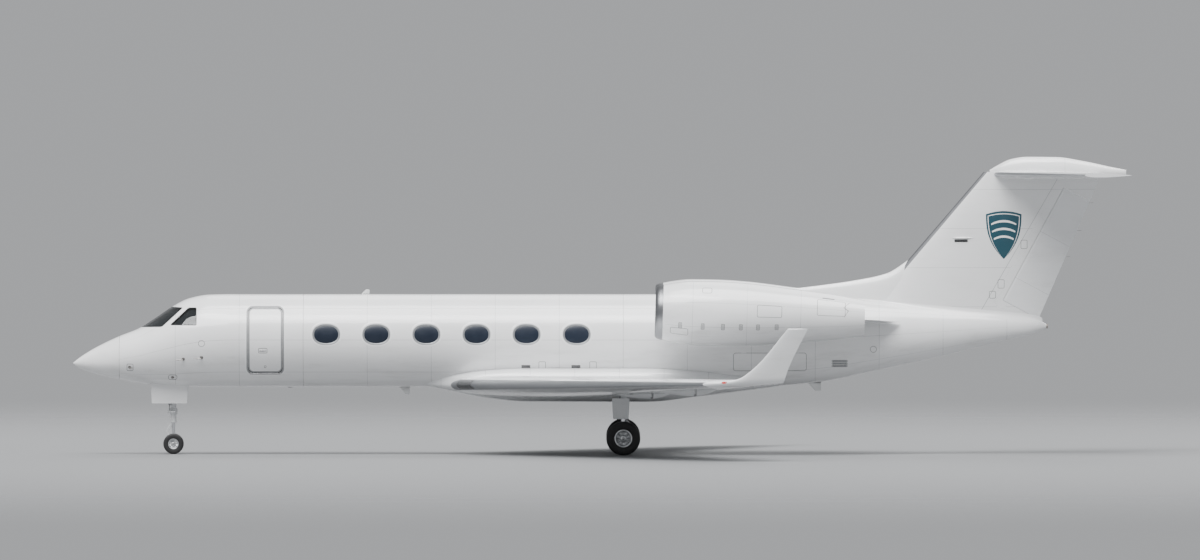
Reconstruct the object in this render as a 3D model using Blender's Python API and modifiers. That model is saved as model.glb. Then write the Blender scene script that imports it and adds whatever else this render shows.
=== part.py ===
"""Business jet with a T-tail and two rear engines, parked on its landing gear.

Metres, +Z up. +X runs aft, so the nose points along -X, and +Y is starboard.
The ground is Z = 0, and the origin lies under the middle of the length.
A station is a distance aft of the nose tip.
"""

import math

import bmesh
import bpy
import numpy as np
from mathutils import Matrix, Vector

# Overall size
LENGTH = 27.23
SPAN = 23.72
SEAT_GAP = 0.0003
MOVING_GAP = 0.008
SHELL_POINTS = 24

# Fuselage
BARREL_RADIUS = 1.20
BARREL_Z = 2.925
WALL, TAIL_WALL = 0.10, 0.06
RADOME_END = 1.20
DECK_END = 4.10
FRONT_END = 5.95
MID_END = 14.20
TAIL_END = 25.12
CABIN_START = 1.78
CABIN_END = 16.70
BULKHEAD = 0.10
# Station, top, bottom, half width and the height of the greatest width
HULL = (
    (0.00, 2.350, 2.330, 0.010, 2.340),
    (0.12, 2.452, 2.240, 0.105, 2.343),
    (0.45, 2.672, 2.105, 0.300, 2.352),
    (0.85, 2.885, 1.995, 0.490, 2.380),
    (1.20, 3.045, 1.925, 0.630, 2.430),
    (1.70, 3.245, 1.830, 0.800, 2.520),
    (2.10, 3.500, 1.775, 0.915, 2.620),
    (2.55, 3.800, 1.738, 1.020, 2.730),
    (3.00, 4.020, 1.726, 1.105, 2.830),
    (3.50, 4.112, 1.725, 1.170, 2.900),
    (4.10, 4.125, 1.725, 1.200, 2.925),
    (16.20, 4.125, 1.725, 1.200, 2.925),
    (18.00, 4.120, 1.745, 1.165, 2.925),
    (19.40, 4.075, 1.868, 1.030, 2.965),
    (20.40, 4.000, 2.075, 0.860, 3.020),
    (22.20, 3.800, 2.470, 0.520, 3.130),
    (24.20, 3.575, 2.965, 0.230, 3.270),
    (24.90, 3.465, 3.125, 0.140, 3.300),
    (25.12, 3.360, 3.235, 0.060, 3.300),
)

# Doors and windows, seen from the side
DOOR_FRONT, DOOR_REAR = 4.528, 5.418
DOOR_SILL, DOOR_HEAD = 2.105, 3.813
DOOR_CORNER = 0.12
DOOR_HINGE_Y, DOOR_HINGE_Z = -0.878, 2.088
DOOR_OPENS = 135.0
WINDOW_COUNT = 6
WINDOW_FIRST, WINDOW_PITCH = 6.545, 1.291
WINDOW_Z, WINDOW_LONG, WINDOW_TALL = 3.098, 0.69, 0.52
BAND_LOW, BAND_HIGH = 2.76, 3.43
REBATE = 0.020
GLASS = 0.025
POST_HALF = 0.045
FLOOR_TOP, FLOOR_THICK = 2.09, 0.06

# Wing
WING_ROOT_Y, WING_TIP_Y = 0.75, 11.35
WING_ROOT_LE, WING_ROOT_TE = (9.685, 1.80), (15.097, 1.52)
WING_TIP_LE, WING_TIP_TE = (16.204, 1.965), (18.203, 1.995)
FLAP_CHORD, AILERON_CHORD = 0.80, 0.75
FLAP_SPAN, AILERON_SPAN = (0.097, 0.655), (0.685, 0.970)
FLAP_DROP = 0.20
FLAP_BRACKETS = (0.24, 0.53)
PIN_R = 0.012

# Tail
FIN_ROOT_Z, FIN_TIP_Z = 3.30, 7.28
RUDDER_CHORD, RUDDER_SPAN = 0.757, (0.165, 0.895)
TAIL_Z, TAIL_TIP_Y = 7.22, 4.875
ELEVATOR_CHORD, ELEVATOR_SPAN = 0.70, (0.085, 0.95)

# Engines
ENGINE_Y = 2.26
ENGINE_STATION, ENGINE_Z = 15.02, 3.690
ENGINE_PITCH = math.radians(1.7)
NACELLE_STEPS = 20
LIP_LENGTH, COWL_END, NACELLE_LENGTH = 0.20, 3.38, 5.39
FAN_FACE, FAN_RADIUS, FAN_BLADES = 1.00, 0.548, 14

# Landing gear
WHEEL_STEPS = 20
MAIN_STATION, MAIN_TRACK = 14.20, 4.17
WHEEL_BASE = 11.61
MAIN_TYRE_R, MAIN_TYRE_WIDE, MAIN_RIM_R, MAIN_TWIN = 0.4445, 0.27, 0.216, 0.205
NOSE_TYRE_R, NOSE_TYRE_WIDE, NOSE_RIM_R, NOSE_TWIN = 0.267, 0.175, 0.128, 0.150
FLAT_SHARE = math.cos(math.pi / WHEEL_STEPS)
MAIN_AXLE_Z = MAIN_TYRE_R * FLAT_SHARE
NOSE_AXLE_Z = NOSE_TYRE_R * FLAT_SHARE
NOSE_STATION = MAIN_STATION - WHEEL_BASE
LEG_TOP_Z = 1.68

for old in list(bpy.data.objects):
    bpy.data.objects.remove(old)
JET = bpy.data.collections.new("business_jet")
CUTTERS = bpy.data.collections.new("cutters")
for group in (JET, CUTTERS):
    bpy.context.scene.collection.children.link(group)


def at(station, y, z):
    """The point at a station aft of the nose tip."""
    return Vector((station - LENGTH / 2, y, z))


def material(name, colour, roughness, metallic=0.0):
    made = bpy.data.materials.new(name)
    made.use_nodes = True
    shader = made.node_tree.nodes["Principled BSDF"]
    shader.inputs["Base Color"].default_value = (*colour, 1.0)
    shader.inputs["Roughness"].default_value = roughness
    shader.inputs["Metallic"].default_value = metallic
    return made


WHITE = material("white_paint", (0.86, 0.87, 0.88), 0.25)
GREY = material("light_grey_paint", (0.62, 0.63, 0.65), 0.35)
DARK_GLASS = material("cabin_glass", (0.05, 0.08, 0.13), 0.08)
SCREEN_GLASS = material("windshield_glass", (0.25, 0.27, 0.28), 0.05)
GEAR_PAINT = material("gear_paint", (0.78, 0.79, 0.80), 0.35)
STEEL = material("bare_steel", (0.55, 0.55, 0.56), 0.3, 1.0)
HOT_METAL = material("hot_section_metal", (0.30, 0.28, 0.26), 0.45, 1.0)
BLADE = material("fan_titanium", (0.35, 0.36, 0.38), 0.35, 1.0)
RUBBER = material("tyre_rubber", (0.03, 0.03, 0.03), 0.8)
TRIM = material("cabin_trim", (0.35, 0.33, 0.31), 0.6)
LEATHER = material("seat_leather", (0.62, 0.56, 0.48), 0.5)


def new_object(name, mesh, finish=None):
    """A piece of the aircraft where it has a finish, and otherwise a cutter."""
    obj = bpy.data.objects.new(name, mesh)
    if finish:
        mesh.materials.append(finish)
        JET.objects.link(obj)
    else:
        CUTTERS.objects.link(obj)
        obj.hide_render = True
        obj.display_type = "WIRE"
    return obj


def cleaned(mesh):
    """The mesh with its doubles merged and its faces turned outwards."""
    work = bmesh.new()
    work.from_mesh(mesh)
    bmesh.ops.remove_doubles(work, verts=work.verts, dist=1e-5)
    bmesh.ops.recalc_face_normals(work, faces=work.faces)
    work.to_mesh(mesh)
    work.free()
    return mesh


def settled(obj):
    """Applies the object's modifiers, keeping its place."""
    graph = bpy.context.evaluated_depsgraph_get()
    mesh = bpy.data.meshes.new_from_object(obj.evaluated_get(graph))
    obj.modifiers.clear()
    obj.data = cleaned(mesh)
    return obj


def cut(obj, other, operation="DIFFERENCE"):
    """One Boolean, applied at once."""
    modifier = obj.modifiers.new(operation.lower(), "BOOLEAN")
    modifier.operation = operation
    modifier.solver = "EXACT"
    modifier.object = other
    return settled(obj)


def joined(obj, *others):
    """The others become one body with obj, and are then removed."""
    for other in others:
        cut(obj, other, "UNION")
        bpy.data.objects.remove(other)
    return obj


def origin_to(obj, point):
    """Moves the origin to a world point, which lies on the piece's joint axis."""
    shift = Vector(point) - obj.location
    obj.data.transform(Matrix.Translation(-shift))
    obj.location = point
    return obj


def smooth_shaded(obj, angle=35.0):
    obj.data.shade_smooth()
    obj.data.set_sharp_from_angle(angle=math.radians(angle))
    return obj


def bent(a, b, c, d):
    """True for four points that don't lie in one plane."""
    return abs((b - a).cross(c - a).normalized().dot(d - a)) > 1e-6


def loft(name, rings, finish=None):
    """A closed skin through rings of as many points each; bent sides fold on their shorter diagonal."""
    count = len(rings[0])
    points = [Vector(p) for ring in rings for p in ring]
    faces = []
    for i in range(len(rings) - 1):
        for k in range(count):
            here, after = i * count + k, i * count + (k + 1) % count
            side = (here, after, after + count, here + count)
            a, b, c, d = (points[j] for j in side)
            if not bent(a, b, c, d):
                faces.append(side)
            elif (c - a).length < (d - b).length:
                faces += [side[:3], (side[0], side[2], side[3])]
            else:
                faces += [side[1:], (side[0], side[1], side[3])]
    faces.append(tuple(range(count))[::-1])
    faces.append(tuple(range((len(rings) - 1) * count, len(rings) * count)))
    mesh = bpy.data.meshes.new(name)
    mesh.from_pydata(points, [], faces)
    return new_object(name, cleaned(mesh), finish)


def box(name, low, high, finish=None):
    """A box between two corners."""
    low, high = Vector(low), Vector(high)
    work = bmesh.new()
    bmesh.ops.create_cube(work, size=1.0)
    bmesh.ops.scale(work, vec=high - low, verts=work.verts)
    bmesh.ops.translate(work, vec=(high + low) / 2, verts=work.verts)
    mesh = bpy.data.meshes.new(name)
    work.to_mesh(mesh)
    work.free()
    return new_object(name, mesh, finish)


def rod(name, start, end, radius, finish=None, sides=12):
    """A round bar from start to end."""
    start, end = Vector(start), Vector(end)
    along = end - start
    work = bmesh.new()
    bmesh.ops.create_cone(
        work,
        cap_ends=True,
        segments=sides,
        radius1=radius,
        radius2=radius,
        depth=along.length,
    )
    turn = along.to_track_quat("Z", "Y").to_matrix().to_4x4()
    bmesh.ops.transform(work, matrix=Matrix.Translation((start + end) / 2) @ turn, verts=work.verts)
    mesh = bpy.data.meshes.new(name)
    work.to_mesh(mesh)
    work.free()
    return new_object(name, mesh, finish)


def plate(name, outline, thickness, place, finish=None):
    """A flat outline of (x, y) points, filled and extruded as a 2D curve, then moved by a matrix."""
    curve = bpy.data.curves.new(name, "CURVE")
    curve.dimensions = "2D"
    curve.fill_mode = "BOTH"
    curve.extrude = thickness / 2
    spline = curve.splines.new("POLY")
    spline.points.add(len(outline) - 1)
    for point, (x, y) in zip(spline.points, outline):
        point.co = (x, y, 0.0, 1.0)
    spline.use_cyclic_u = True
    drawn = bpy.data.objects.new(name, curve)
    CUTTERS.objects.link(drawn)
    graph = bpy.context.evaluated_depsgraph_get()
    mesh = bpy.data.meshes.new_from_object(drawn.evaluated_get(graph))
    bpy.data.objects.remove(drawn)
    mesh.transform(place)
    return new_object(name, cleaned(mesh), finish)


def side_prism(name, outline, near_y, far_y, finish=None):
    """An outline of (station, z) points carried across the aircraft from near_y to far_y."""
    upright = Matrix.Translation(at(0, (near_y + far_y) / 2, 0)) @ Matrix.Rotation(math.radians(90.0), 4, "X")
    return plate(name, outline, abs(far_y - near_y), upright, finish)


def turned(name, profile, steps, finish=None, closed=True):
    """A profile of (radius, height) points turned about Z with a Screw modifier."""
    mesh = bpy.data.meshes.new(name)
    edges = [(i, i + 1) for i in range(len(profile) - 1)]
    if closed:
        edges.append((len(profile) - 1, 0))
    mesh.from_pydata([(r, 0.0, z) for r, z in profile], edges, [])
    obj = new_object(name, mesh, finish)
    screw = obj.modifiers.new("turn", "SCREW")
    screw.axis = "Z"
    screw.steps = screw.render_steps = steps
    screw.use_merge_vertices = True
    screw.merge_threshold = 1e-5
    return settled(obj)


def mirrored(obj, name):
    """The starboard twin of a port piece, with its origin mirrored too."""
    mesh = obj.data.copy()
    mesh.transform(obj.matrix_basis)
    mesh.transform(Matrix.Scale(-1, 4, (0, 1, 0)))
    twin = new_object(name, cleaned(mesh), obj.data.materials[0])
    return origin_to(twin, (obj.location.x, -obj.location.y, obj.location.z))


def steady(table, column, station):
    """A smooth reading of one column of a table, with no overshoot between its rows."""
    x = np.array([row[0] for row in table])
    y = np.array([row[column] for row in table])
    step, rise = np.diff(x), np.diff(y) / np.diff(x)
    slope = np.zeros(len(x))
    for i in range(1, len(x) - 1):
        if rise[i - 1] * rise[i] > 0:
            a, b = 2 * step[i] + step[i - 1], step[i] + 2 * step[i - 1]
            slope[i] = (a + b) / (a / rise[i - 1] + b / rise[i])
    slope[0], slope[-1] = rise[0], rise[-1]
    i = int(np.clip(np.searchsorted(x, station) - 1, 0, len(x) - 2))
    t = (station - x[i]) / step[i]
    return float(
        (1 + 2 * t) * (1 - t) ** 2 * y[i]
        + t * (1 - t) ** 2 * step[i] * slope[i]
        + t * t * (3 - 2 * t) * y[i + 1]
        + t * t * (t - 1) * step[i] * slope[i + 1]
    )


def hull_ring(station, inset=0.0, least=0.004):
    """One fuselage section: half ellipses above and below the greatest width."""
    inside = min(station, TAIL_END)
    top, bottom, half, wide = (steady(HULL, column, inside) for column in (1, 2, 3, 4))
    up, down = max(top - wide - inset, least), max(wide - bottom - inset, least)
    half = max(half - inset, least)
    ring = []
    for k in range(SHELL_POINTS):
        angle = 2 * math.pi * (k + 0.5) / SHELL_POINTS
        rise = math.sin(angle)
        ring.append(at(station, half * math.cos(angle), wide + rise * (up if rise > 0 else down)))
    return ring


def hull(name, stations, inset=0.0, finish=None, least=0.004):
    return loft(name, [hull_ring(s, inset, least) for s in stations], finish)


NOSE_STATIONS = (1.5, 1.8, 2.1, 2.4, 2.7, 3.0, 3.3, 3.6, 4.1)
TAIL_STATIONS = (16.2, 17.2, 18.0, 18.7, 19.4, 20.4, 21.3, 22.2, 23.2, 24.2, 24.9)
ALL_STATIONS = (0.0, 0.04, 0.12, 0.28, 0.5, 0.85, 1.2, *NOSE_STATIONS, *TAIL_STATIONS, TAIL_END)


def rounded_rectangle(front, rear, low, high, corner, points=4):
    """A rectangle's outline with round corners, as (station, z) points."""
    outline = []
    for centre_s, centre_z, start in (
        (rear - corner, high - corner, 0.0),
        (front + corner, high - corner, 90.0),
        (front + corner, low + corner, 180.0),
        (rear - corner, low + corner, 270.0),
    ):
        for k in range(points):
            angle = math.radians(start + 90.0 * k / (points - 1))
            outline.append((centre_s + corner * math.cos(angle), centre_z + corner * math.sin(angle)))
    return outline


def oval(centre, long, tall, points=16):
    """A cabin window's outline: an ellipse, a little squared."""
    outline = []
    for k in range(points):
        angle = 2 * math.pi * (k + 0.5) / points
        x, z = math.cos(angle), math.sin(angle)
        outline.append(
            (
                centre + long / 2 * math.copysign(abs(x) ** 0.88, x),
                WINDOW_Z + tall / 2 * math.copysign(abs(z) ** 0.88, z),
            )
        )
    return outline


def grown(outline, by):
    """A convex outline moved outwards by a distance, or inwards if negative."""
    middle_s = sum(s for s, _ in outline) / len(outline)
    middle_z = sum(z for _, z in outline) / len(outline)
    moved = []
    for s, z in outline:
        share = by / math.hypot(s - middle_s, z - middle_z)
        moved.append((s + share * (s - middle_s), z + share * (z - middle_z)))
    return moved


# Fuselage shells, hollow from the front bulkhead to the rear one
radome = smooth_shaded(
    hull("radome", [s for s in ALL_STATIONS if s < RADOME_END] + [RADOME_END - SEAT_GAP], finish=WHITE)
)
CABIN_STATIONS = [CABIN_START, *[s for s in NOSE_STATIONS if s > CABIN_START], 16.2, CABIN_END]
cabin_void = hull("cabin_void", CABIN_STATIONS, inset=WALL)
cabin_fit = hull("cabin_fit", CABIN_STATIONS, inset=WALL + SEAT_GAP)
whole_hull = hull("whole_hull", ALL_STATIONS, inset=-SEAT_GAP)
deck_stations = [RADOME_END, *[s for s in NOSE_STATIONS if s < DECK_END], DECK_END - SEAT_GAP]
fuselage_front = hull("fuselage_front", deck_stations, finish=WHITE)
fuselage_entry = hull("fuselage_entry", [DECK_END, FRONT_END - SEAT_GAP], finish=WHITE)
fuselage_mid = hull("fuselage_mid", [FRONT_END, MID_END - SEAT_GAP], finish=WHITE)
fuselage_rear = hull("fuselage_rear", [MID_END, *TAIL_STATIONS, TAIL_END], finish=WHITE)
for shell in (fuselage_front, fuselage_entry, fuselage_mid, fuselage_rear):
    cut(shell, cabin_void)
TAIL_BAY_STATIONS = [CABIN_END + BULKHEAD, *[s for s in TAIL_STATIONS if s > 17.0], TAIL_END + 0.2]
cut(fuselage_rear, hull("tail_bay_void", TAIL_BAY_STATIONS, inset=TAIL_WALL, least=0.04))


# Flight deck windows: a windshield pane and a side window on each side
WINDSHIELD = ((1.50, 3.270), (2.305, 3.290), (2.845, 3.787), (2.20, 3.815))
SIDE_WINDOW = ((2.510, 3.335), (3.196, 3.335), (3.196, 3.787), (2.990, 3.787))
GLASS_INSET = 0.008
glass_outside = hull("glass_outside", CABIN_STATIONS, inset=GLASS_INSET)
glass_inside = hull("glass_inside", CABIN_STATIONS, inset=GLASS_INSET + GLASS)
FLIGHT_DECK_PANES = (("windshield", WINDSHIELD, POST_HALF), ("side_window", SIDE_WINDOW, 0.4))
for side_name, side in (("left", -1), ("right", 1)):
    for pane_name, outline, inner_y in FLIGHT_DECK_PANES:
        cut(fuselage_front, side_prism("pane_hole", outline, side * inner_y, side * 1.4))
        pane = side_prism(
            f"{pane_name}_{side_name}",
            grown(outline, -2 * SEAT_GAP),
            side * (inner_y + SEAT_GAP),
            side * 1.4,
            SCREEN_GLASS,
        )
        cut(pane, glass_outside, "INTERSECT")
        smooth_shaded(cut(pane, glass_inside))

# Cabin windows: six ovals a side, glazed by one band in a rebate of the wall
window_stations = [WINDOW_FIRST + WINDOW_PITCH * k for k in range(WINDOW_COUNT)]
for centre in window_stations:
    cut(fuselage_mid, side_prism("window_hole", oval(centre, WINDOW_LONG, WINDOW_TALL), -1.5, 1.5))
BAND_MARGIN, PANE_INSET, BAND_GLASS = 0.42, 0.012, 0.012
rebate_front, rebate_rear = WINDOW_FIRST - BAND_MARGIN, window_stations[-1] + BAND_MARGIN
band_void = hull("band_void", [rebate_front, rebate_rear], inset=WALL - REBATE)
band_zone = box("band_zone", at(rebate_front - 1, -2, BAND_LOW), at(rebate_rear + 1, 2, BAND_HIGH))
cut(band_void, band_zone, "INTERSECT")
cut(fuselage_mid, band_void)
for side_name, side in (("left", -1), ("right", 1)):
    band = hull(
        f"window_band_{side_name}",
        [rebate_front + SEAT_GAP, rebate_rear - SEAT_GAP],
        inset=WALL - REBATE + SEAT_GAP,
        finish=DARK_GLASS,
    )
    cut(
        band,
        box(
            "band_half",
            at(0, min(0, side * 2), BAND_LOW + SEAT_GAP),
            at(LENGTH, max(0, side * 2), BAND_HIGH - SEAT_GAP),
        ),
        "INTERSECT",
    )
    pane_depth = hull("pane_depth", [FRONT_END, MID_END], inset=PANE_INSET)
    for centre in window_stations:
        outline = oval(centre, WINDOW_LONG - 2 * SEAT_GAP, WINDOW_TALL - 2 * SEAT_GAP)
        joined(band, cut(side_prism("pane", outline, side * 1.0, side * 1.4), pane_depth, "INTERSECT"))
    band_inside = hull("band_inside", [FRONT_END - 0.2, MID_END + 0.2], inset=WALL - REBATE + BAND_GLASS)
    smooth_shaded(cut(band, band_inside))

# Entry door: a tapered plug that hinges down and out at its sill, with the stairs on its inside
HEAD_OUTSIDE, HEAD_INSIDE = DOOR_HEAD + 0.03, DOOR_HEAD - 0.06


def door_plug(name, inset=0.0, finish=None):
    """The doorway's tapered opening, or the door in it, inset all round and rounder at its corners."""
    rings = []
    for y, head in ((-1.5, HEAD_OUTSIDE), (-0.4, HEAD_INSIDE)):
        outline = rounded_rectangle(
            DOOR_FRONT + inset, DOOR_REAR - inset, DOOR_SILL + inset, head - inset, DOOR_CORNER + 3 * inset
        )
        rings.append([at(s, y, z) for s, z in outline])
    return loft(name, rings, finish)


entry_door = door_plug("entry_door", MOVING_GAP, WHITE)
cut(entry_door, hull("door_outside", [DOOR_FRONT - 0.3, DOOR_REAR + 0.5]), "INTERSECT")
cut(entry_door, hull("door_inside", [DOOR_FRONT - 0.4, DOOR_REAR + 0.6], inset=WALL))
cut(fuselage_entry, door_plug("doorway"))
hinge_front, hinge_rear = DOOR_FRONT + 0.10, DOOR_REAR - 0.10
HINGE_R = 0.018
cut(
    fuselage_entry,
    rod(
        "hinge_groove",
        at(hinge_front - 0.002, DOOR_HINGE_Y, DOOR_HINGE_Z),
        at(hinge_rear + 0.002, DOOR_HINGE_Y, DOOR_HINGE_Z),
        HINGE_R + MOVING_GAP,
    ),
)
joined(
    entry_door,
    rod(
        "hinge_barrel",
        at(hinge_front, DOOR_HINGE_Y, DOOR_HINGE_Z),
        at(hinge_rear, DOOR_HINGE_Y, DOOR_HINGE_Z),
        HINGE_R,
    ),
    box(
        "hinge_leaf",
        at(hinge_front, DOOR_HINGE_Y - 0.010, DOOR_HINGE_Z),
        at(hinge_rear, DOOR_HINGE_Y + 0.010, DOOR_SILL + 0.05),
    ),
)
LUG_LONG = 0.05
for start, end in (
    (hinge_front - SEAT_GAP - LUG_LONG, hinge_front - SEAT_GAP),
    (hinge_rear + SEAT_GAP, hinge_rear + SEAT_GAP + LUG_LONG),
):
    lug_ends = (at(start, DOOR_HINGE_Y, DOOR_HINGE_Z), at(end, DOOR_HINGE_Y, DOOR_HINGE_Z))
    lug = rod("hinge_lug", *lug_ends, HINGE_R + 0.004)
    lug_foot = box(
        "lug_foot",
        at(start + 0.002, DOOR_HINGE_Y, DOOR_HINGE_Z - 0.014),
        at(end - 0.002, DOOR_HINGE_Y + 0.06, DOOR_HINGE_Z + 0.014),
    )
    joined(fuselage_entry, lug, lug_foot)
door_hinge = at((DOOR_FRONT + DOOR_REAR) / 2, DOOR_HINGE_Y, DOOR_HINGE_Z)
origin_to(smooth_shaded(entry_door), door_hinge)

STAIR_FRONT, STAIR_REAR = DOOR_FRONT + 0.09, DOOR_REAR - 0.09
STRINGER = 0.03
TREADS, TREAD_DEEP, TREAD_THICK = 6, 0.24, 0.028
TREAD_FIRST, TREAD_PITCH = 0.22, 0.235
stair_parts = [
    box("stringer", at(s, -1.08, DOOR_SILL + 0.07), at(s + STRINGER, -0.76, DOOR_HEAD - 0.20))
    for s in (STAIR_FRONT, STAIR_REAR - STRINGER)
]
for k in range(TREADS):
    height = DOOR_SILL + TREAD_FIRST + k * TREAD_PITCH
    lean = Matrix.Translation(at((STAIR_FRONT + STAIR_REAR) / 2, -0.90, height))
    tread = plate(
        "tread",
        [(-0.5, -0.5), (0.5, -0.5), (0.5, 0.5), (-0.5, 0.5)],
        TREAD_THICK,
        lean
        @ Matrix.Rotation(math.radians(180.0 - DOOR_OPENS), 4, "X")
        @ Matrix.Diagonal((STAIR_REAR - STAIR_FRONT - STRINGER, TREAD_DEEP, 1, 1)),
    )
    stair_parts.append(tread)
entry_stairs = stair_parts[0]
CUTTERS.objects.unlink(entry_stairs)
JET.objects.link(entry_stairs)
entry_stairs.name = "entry_stairs"
entry_stairs.hide_render = False
entry_stairs.display_type = "TEXTURED"
entry_stairs.data.materials.append(GREY)
joined(entry_stairs, *stair_parts[1:])
cut(entry_stairs, cabin_fit, "INTERSECT")
origin_to(entry_stairs, door_hinge)

# Nose wheel bay, open below
BAY_FRONT, BAY_REAR, BAY_HALF = NOSE_STATION - 0.62, NOSE_STATION + 0.42, 0.27
floor_bottom = FLOOR_TOP - FLOOR_THICK
cut(fuselage_front, box("nose_bay", at(BAY_FRONT, -BAY_HALF, 1.5), at(BAY_REAR, BAY_HALF, floor_bottom)))

# Blade aerials, one on top and two below
BLADE_AERIALS = (
    # Shell, station, up or down, height and root chord
    (fuselage_mid, 7.42, 1, 0.13, 0.22),
    (fuselage_mid, 8.42, -1, 0.20, 0.26),
    (fuselage_rear, 18.95, -1, 0.22, 0.34),
)
for shell, station, way, tall, long in BLADE_AERIALS:
    skin_z = hull_ring(station)[SHELL_POINTS // 4 if way > 0 else 3 * SHELL_POINTS // 4].z
    root, tip = skin_z - way * 0.03, skin_z + way * tall
    rings = []
    for z, front, chord in ((root, station, long), (tip, station + 0.62 * long, 0.42 * long)):
        section = ((0.0, 0.0), (0.3, 0.013), (1.0, 0.002), (1.0, -0.002), (0.3, -0.013))
        rings.append([at(front + share * chord, y, z) for share, y in section])
    joined(shell, loft("aerial", rings))

# Jacking pads, whose flat feet take the jacks
PAD_R, PAD_DROP = 0.055, 0.014
NOSE_PAD_STATION = 5.60
pad_foot = at(NOSE_PAD_STATION, 0, BARREL_Z - BARREL_RADIUS - PAD_DROP)
joined(fuselage_entry, rod("jack_pad", pad_foot, pad_foot + Vector((0, 0, 0.06)), PAD_R))
for shell in (fuselage_front, fuselage_entry, fuselage_mid, fuselage_rear):
    smooth_shaded(shell)

# Cabin floor, flight deck and seats
cabin_floor = box("cabin_floor", at(1.95, -1.3, floor_bottom), at(CABIN_END - 0.002, 1.3, FLOOR_TOP), TRIM)
cut(cabin_floor, cabin_fit, "INTERSECT")
deck_z = FLOOR_TOP + SEAT_GAP
flight_deck = box("flight_deck", at(2.36, -0.74, 2.62), at(2.52, 0.74, 3.16), TRIM)
joined(
    flight_deck,
    box("glareshield", at(2.20, -0.76, 3.12), at(2.66, 0.76, 3.20)),
    box("pedestal", at(2.40, -0.13, deck_z), at(3.30, 0.13, 2.66)),
    box("panel_foot", at(2.37, -0.60, deck_z), at(2.50, 0.60, 2.64)),
)
cut(flight_deck, cabin_fit, "INTERSECT")


# A seat's side outline from its foot up to its headrest: (distance behind its middle, height)
SEAT_OUTLINE = (
    (-0.16, 0.02),
    (0.18, 0.02),
    (0.15, 0.30),
    (0.26, 0.36),
    (0.40, 1.10),
    (0.29, 1.14),
    (0.13, 0.47),
    (-0.28, 0.50),
    (-0.28, 0.34),
    (-0.12, 0.30),
)
SEAT_HALF = 0.23


def seat(station, y, faces_aft=False):
    """A seat on the rails, facing forward or aft."""
    way = -1 if faces_aft else 1
    outline = [(station + way * s, deck_z + z) for s, z in SEAT_OUTLINE]
    return side_prism("seat", outline, y - SEAT_HALF, y + SEAT_HALF)


PILOT_STATION, PILOT_Y, SEAT_Y = 3.28, 0.46, 0.50
SEAT_ROWS = ((7.10, True), (8.62, False), (10.10, True), (11.62, False))
RAIL_FRONT, RAIL_REAR, RAIL_IN, RAIL_OUT, RAIL_TALL = 3.02, 12.20, 0.42, 0.46, 0.04
seats = box("seats", at(RAIL_FRONT, -RAIL_OUT, deck_z), at(RAIL_REAR, -RAIL_IN, deck_z + RAIL_TALL), LEATHER)
joined(
    seats,
    box("rail", at(RAIL_FRONT, RAIL_IN, deck_z), at(RAIL_REAR, RAIL_OUT, deck_z + RAIL_TALL)),
    box("rail_tie", at(3.90, -RAIL_OUT, deck_z), at(3.96, RAIL_OUT, deck_z + 0.025)),
)
for side in (-1, 1):
    joined(seats, seat(PILOT_STATION, side * PILOT_Y))
    for station, faces_aft in SEAT_ROWS:
        joined(seats, seat(station, side * SEAT_Y, faces_aft))
cut(seats, cabin_fit, "INTERSECT")


def foil_half(x):
    """Half the thickness of a unit foil of unit thickness ratio, with a blunt trailing edge."""
    return 5 * (0.2969 * math.sqrt(x) - 0.126 * x - 0.3516 * x**2 + 0.2843 * x**3 - 0.1036 * x**4) + 0.012 * x


class Panel:
    """A straight-tapered lifting surface between a root section and a tip section."""

    def __init__(self, root, tip, thick_way, ratios, camber=0.0):
        self.ends = (root, tip)
        self.thick_way = Vector(thick_way)
        self.ratios = ratios
        self.camber = camber

    def skin(self, fraction, along, side):
        """The skin's point at a chord fraction and a share of the span."""
        points = []
        for (front, rear), ratio in zip(self.ends, self.ratios):
            chord = (rear - front).length
            bow = 4 * self.camber * fraction * (1 - fraction)
            offset = chord * (bow + side * ratio * foil_half(fraction))
            points.append(front.lerp(rear, fraction) + self.thick_way * offset)
        return points[0].lerp(points[1], along)

    def middle(self, fraction, along):
        return (self.skin(fraction, along, 1) + self.skin(fraction, along, -1)) / 2

    def half_thickness(self, fraction, along):
        return (self.skin(fraction, along, 1) - self.skin(fraction, along, -1)).length / 2

    def ring(self, along, points=11, extra=0.0):
        """One section, from the trailing edge over one side and back along the other."""
        steps = [(1 - math.cos(math.pi * k / (points - 1))) / 2 for k in range(points)]
        path = [(x, 1) for x in reversed(steps)] + [(x, -1) for x in steps[1:]]
        aft = (self.ends[0][1] - self.ends[0][0]).normalized()
        made = []
        for x, side in path:
            lift = side * extra if x > 0 else 0.0
            made.append(self.skin(x, along, side) + self.thick_way * lift + aft * (extra * (4 * x - 2)))
        return made

    def solid(self, name, finish=None, extra=0.0):
        pad = extra / (self.ends[1][0] - self.ends[0][0]).length
        return loft(name, [self.ring(a, extra=extra) for a in (-pad, 1 + pad)], finish)

    def hinge(self, fraction, span):
        """The two ends of a hinge line at mid thickness."""
        return tuple(self.middle(fraction, a) for a in span)

    def blade(self, name, fraction, span, gap):
        """Everything aft of a hinge line, with a round nose, and ends square to the line."""
        start, end = self.hinge(fraction, span)
        axis = (end - start).normalized()
        aft = axis.cross(self.thick_way)
        aft = (aft if aft.x > 0 else -aft).normalized()
        up = aft.cross(axis).normalized()
        reach, tall = 1.9, 0.5
        rings = []
        for point, along, shift in ((start, span[0], -gap), (end, span[1], gap)):
            radius = self.half_thickness(fraction, along) + (gap if gap else -0.0015)
            lean = math.asin(gap / radius)
            flat = [(-gap, tall), (reach, tall), (reach, -tall), (-gap, -tall)]
            arc = []
            for k in range(9):
                angle = math.pi / 2 + lean + (math.pi - 2 * lean) * (8 - k) / 8
                arc.append((radius * math.cos(angle), radius * math.sin(angle)))
            centre = point + axis * shift
            rings.append([centre + aft * a + up * b for a, b in flat + arc])
        return loft(name, rings)


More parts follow.
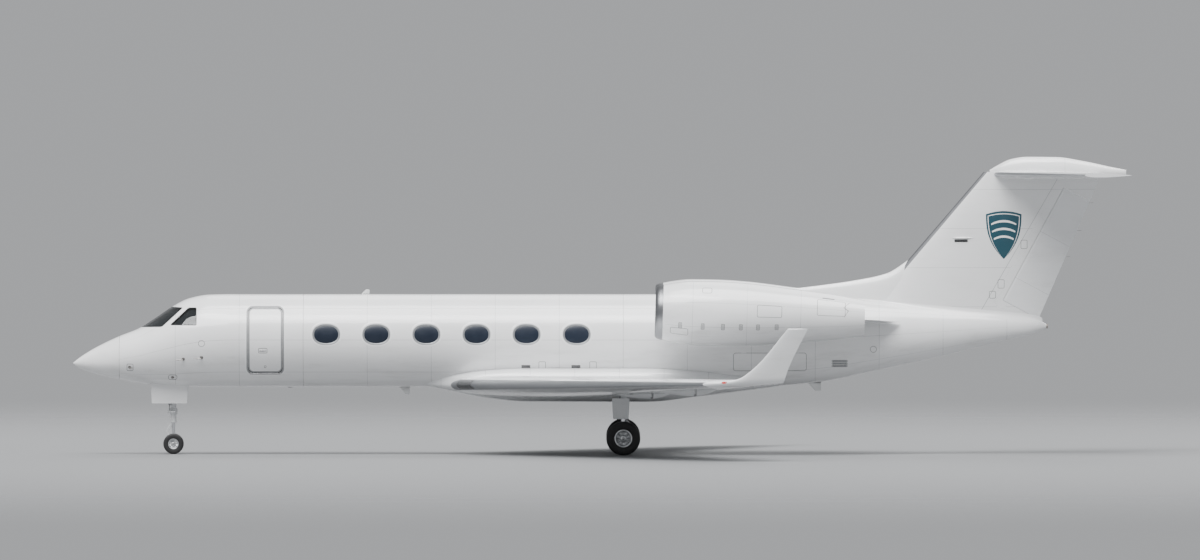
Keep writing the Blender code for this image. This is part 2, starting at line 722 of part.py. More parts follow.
def hinged(panel, host, name, fraction, span, finish, pins=True):
    """Cuts a bay in the host and returns the surface that fills it, with its origin on the hinge line.

    A pin at each end bears in the end wall of the bay.
    """
    surface = panel.solid(name, finish)
    cut(surface, panel.blade("blade", fraction, span, 0.0), "INTERSECT")
    cut(host, panel.blade("bay", fraction, span, MOVING_GAP))
    start, end = panel.hinge(fraction, span)
    if pins:
        reach = (end - start).normalized()
        for face, way in ((start, -1), (end, 1)):
            tip = face + reach * way * (MOVING_GAP - SEAT_GAP)
            joined(surface, rod("hinge_pin", face - reach * way * 0.03, tip, PIN_R, sides=8))
    return origin_to(smooth_shaded(surface), (start + end) / 2)


# Port wing, with its aileron and flap
wing_panel = Panel(
    (at(WING_ROOT_LE[0], -WING_ROOT_Y, WING_ROOT_LE[1]), at(WING_ROOT_TE[0], -WING_ROOT_Y, WING_ROOT_TE[1])),
    (at(WING_TIP_LE[0], -WING_TIP_Y, WING_TIP_LE[1]), at(WING_TIP_TE[0], -WING_TIP_Y, WING_TIP_TE[1])),
    (0, 0, 1),
    (0.105, 0.090),
    camber=0.008,
)
wing_left = cut(wing_panel.solid("wing_left", WHITE), whole_hull)
aileron_left = hinged(wing_panel, wing_left, "aileron_left", AILERON_CHORD, AILERON_SPAN, WHITE)

# The flap turns about pivots below it, in brackets faired by canoes whose rear halves move with the flap
flap_start, flap_end = wing_panel.hinge(FLAP_CHORD, FLAP_SPAN)
flap_axis = (flap_end - flap_start).normalized()
flap_aft = Vector((0, 0, 1)).cross(flap_axis).normalized()
flap_up = flap_axis.cross(flap_aft).normalized()
# Distance behind the pivot, half width, half height and the middle's height over the pivot
FRONT_CANOE = (
    (-0.95, 0.015, 0.020, 0.10),
    (-0.60, 0.050, 0.085, 0.10),
    (-0.30, 0.068, 0.118, 0.10),
    (-0.03, 0.072, 0.130, 0.10),
)
REAR_CANOE = (
    (0.03, 0.072, 0.130, 0.10),
    (0.25, 0.062, 0.105, 0.11),
    (0.45, 0.042, 0.065, 0.13),
    (0.60, 0.012, 0.020, 0.155),
)
CANOE_SIDES = 10
EAR_R, BOSS_HALF, EAR_WIDE = 0.022, 0.030, 0.022


def flap_place(share, behind, across, above):
    """A point near a flap pivot, in the pivot's own directions."""
    pivot = wing_panel.middle(FLAP_CHORD, share) - flap_up * FLAP_DROP
    return pivot + flap_aft * behind + flap_axis * across + flap_up * above


def canoe(share, sections):
    """Half of a canoe fairing."""
    rings = []
    for behind, half, tall, middle in sections:
        ring = []
        for k in range(CANOE_SIDES):
            angle = 2 * math.pi * (k + 0.5) / CANOE_SIDES
            ring.append(flap_place(share, behind, half * math.cos(angle), middle + tall * math.sin(angle)))
        rings.append(ring)
    return loft("canoe", rings)


def block(share, low, high):
    """A block along the pivot's own directions, from a low to a high corner."""
    (b0, c0, h0), (b1, c1, h1) = low, high
    corners = ((b0, c0), (b1, c0), (b1, c1), (b0, c1))
    return loft("block", [[flap_place(share, b, c, h) for b, c in corners] for h in (h0, h1)])


for share in FLAP_BRACKETS:
    joined(wing_left, canoe(share, FRONT_CANOE))
flap_left = hinged(wing_panel, wing_left, "flap_left", FLAP_CHORD, FLAP_SPAN, WHITE, pins=False)
for share in FLAP_BRACKETS:
    joined(
        flap_left,
        canoe(share, REAR_CANOE),
        rod("boss", flap_place(share, 0, -BOSS_HALF, 0), flap_place(share, 0, BOSS_HALF, 0), EAR_R),
        block(share, (0, -BOSS_HALF, -0.012), (0.05, BOSS_HALF, 0.012)),
    )
    for way in (-1, 1):
        near, far = way * (BOSS_HALF + SEAT_GAP), way * (BOSS_HALF + SEAT_GAP + EAR_WIDE)
        joined(
            wing_left,
            rod("ear", flap_place(share, 0, near, 0), flap_place(share, 0, far, 0), EAR_R),
            block(share, (-0.05, min(near, far), -0.012), (0, max(near, far), 0.012)),
        )
origin_to(smooth_shaded(flap_left), (flap_start + flap_end) / 2 - flap_up * FLAP_DROP)

# Wing jacking pad, under the rear spar
wing_pad = wing_panel.skin(0.60, 0.33, -1) - Vector((0, 0, 0.02))
joined(wing_left, rod("jack_pad", wing_pad, wing_pad + Vector((0, 0, 0.06)), PAD_R))

# Main gear pocket in the wing's underside
leg_y = -MAIN_TRACK / 2
pocket_ends = (at(MAIN_STATION - 0.14, leg_y - 0.14, 1.0), at(MAIN_STATION + 0.13, leg_y + 0.14, LEG_TOP_Z))
cut(wing_left, box("leg_pocket", *pocket_ends))
smooth_shaded(wing_left)
wing_cutters = [wing_panel.solid("wing_fit", extra=SEAT_GAP)]
starboard_fit = wing_cutters[0].copy()
starboard_fit.data = wing_cutters[0].data.copy()
starboard_fit.data.transform(Matrix.Scale(-1, 4, (0, 1, 0)))
cleaned(starboard_fit.data)
CUTTERS.objects.link(starboard_fit)
wing_cutters.append(starboard_fit)

# Winglet, which turns up from the wing tip
WINGLET = (
    # Leading edge station, trailing edge station, y, z, and the lean of its thickness
    (16.204, 18.203, 11.35 + SEAT_GAP, 1.980, 0.0, 0.090),
    (16.62, 18.235, 11.47, 2.000, 18.0, 0.088),
    (17.05, 18.275, 11.555, 2.080, 48.0, 0.085),
    (17.36, 18.330, 11.610, 2.260, 68.0, 0.085),
    (18.36, 18.860, SPAN / 2, 3.380, 74.0, 0.080),
)
winglet_rings = []
for front, rear, y, z, lean, ratio in WINGLET:
    tip_drop = 0.015 if lean == 0 else 0.0
    way = (0, math.sin(math.radians(lean)), math.cos(math.radians(lean)))
    section = (at(front, -y, z - tip_drop), at(rear, -y, z + tip_drop))
    panel = Panel(section, section, way, (ratio, ratio), camber=0.008 if lean == 0 else 0.0)
    winglet_rings.append(panel.ring(0.0, points=9))
winglet_left = smooth_shaded(loft("winglet_left", winglet_rings, WHITE))

# Belly fairing, with room for the wing roots and the fuselage
FAIRING = (
    # Station, bottom, half width, top
    (8.90, 1.790, 0.30, 2.00),
    (9.40, 1.690, 0.66, 2.08),
    (10.00, 1.560, 0.98, 2.17),
    (10.70, 1.430, 1.20, 2.25),
    (11.70, 1.342, 1.29, 2.30),
    (14.80, 1.342, 1.29, 2.30),
    (16.10, 1.478, 1.16, 2.22),
    (17.20, 1.606, 0.86, 2.10),
    (18.20, 1.740, 0.40, 2.00),
)
fairing_rings = []
for station, bottom, half, top in FAIRING:
    middle, tall = (top + bottom) / 2, (top - bottom) / 2
    ring = []
    for k in range(20):
        angle = 2 * math.pi * (k + 0.5) / 20
        x, z = math.cos(angle), math.sin(angle)
        ring.append(
            at(
                station,
                half * math.copysign(abs(x) ** 0.62, x),
                middle + tall * math.copysign(abs(z) ** 0.62, z),
            )
        )
    fairing_rings.append(ring)
belly_fairing = loft("belly_fairing", fairing_rings, WHITE)
cut(belly_fairing, whole_hull)
for wing_fit in wing_cutters:
    cut(belly_fairing, wing_fit)
smooth_shaded(belly_fairing)

# Fin, its dorsal fillet and the rudder
FIN_LE, FIN_LE_RISE = (21.50, 4.946), 1.165
FIN_TE, FIN_TE_RISE = (24.91, 3.459), 2.308
fin_ends = [
    (
        at(FIN_LE[0] + (z - FIN_LE[1]) / FIN_LE_RISE, 0, z),
        at(FIN_TE[0] + (z - FIN_TE[1]) / FIN_TE_RISE, 0, z),
    )
    for z in (FIN_ROOT_Z, FIN_TIP_Z)
]
fin_panel = Panel(fin_ends[0], fin_ends[1], (0, 1, 0), (0.085, 0.090))
fin = fin_panel.solid("fin", WHITE)
DORSAL = (
    # Station, top and half width
    (17.30, 4.06, 0.02),
    (18.20, 4.215, 0.06),
    (19.40, 4.365, 0.10),
    (20.30, 4.500, 0.12),
    (21.00, 4.660, 0.13),
    (21.45, 4.930, 0.12),
    (21.80, 5.220, 0.08),
)
dorsal_rings = []
for station, top, half in DORSAL:
    base = 3.70
    dorsal_rings.append(
        [
            at(station, y, z)
            for y, z in (
                (-half, base),
                (half, base),
                (half * 0.95, base + 0.62 * (top - base)),
                (half * 0.45, base + 0.93 * (top - base)),
                (0, top),
                (-half * 0.45, base + 0.93 * (top - base)),
                (-half * 0.95, base + 0.62 * (top - base)),
            )
        ]
    )
joined(fin, loft("dorsal", dorsal_rings))
rudder = hinged(fin_panel, fin, "rudder", RUDDER_CHORD, RUDDER_SPAN, WHITE)
cut(fin, whole_hull)

# Tailplane with its bullet fairing, and the elevators
tail_panel = Panel(
    (at(23.72, 0.0, TAIL_Z), at(26.46, 0.0, TAIL_Z)),
    (at(26.02, -TAIL_TIP_Y, TAIL_Z), at(LENGTH, -TAIL_TIP_Y, TAIL_Z)),
    (0, 0, 1),
    (0.095, 0.085),
)
BULLET = (
    # Station, bottom, top and half width
    (23.66, 7.290, 7.330, 0.020),
    (23.86, 7.150, 7.450, 0.105),
    (24.20, 7.080, 7.610, 0.170),
    (24.60, 7.060, 7.670, 0.200),
    (25.35, 7.060, 7.665, 0.205),
    (26.10, 7.085, 7.555, 0.160),
    (26.80, 7.125, 7.405, 0.085),
    (27.18, 7.180, 7.330, 0.025),
)


def bullet(name, extra=0.0, finish=None):
    rings = []
    for station, bottom, top, half in BULLET:
        ring = []
        for k in range(20):
            angle = 2 * math.pi * (k + 0.5) / 20
            middle, tall = (top + bottom) / 2, (top - bottom) / 2 + extra
            ring.append(at(station, (half + extra) * math.cos(angle), middle + tall * math.sin(angle)))
        rings.append(ring)
    return loft(name, rings, finish)


tailplane = bullet("tailplane", finish=WHITE)
port_tail = tail_panel.solid("port_tail")
elevator_left = hinged(tail_panel, port_tail, "elevator_left", ELEVATOR_CHORD, ELEVATOR_SPAN, WHITE)
starboard_tail = port_tail.copy()
starboard_tail.data = port_tail.data.copy()
starboard_tail.data.transform(Matrix.Scale(-1, 4, (0, 1, 0)))
cleaned(starboard_tail.data)
CUTTERS.objects.link(starboard_tail)
joined(port_tail, starboard_tail)
joined(tailplane, port_tail)
smooth_shaded(tailplane)
cut(fin, bullet("bullet_fit", extra=SEAT_GAP))
stab_fit = tail_panel.solid("stab_fit", extra=SEAT_GAP)
cut(fin, stab_fit)
stab_fit.data.transform(Matrix.Scale(-1, 4, (0, 1, 0)))
cleaned(stab_fit.data)
cut(fin, stab_fit)
smooth_shaded(fin)

# Engines: everything turned about one axis that is pitched nose up
engine_turn = Matrix.Rotation(math.radians(90.0) + ENGINE_PITCH, 4, "Y")
engine_place = Matrix.Translation(at(ENGINE_STATION, -ENGINE_Y, ENGINE_Z)) @ engine_turn


def on_engine(piece):
    """Lays a piece that was turned about Z along the port engine, with its origin at the lip's plane."""
    piece.data.transform(engine_turn)
    piece.location = engine_place.translation
    cleaned(piece.data)
    return smooth_shaded(piece)


def engine_piece(name, profile, finish):
    """A turned shell of the port engine."""
    return on_engine(turned(name, profile, NACELLE_STEPS, finish))


# Turned outlines, as (radius, distance behind the lip)
COWL_OUTSIDE = (
    (0.622, 0.0),
    (0.655, 0.020),
    (0.690, 0.090),
    (0.712, LIP_LENGTH),
    (0.762, 0.42),
    (0.826, 0.92),
    (0.836, 1.62),
    (0.808, 2.36),
    (0.765, 2.88),
    (0.712, COWL_END - SEAT_GAP),
)
COWL_INSIDE = (
    (0.600, COWL_END - SEAT_GAP),
    (0.600, 1.36),
    (0.560, 1.26),
    (0.560, 0.85),
    (0.572, LIP_LENGTH),
    (0.578, 0.090),
    (0.595, 0.025),
)
NOZZLE_OUTSIDE = ((0.712, COWL_END), (0.655, 3.95), (0.565, 4.72), (0.452, NACELLE_LENGTH))
NOZZLE_INSIDE = ((0.432, NACELLE_LENGTH), (0.520, 4.60), (0.600, COWL_END))
engine_cowl_left = engine_piece("engine_cowl_left", COWL_OUTSIDE + COWL_INSIDE, WHITE)
exhaust_nozzle_left = engine_piece("exhaust_nozzle_left", NOZZLE_OUTSIDE + NOZZLE_INSIDE, WHITE)

CORE_R, CORE_FRONT, FLANGE_R = 0.42, 1.32, 0.5997
CORE = (
    (0.0, CORE_FRONT),
    (0.10, CORE_FRONT),
    (0.11, 1.40),
    (FLANGE_R, 1.40),
    (FLANGE_R, 1.50),
    (CORE_R, 1.56),
    (CORE_R, 3.55),
    (0.26, 3.95),
    (0.03, 4.55),
    (0.0, 4.55),
)
engine_core_left = on_engine(turned("engine_core_left", CORE, NACELLE_STEPS, HOT_METAL, closed=False))

SPINNER = (
    (0.0, 0.62),
    (0.055, 0.66),
    (0.120, 0.78),
    (0.165, 0.93),
    (0.175, FAN_FACE),
    (0.175, 1.20),
    (0.09, 1.25),
    (0.09, CORE_FRONT - SEAT_GAP),
    (0.0, CORE_FRONT - SEAT_GAP),
)
FAN_MIDDLE, BLADE_ANGLE = 1.09, math.radians(45.0)
fan_left = turned("fan_left", SPINNER, NACELLE_STEPS, BLADE, closed=False)
for k in range(FAN_BLADES):
    spin = Matrix.Rotation(2 * math.pi * k / FAN_BLADES, 4, "Z")
    rings = []
    for radius, chord, thick in ((0.14, 0.13, 0.022), (FAN_RADIUS, 0.20, 0.010)):
        turn = spin @ Matrix.Translation((radius, 0, FAN_MIDDLE)) @ Matrix.Rotation(BLADE_ANGLE, 4, "X")
        corners = ((-thick, -chord), (thick, -chord), (thick, chord), (-thick, chord))
        rings.append([turn @ Vector((0, a / 2, b / 2)) for a, b in corners])
    joined(fan_left, loft("fan_blade", rings))
on_engine(fan_left)

# Pylon between the fuselage and the nacelle
nacelle_outline = [(r + SEAT_GAP, d) for r, d in (*COWL_OUTSIDE, *NOZZLE_OUTSIDE[1:])]
nacelle_outline = [(0.0, 0.0), *nacelle_outline, (0.0, NACELLE_LENGTH)]
nacelle_fit = turned("nacelle_fit", nacelle_outline, NACELLE_STEPS, closed=False)
nacelle_fit.data.transform(engine_place)
cleaned(nacelle_fit.data)
pylon_panel = Panel(
    (at(15.75, -0.70, 3.42), at(21.35, -0.70, 3.42)),
    (at(15.55, -1.95, 3.56), at(20.15, -1.95, 3.50)),
    (0, 0, 1),
    (0.062, 0.070),
)
pylon_left = pylon_panel.solid("pylon_left", WHITE)
cut(pylon_left, whole_hull)
cut(pylon_left, nacelle_fit)
smooth_shaded(pylon_left)

# Wheels: a twin pair of hubs on one turning axle, and a tyre on each rim
def wheel_profile(rim, twin, wide, shaft):
    """Half of a twin hub's outline, from its outer cap to the middle of the axle."""
    half = wide * 0.40
    return [
        (0.0, twin + half),
        (rim * 0.40, twin + half),
        (rim * 0.46, twin + half * 0.30),
        (rim * 0.86, twin + half * 0.30),
        (rim - SEAT_GAP, twin + half),
        (rim - SEAT_GAP, twin - half),
        (rim * 0.82, twin - half * 0.40),
        (shaft, twin - half * 0.40),
    ]


def tyre_profile(rim, radius, wide, twin):
    """A tyre's closed outline: bead, sidewall, shoulder and tread."""
    half = wide / 2
    side = [
        (rim + SEAT_GAP, half * 0.78),
        (rim + 0.50 * (radius - rim), half),
        (rim + 0.88 * (radius - rim), half * 0.82),
        (radius, half * 0.45),
    ]
    return [(r, twin + z) for r, z in side] + [(r, twin - z) for r, z in reversed(side)]


def wheel_pair(prefix, side_name, centre, rim, radius, wide, twin, shaft):
    """Hubs and tyres about an axle that runs across the aircraft."""
    lay = Matrix.Rotation(math.radians(90.0), 4, "X")
    outer = wheel_profile(rim, twin, wide, shaft)
    inner = [(r, -z) for r, z in reversed(outer)]
    made = [turned(f"{prefix}_hubs{side_name}", outer + inner, WHEEL_STEPS, STEEL, closed=False)]
    for place, offset in (("port", twin), ("starboard", -twin)):
        outline = tyre_profile(rim, radius, wide, offset)
        made.append(turned(f"{prefix}_tyre{side_name}_{place}", outline, WHEEL_STEPS, RUBBER))
    for piece in made:
        piece.data.transform(lay)
        cleaned(piece.data)
        piece.location = centre
        smooth_shaded(piece)
    return made


MAIN_SHAFT, NOSE_SHAFT, BORE_SLACK = 0.045, 0.030, 0.0008
main_centre = at(MAIN_STATION, leg_y, MAIN_AXLE_Z)
nose_centre = at(NOSE_STATION, 0, NOSE_AXLE_Z)
MAIN_WHEEL = (MAIN_RIM_R, MAIN_TYRE_R, MAIN_TYRE_WIDE, MAIN_TWIN, MAIN_SHAFT)
NOSE_WHEEL = (NOSE_RIM_R, NOSE_TYRE_R, NOSE_TYRE_WIDE, NOSE_TWIN, NOSE_SHAFT)
main_wheels = wheel_pair("main", "_left", main_centre, *MAIN_WHEEL)
wheel_pair("nose", "", nose_centre, *NOSE_WHEEL)


def torque_links(station, y, top, bottom, reach, half, wide=0.045):
    """A pair of scissor links that bows aft or forward between two heights."""
    middle = (top + bottom) / 2
    outline = [
        (0.0, top),
        (reach, middle + 0.045),
        (reach, middle - 0.045),
        (0.0, bottom),
        (0.0, bottom + 0.07),
        (reach * 0.62, middle),
        (0.0, top - 0.07),
    ]
    return side_prism("torque_link", [(station + s, z) for s, z in outline], y - wide, y + wide)


def eye_with_bore(piece, centre, radius, half, bore):
    """Adds the axle housing across the foot of a piston and bores it."""
    across = Vector((0, half, 0))
    joined(piece, rod("axle_eye", centre - across, centre + across, radius, sides=WHEEL_STEPS))
    return cut(piece, rod("axle_bore", centre - 2 * across, centre + 2 * across, bore, sides=WHEEL_STEPS))


# Main legs: an oleo in the wing's pocket, with a side brace to the wing
PISTON_TOP = 0.95
leg_foot = at(MAIN_STATION, leg_y, PISTON_TOP + SEAT_GAP)
main_leg = rod("main_leg_left", leg_foot, at(MAIN_STATION, leg_y, LEG_TOP_Z - SEAT_GAP), 0.085, GEAR_PAINT)
brace = rod("side_brace", at(MAIN_STATION, leg_y + 0.02, 1.02), at(MAIN_STATION, leg_y + 0.66, 1.60), 0.035)
cut(brace, wing_panel.solid("brace_fit", extra=SEAT_GAP))
leg_top = at(MAIN_STATION + 0.10, leg_y + 0.115, LEG_TOP_Z - SEAT_GAP)
joined(
    main_leg,
    brace,
    rod("lower_collar", leg_foot, leg_foot + Vector((0, 0, 0.10)), 0.105),
    box("trunnion", at(MAIN_STATION - 0.11, leg_y - 0.115, 1.56), leg_top),
)
DOOR_INSIDE, DOOR_THICK = 0.13, 0.025
for stay_z in (1.06, 1.34):
    stay_end = at(MAIN_STATION - 0.03, leg_y - DOOR_INSIDE + SEAT_GAP, stay_z)
    joined(main_leg, box("door_stay", stay_end, at(MAIN_STATION + 0.03, leg_y, stay_z + 0.04)))
main_piston = rod("main_piston_left", main_centre, at(MAIN_STATION, leg_y, PISTON_TOP), 0.055, STEEL)
main_links = torque_links(MAIN_STATION + 0.04, leg_y, 0.94, 0.46, 0.24, 0.05)
joined(main_piston, main_links)
eye_with_bore(main_piston, main_centre, 0.080, 0.085, MAIN_SHAFT + BORE_SLACK)
main_gear_door = box(
    "main_gear_door_left",
    at(MAIN_STATION - 0.30, leg_y - DOOR_INSIDE - DOOR_THICK, 0.93),
    at(MAIN_STATION + 0.17, leg_y - DOOR_INSIDE, 1.475),
    WHITE,
)
for piece in (main_leg, main_piston):
    smooth_shaded(piece)

# Nose gear: a fixed leg under the floor, and the piston and axle that steer
STEER_TOP = 0.86
bay_roof = floor_bottom - SEAT_GAP
nose_foot = at(NOSE_STATION, 0, STEER_TOP + SEAT_GAP)
nose_leg = rod("nose_leg", nose_foot, at(NOSE_STATION, 0, bay_roof), 0.075, GEAR_PAINT)
drag_brace = rod("drag_brace", at(NOSE_STATION, 0, 1.20), at(NOSE_STATION - 0.56, 0, 2.08), 0.036)
cut(drag_brace, box("roof_trim", at(0, -1, bay_roof), at(6, 1, 3)))
joined(
    nose_leg,
    drag_brace,
    rod("trunnion", at(NOSE_STATION, -BAY_HALF + 0.02, 1.93), at(NOSE_STATION, BAY_HALF - 0.02, 1.93), 0.05),
    rod("steer_collar", at(NOSE_STATION, 0, 1.02), at(NOSE_STATION, 0, 1.16), 0.105),
)
steer_fork = rod("steer_fork", nose_centre, at(NOSE_STATION, 0, STEER_TOP), 0.048, STEEL)
joined(
    steer_fork,
    rod("steer_flange", at(NOSE_STATION, 0, STEER_TOP - 0.05), at(NOSE_STATION, 0, STEER_TOP), 0.085),
    torque_links(NOSE_STATION - 0.03, 0, 0.84, 0.30, -0.17, 0.05, wide=0.035),
)
tow_ends = (nose_centre + Vector((-0.12, -0.03, -0.02)), nose_centre + Vector((-0.04, 0.03, 0.05)))
joined(steer_fork, box("tow_lug", *tow_ends))
eye_with_bore(steer_fork, nose_centre, 0.060, 0.055, NOSE_SHAFT + BORE_SLACK)
origin_to(smooth_shaded(steer_fork), at(NOSE_STATION, 0, NOSE_AXLE_Z))
smooth_shaded(nose_leg)
nose_gear_door = box(
    "nose_gear_door_left",
    at(BAY_FRONT + 0.04, -BAY_HALF - 0.055, 1.30),
    at(BAY_REAR - 0.04, -BAY_HALF - 0.035, 1.80),
    WHITE,
)
cut(nose_gear_door, whole_hull)

# Starboard twins of the port pieces
PORT_PIECES = [
    wing_left,
    winglet_left,
    aileron_left,
    flap_left,
    elevator_left,
    pylon_left,
    engine_cowl_left,
    exhaust_nozzle_left,
    engine_core_left,
    fan_left,
    main_leg,
    main_piston,
    main_gear_door,
    nose_gear_door,
    *main_wheels,
]
for piece in PORT_PIECES:
    smooth_shaded(mirrored(piece, piece.name.replace("_left", "_right")))
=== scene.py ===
"""The finished look of a business jet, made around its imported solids.

Metres: +X aft, +Y starboard, +Z up, with the ground at 0. A station is a distance aft of the
nose tip, so X is the station less half the length. Port pieces are worked out first, and their
starboard twins are the same points with Y turned over.
"""

import math
from functools import cached_property

import bmesh
import bpy
import numpy as np
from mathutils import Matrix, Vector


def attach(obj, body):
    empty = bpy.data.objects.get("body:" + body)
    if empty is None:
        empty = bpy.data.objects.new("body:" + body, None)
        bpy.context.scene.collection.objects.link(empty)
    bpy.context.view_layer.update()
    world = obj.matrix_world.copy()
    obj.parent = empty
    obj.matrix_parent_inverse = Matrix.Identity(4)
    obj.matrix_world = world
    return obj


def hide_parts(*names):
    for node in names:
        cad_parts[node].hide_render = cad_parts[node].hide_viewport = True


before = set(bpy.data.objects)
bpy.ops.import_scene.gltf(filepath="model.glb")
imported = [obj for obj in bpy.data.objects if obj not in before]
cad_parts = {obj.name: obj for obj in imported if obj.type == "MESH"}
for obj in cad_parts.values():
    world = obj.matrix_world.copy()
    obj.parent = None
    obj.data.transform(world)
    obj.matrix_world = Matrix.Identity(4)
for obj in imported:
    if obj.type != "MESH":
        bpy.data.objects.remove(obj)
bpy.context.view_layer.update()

# Paint of the airframe
# Gloss white polyurethane over primed aluminium and composite, sprayed in one coat, polished,
# and cut by the fine dark lines of the skin joints. All painted pieces share these groups.
class Nodes:
    """A node tree, with a short way to add each kind of node that the finishes use."""

    def __init__(self, tree):
        self.tree = tree

    def give(self, value, socket):
        """Links a node to a socket, or sets a plain value. A colour gets its fourth part here."""
        value = value.outputs[0] if isinstance(value, bpy.types.Node) else value
        if isinstance(value, bpy.types.NodeSocket):
            self.tree.links.new(value, socket)
        else:
            socket.default_value = (*value, 1.0) if socket.type == "RGBA" else value

    def add(self, kind, inputs=None, **settings):
        node = self.tree.nodes.new("ShaderNode" + kind)
        for key, value in settings.items():
            setattr(node, key, value)
        for key, value in (inputs or {}).items():
            self.give(value, node.inputs[key])
        return node

    @cached_property
    def spot(self):
        return self.add("TexCoord").outputs["Object"]

    def maths(self, operation, *values):
        return self.add("Math", dict(enumerate(values)), operation=operation)

    def scaled(self, value, by, plus=0.0):
        return self.maths("MULTIPLY_ADD", value, by, plus)

    def stretched(self, by, place=None):
        return self.add("VectorMath", {0: place or self.spot, 1: by}, operation="MULTIPLY")

    def noise(self, scale, detail, roughness=0.5, place=None):
        inputs = {"Vector": place or self.spot, "Scale": scale, "Detail": detail, "Roughness": roughness}
        return self.add("TexNoise", inputs)

    def cells(self, scale):
        return self.add("TexVoronoi", {"Vector": self.spot, "Scale": scale})

    def parts(self, place):
        return self.add("SeparateXYZ", {0: place}).outputs

    def spread(self, value, low, high, to_low=0.0, to_high=1.0):
        """A value carried smoothly from one range to another, and held at its ends."""
        inputs = {0: value, 1: low, 2: high, 3: to_low, 4: to_high}
        return self.add("MapRange", inputs, interpolation_type="SMOOTHSTEP")

    def blend(self, share, first, second):
        return self.add("Mix", {0: share, 6: first, 7: second}, data_type="RGBA").outputs[2]

    def bump(self, height, strength, distance):
        return self.add("Bump", {"Height": height, "Strength": strength, "Distance": distance})


class Group(Nodes):
    """A shader node group, by what it is given and what it gives."""

    def __init__(self, name, inputs, outputs):
        super().__init__(bpy.data.node_groups.new(name, "ShaderNodeTree"))
        for way, sockets in (("INPUT", inputs), ("OUTPUT", outputs)):
            for socket, kind in sockets.items():
                self.tree.interface.new_socket(socket, in_out=way, socket_type="NodeSocket" + kind)
        self.given = self.tree.nodes.new("NodeGroupInput").outputs
        self.gives = self.tree.nodes.new("NodeGroupOutput").inputs


class Finish(Nodes):
    """A material, with plain values on its shader's own sockets and nodes that feed the rest."""

    def __init__(self, name, colour=(0.8, 0.8, 0.8), roughness=0.5, metallic=0.0, **values):
        self.made = bpy.data.materials.new(name)
        self.made.use_nodes = True
        super().__init__(self.made.node_tree)
        self.wear(Base_Color=colour, Roughness=roughness, Metallic=metallic, **values)

    def wear(self, **values):
        """Gives the shader's sockets, named with a line for each space, their values or nodes."""
        for name, value in values.items():
            self.give(value, self.tree.nodes["Principled BSDF"].inputs[name.replace("_", " ")])
        return self.made


def joint_group():
    """Dark where a length is near a whole number of pitches: one less the smooth step of the distance."""
    g = Group("skin_joint", dict.fromkeys(("Length", "Pitch", "Offset", "Width"), "Float"), {"Line": "Float"})
    half_pitch = g.maths("MULTIPLY", g.given["Pitch"], 0.5)
    away = g.maths("PINGPONG", g.maths("SUBTRACT", g.given["Length"], g.given["Offset"]), half_pitch)
    core = g.maths("MULTIPLY", g.given["Width"], 0.4)
    g.give(g.spread(away, core, g.given["Width"], 1.0, 0.0), g.gives["Line"])
    return g.tree


def paint_group():
    """Slow drifts of tone, faint streaks that run aft, dust that gathers below, and fine orange peel."""
    takes = {"Vector": "Vector", "Colour": "Color", "Line": "Float", "Soil": "Float"}
    g = Group("sprayed_coat", takes, {"Colour": "Color", "Roughness": "Float", "Normal": "Vector"})
    place, line = g.given["Vector"], g.given["Line"]
    drift, specks = g.noise(0.55, 3.0, place=place), g.noise(38.0, 4.0, place=place)
    runs = g.noise(2.4, 6.0, 0.62, g.stretched((0.30, 2.0, 1.5), place))
    facing = g.parts(g.add("NewGeometry").outputs["Normal"])
    dust = g.maths("MULTIPLY", g.spread(runs, 0.46, 0.78), g.spread(facing[2], 0.35, -0.9, 0.25, 1.0))
    dust = g.scaled(g.spread(specks, 0.62, 0.74), 0.05, g.maths("MULTIPLY", dust, g.given["Soil"]))
    drifted = g.spread(drift, 0.3, 0.7, 0.955, 1.0)
    tone = g.add("HueSaturation", {"Value": drifted, "Color": g.given["Colour"]})
    soiled = g.blend(dust, tone, (0.36, 0.35, 0.33))
    g.give(g.blend(g.maths("MULTIPLY", line, 0.72), soiled, (0.13, 0.14, 0.15)), g.gives["Colour"])
    gloss = g.scaled(dust, 0.35, g.spread(drift, 0.3, 0.7, 0.17, 0.25))
    g.give(g.scaled(line, 0.3, gloss), g.gives["Roughness"])
    height = g.scaled(line, -3.0, g.maths("MULTIPLY", g.noise(130.0, 2.0, place=place), 0.10))
    g.give(g.bump(height, 0.35, 0.0012), g.gives["Normal"])
    return g.tree


SKIN_JOINT, SPRAYED_COAT = joint_group(), paint_group()


def paint(name, colour=(0.87, 0.875, 0.88), soil=0.32, lines=(), source=None):
    """Sprayed paint. Each line is an axis of the place, a pitch, an offset and a width."""
    f = Finish(name, Coat_Weight=0.6, Coat_Roughness=0.06, Coat_IOR=1.5)
    axes = f.parts(f.add("Attribute", attribute_name=source).outputs["Vector"] if source else f.spot)
    mask = 0.0
    for axis, pitch, offset, width in lines:
        inputs = {"Length": axes[axis], "Pitch": pitch, "Offset": offset, "Width": width}
        mask = f.maths("MAXIMUM", mask, f.add("Group", inputs, node_tree=SKIN_JOINT))
    inputs = {"Vector": f.spot, "Colour": colour, "Line": mask, "Soil": soil}
    coat = f.add("Group", inputs, node_tree=SPRAYED_COAT).outputs
    return f.wear(Base_Color=coat["Colour"], Roughness=coat["Roughness"], Normal=coat["Normal"])


# Fuselage shells
# The real shell is riveted aluminium skin on frames, in a front, a middle and a rear part. Each
# is a wall of outer skin and cabin lining over one grid of stations and girth angles, trimmed at
# its windows and doors, where the wall's own thickness shows.
LENGTH = 27.23
RADOME_END, FRONT_END, MID_END, TAIL_END = 1.20, 5.95, 14.20, 25.12
CABIN_START, CABIN_END = 1.78, 16.70
WALL, SKIN, JOINT = 0.10, 0.02, 0.003
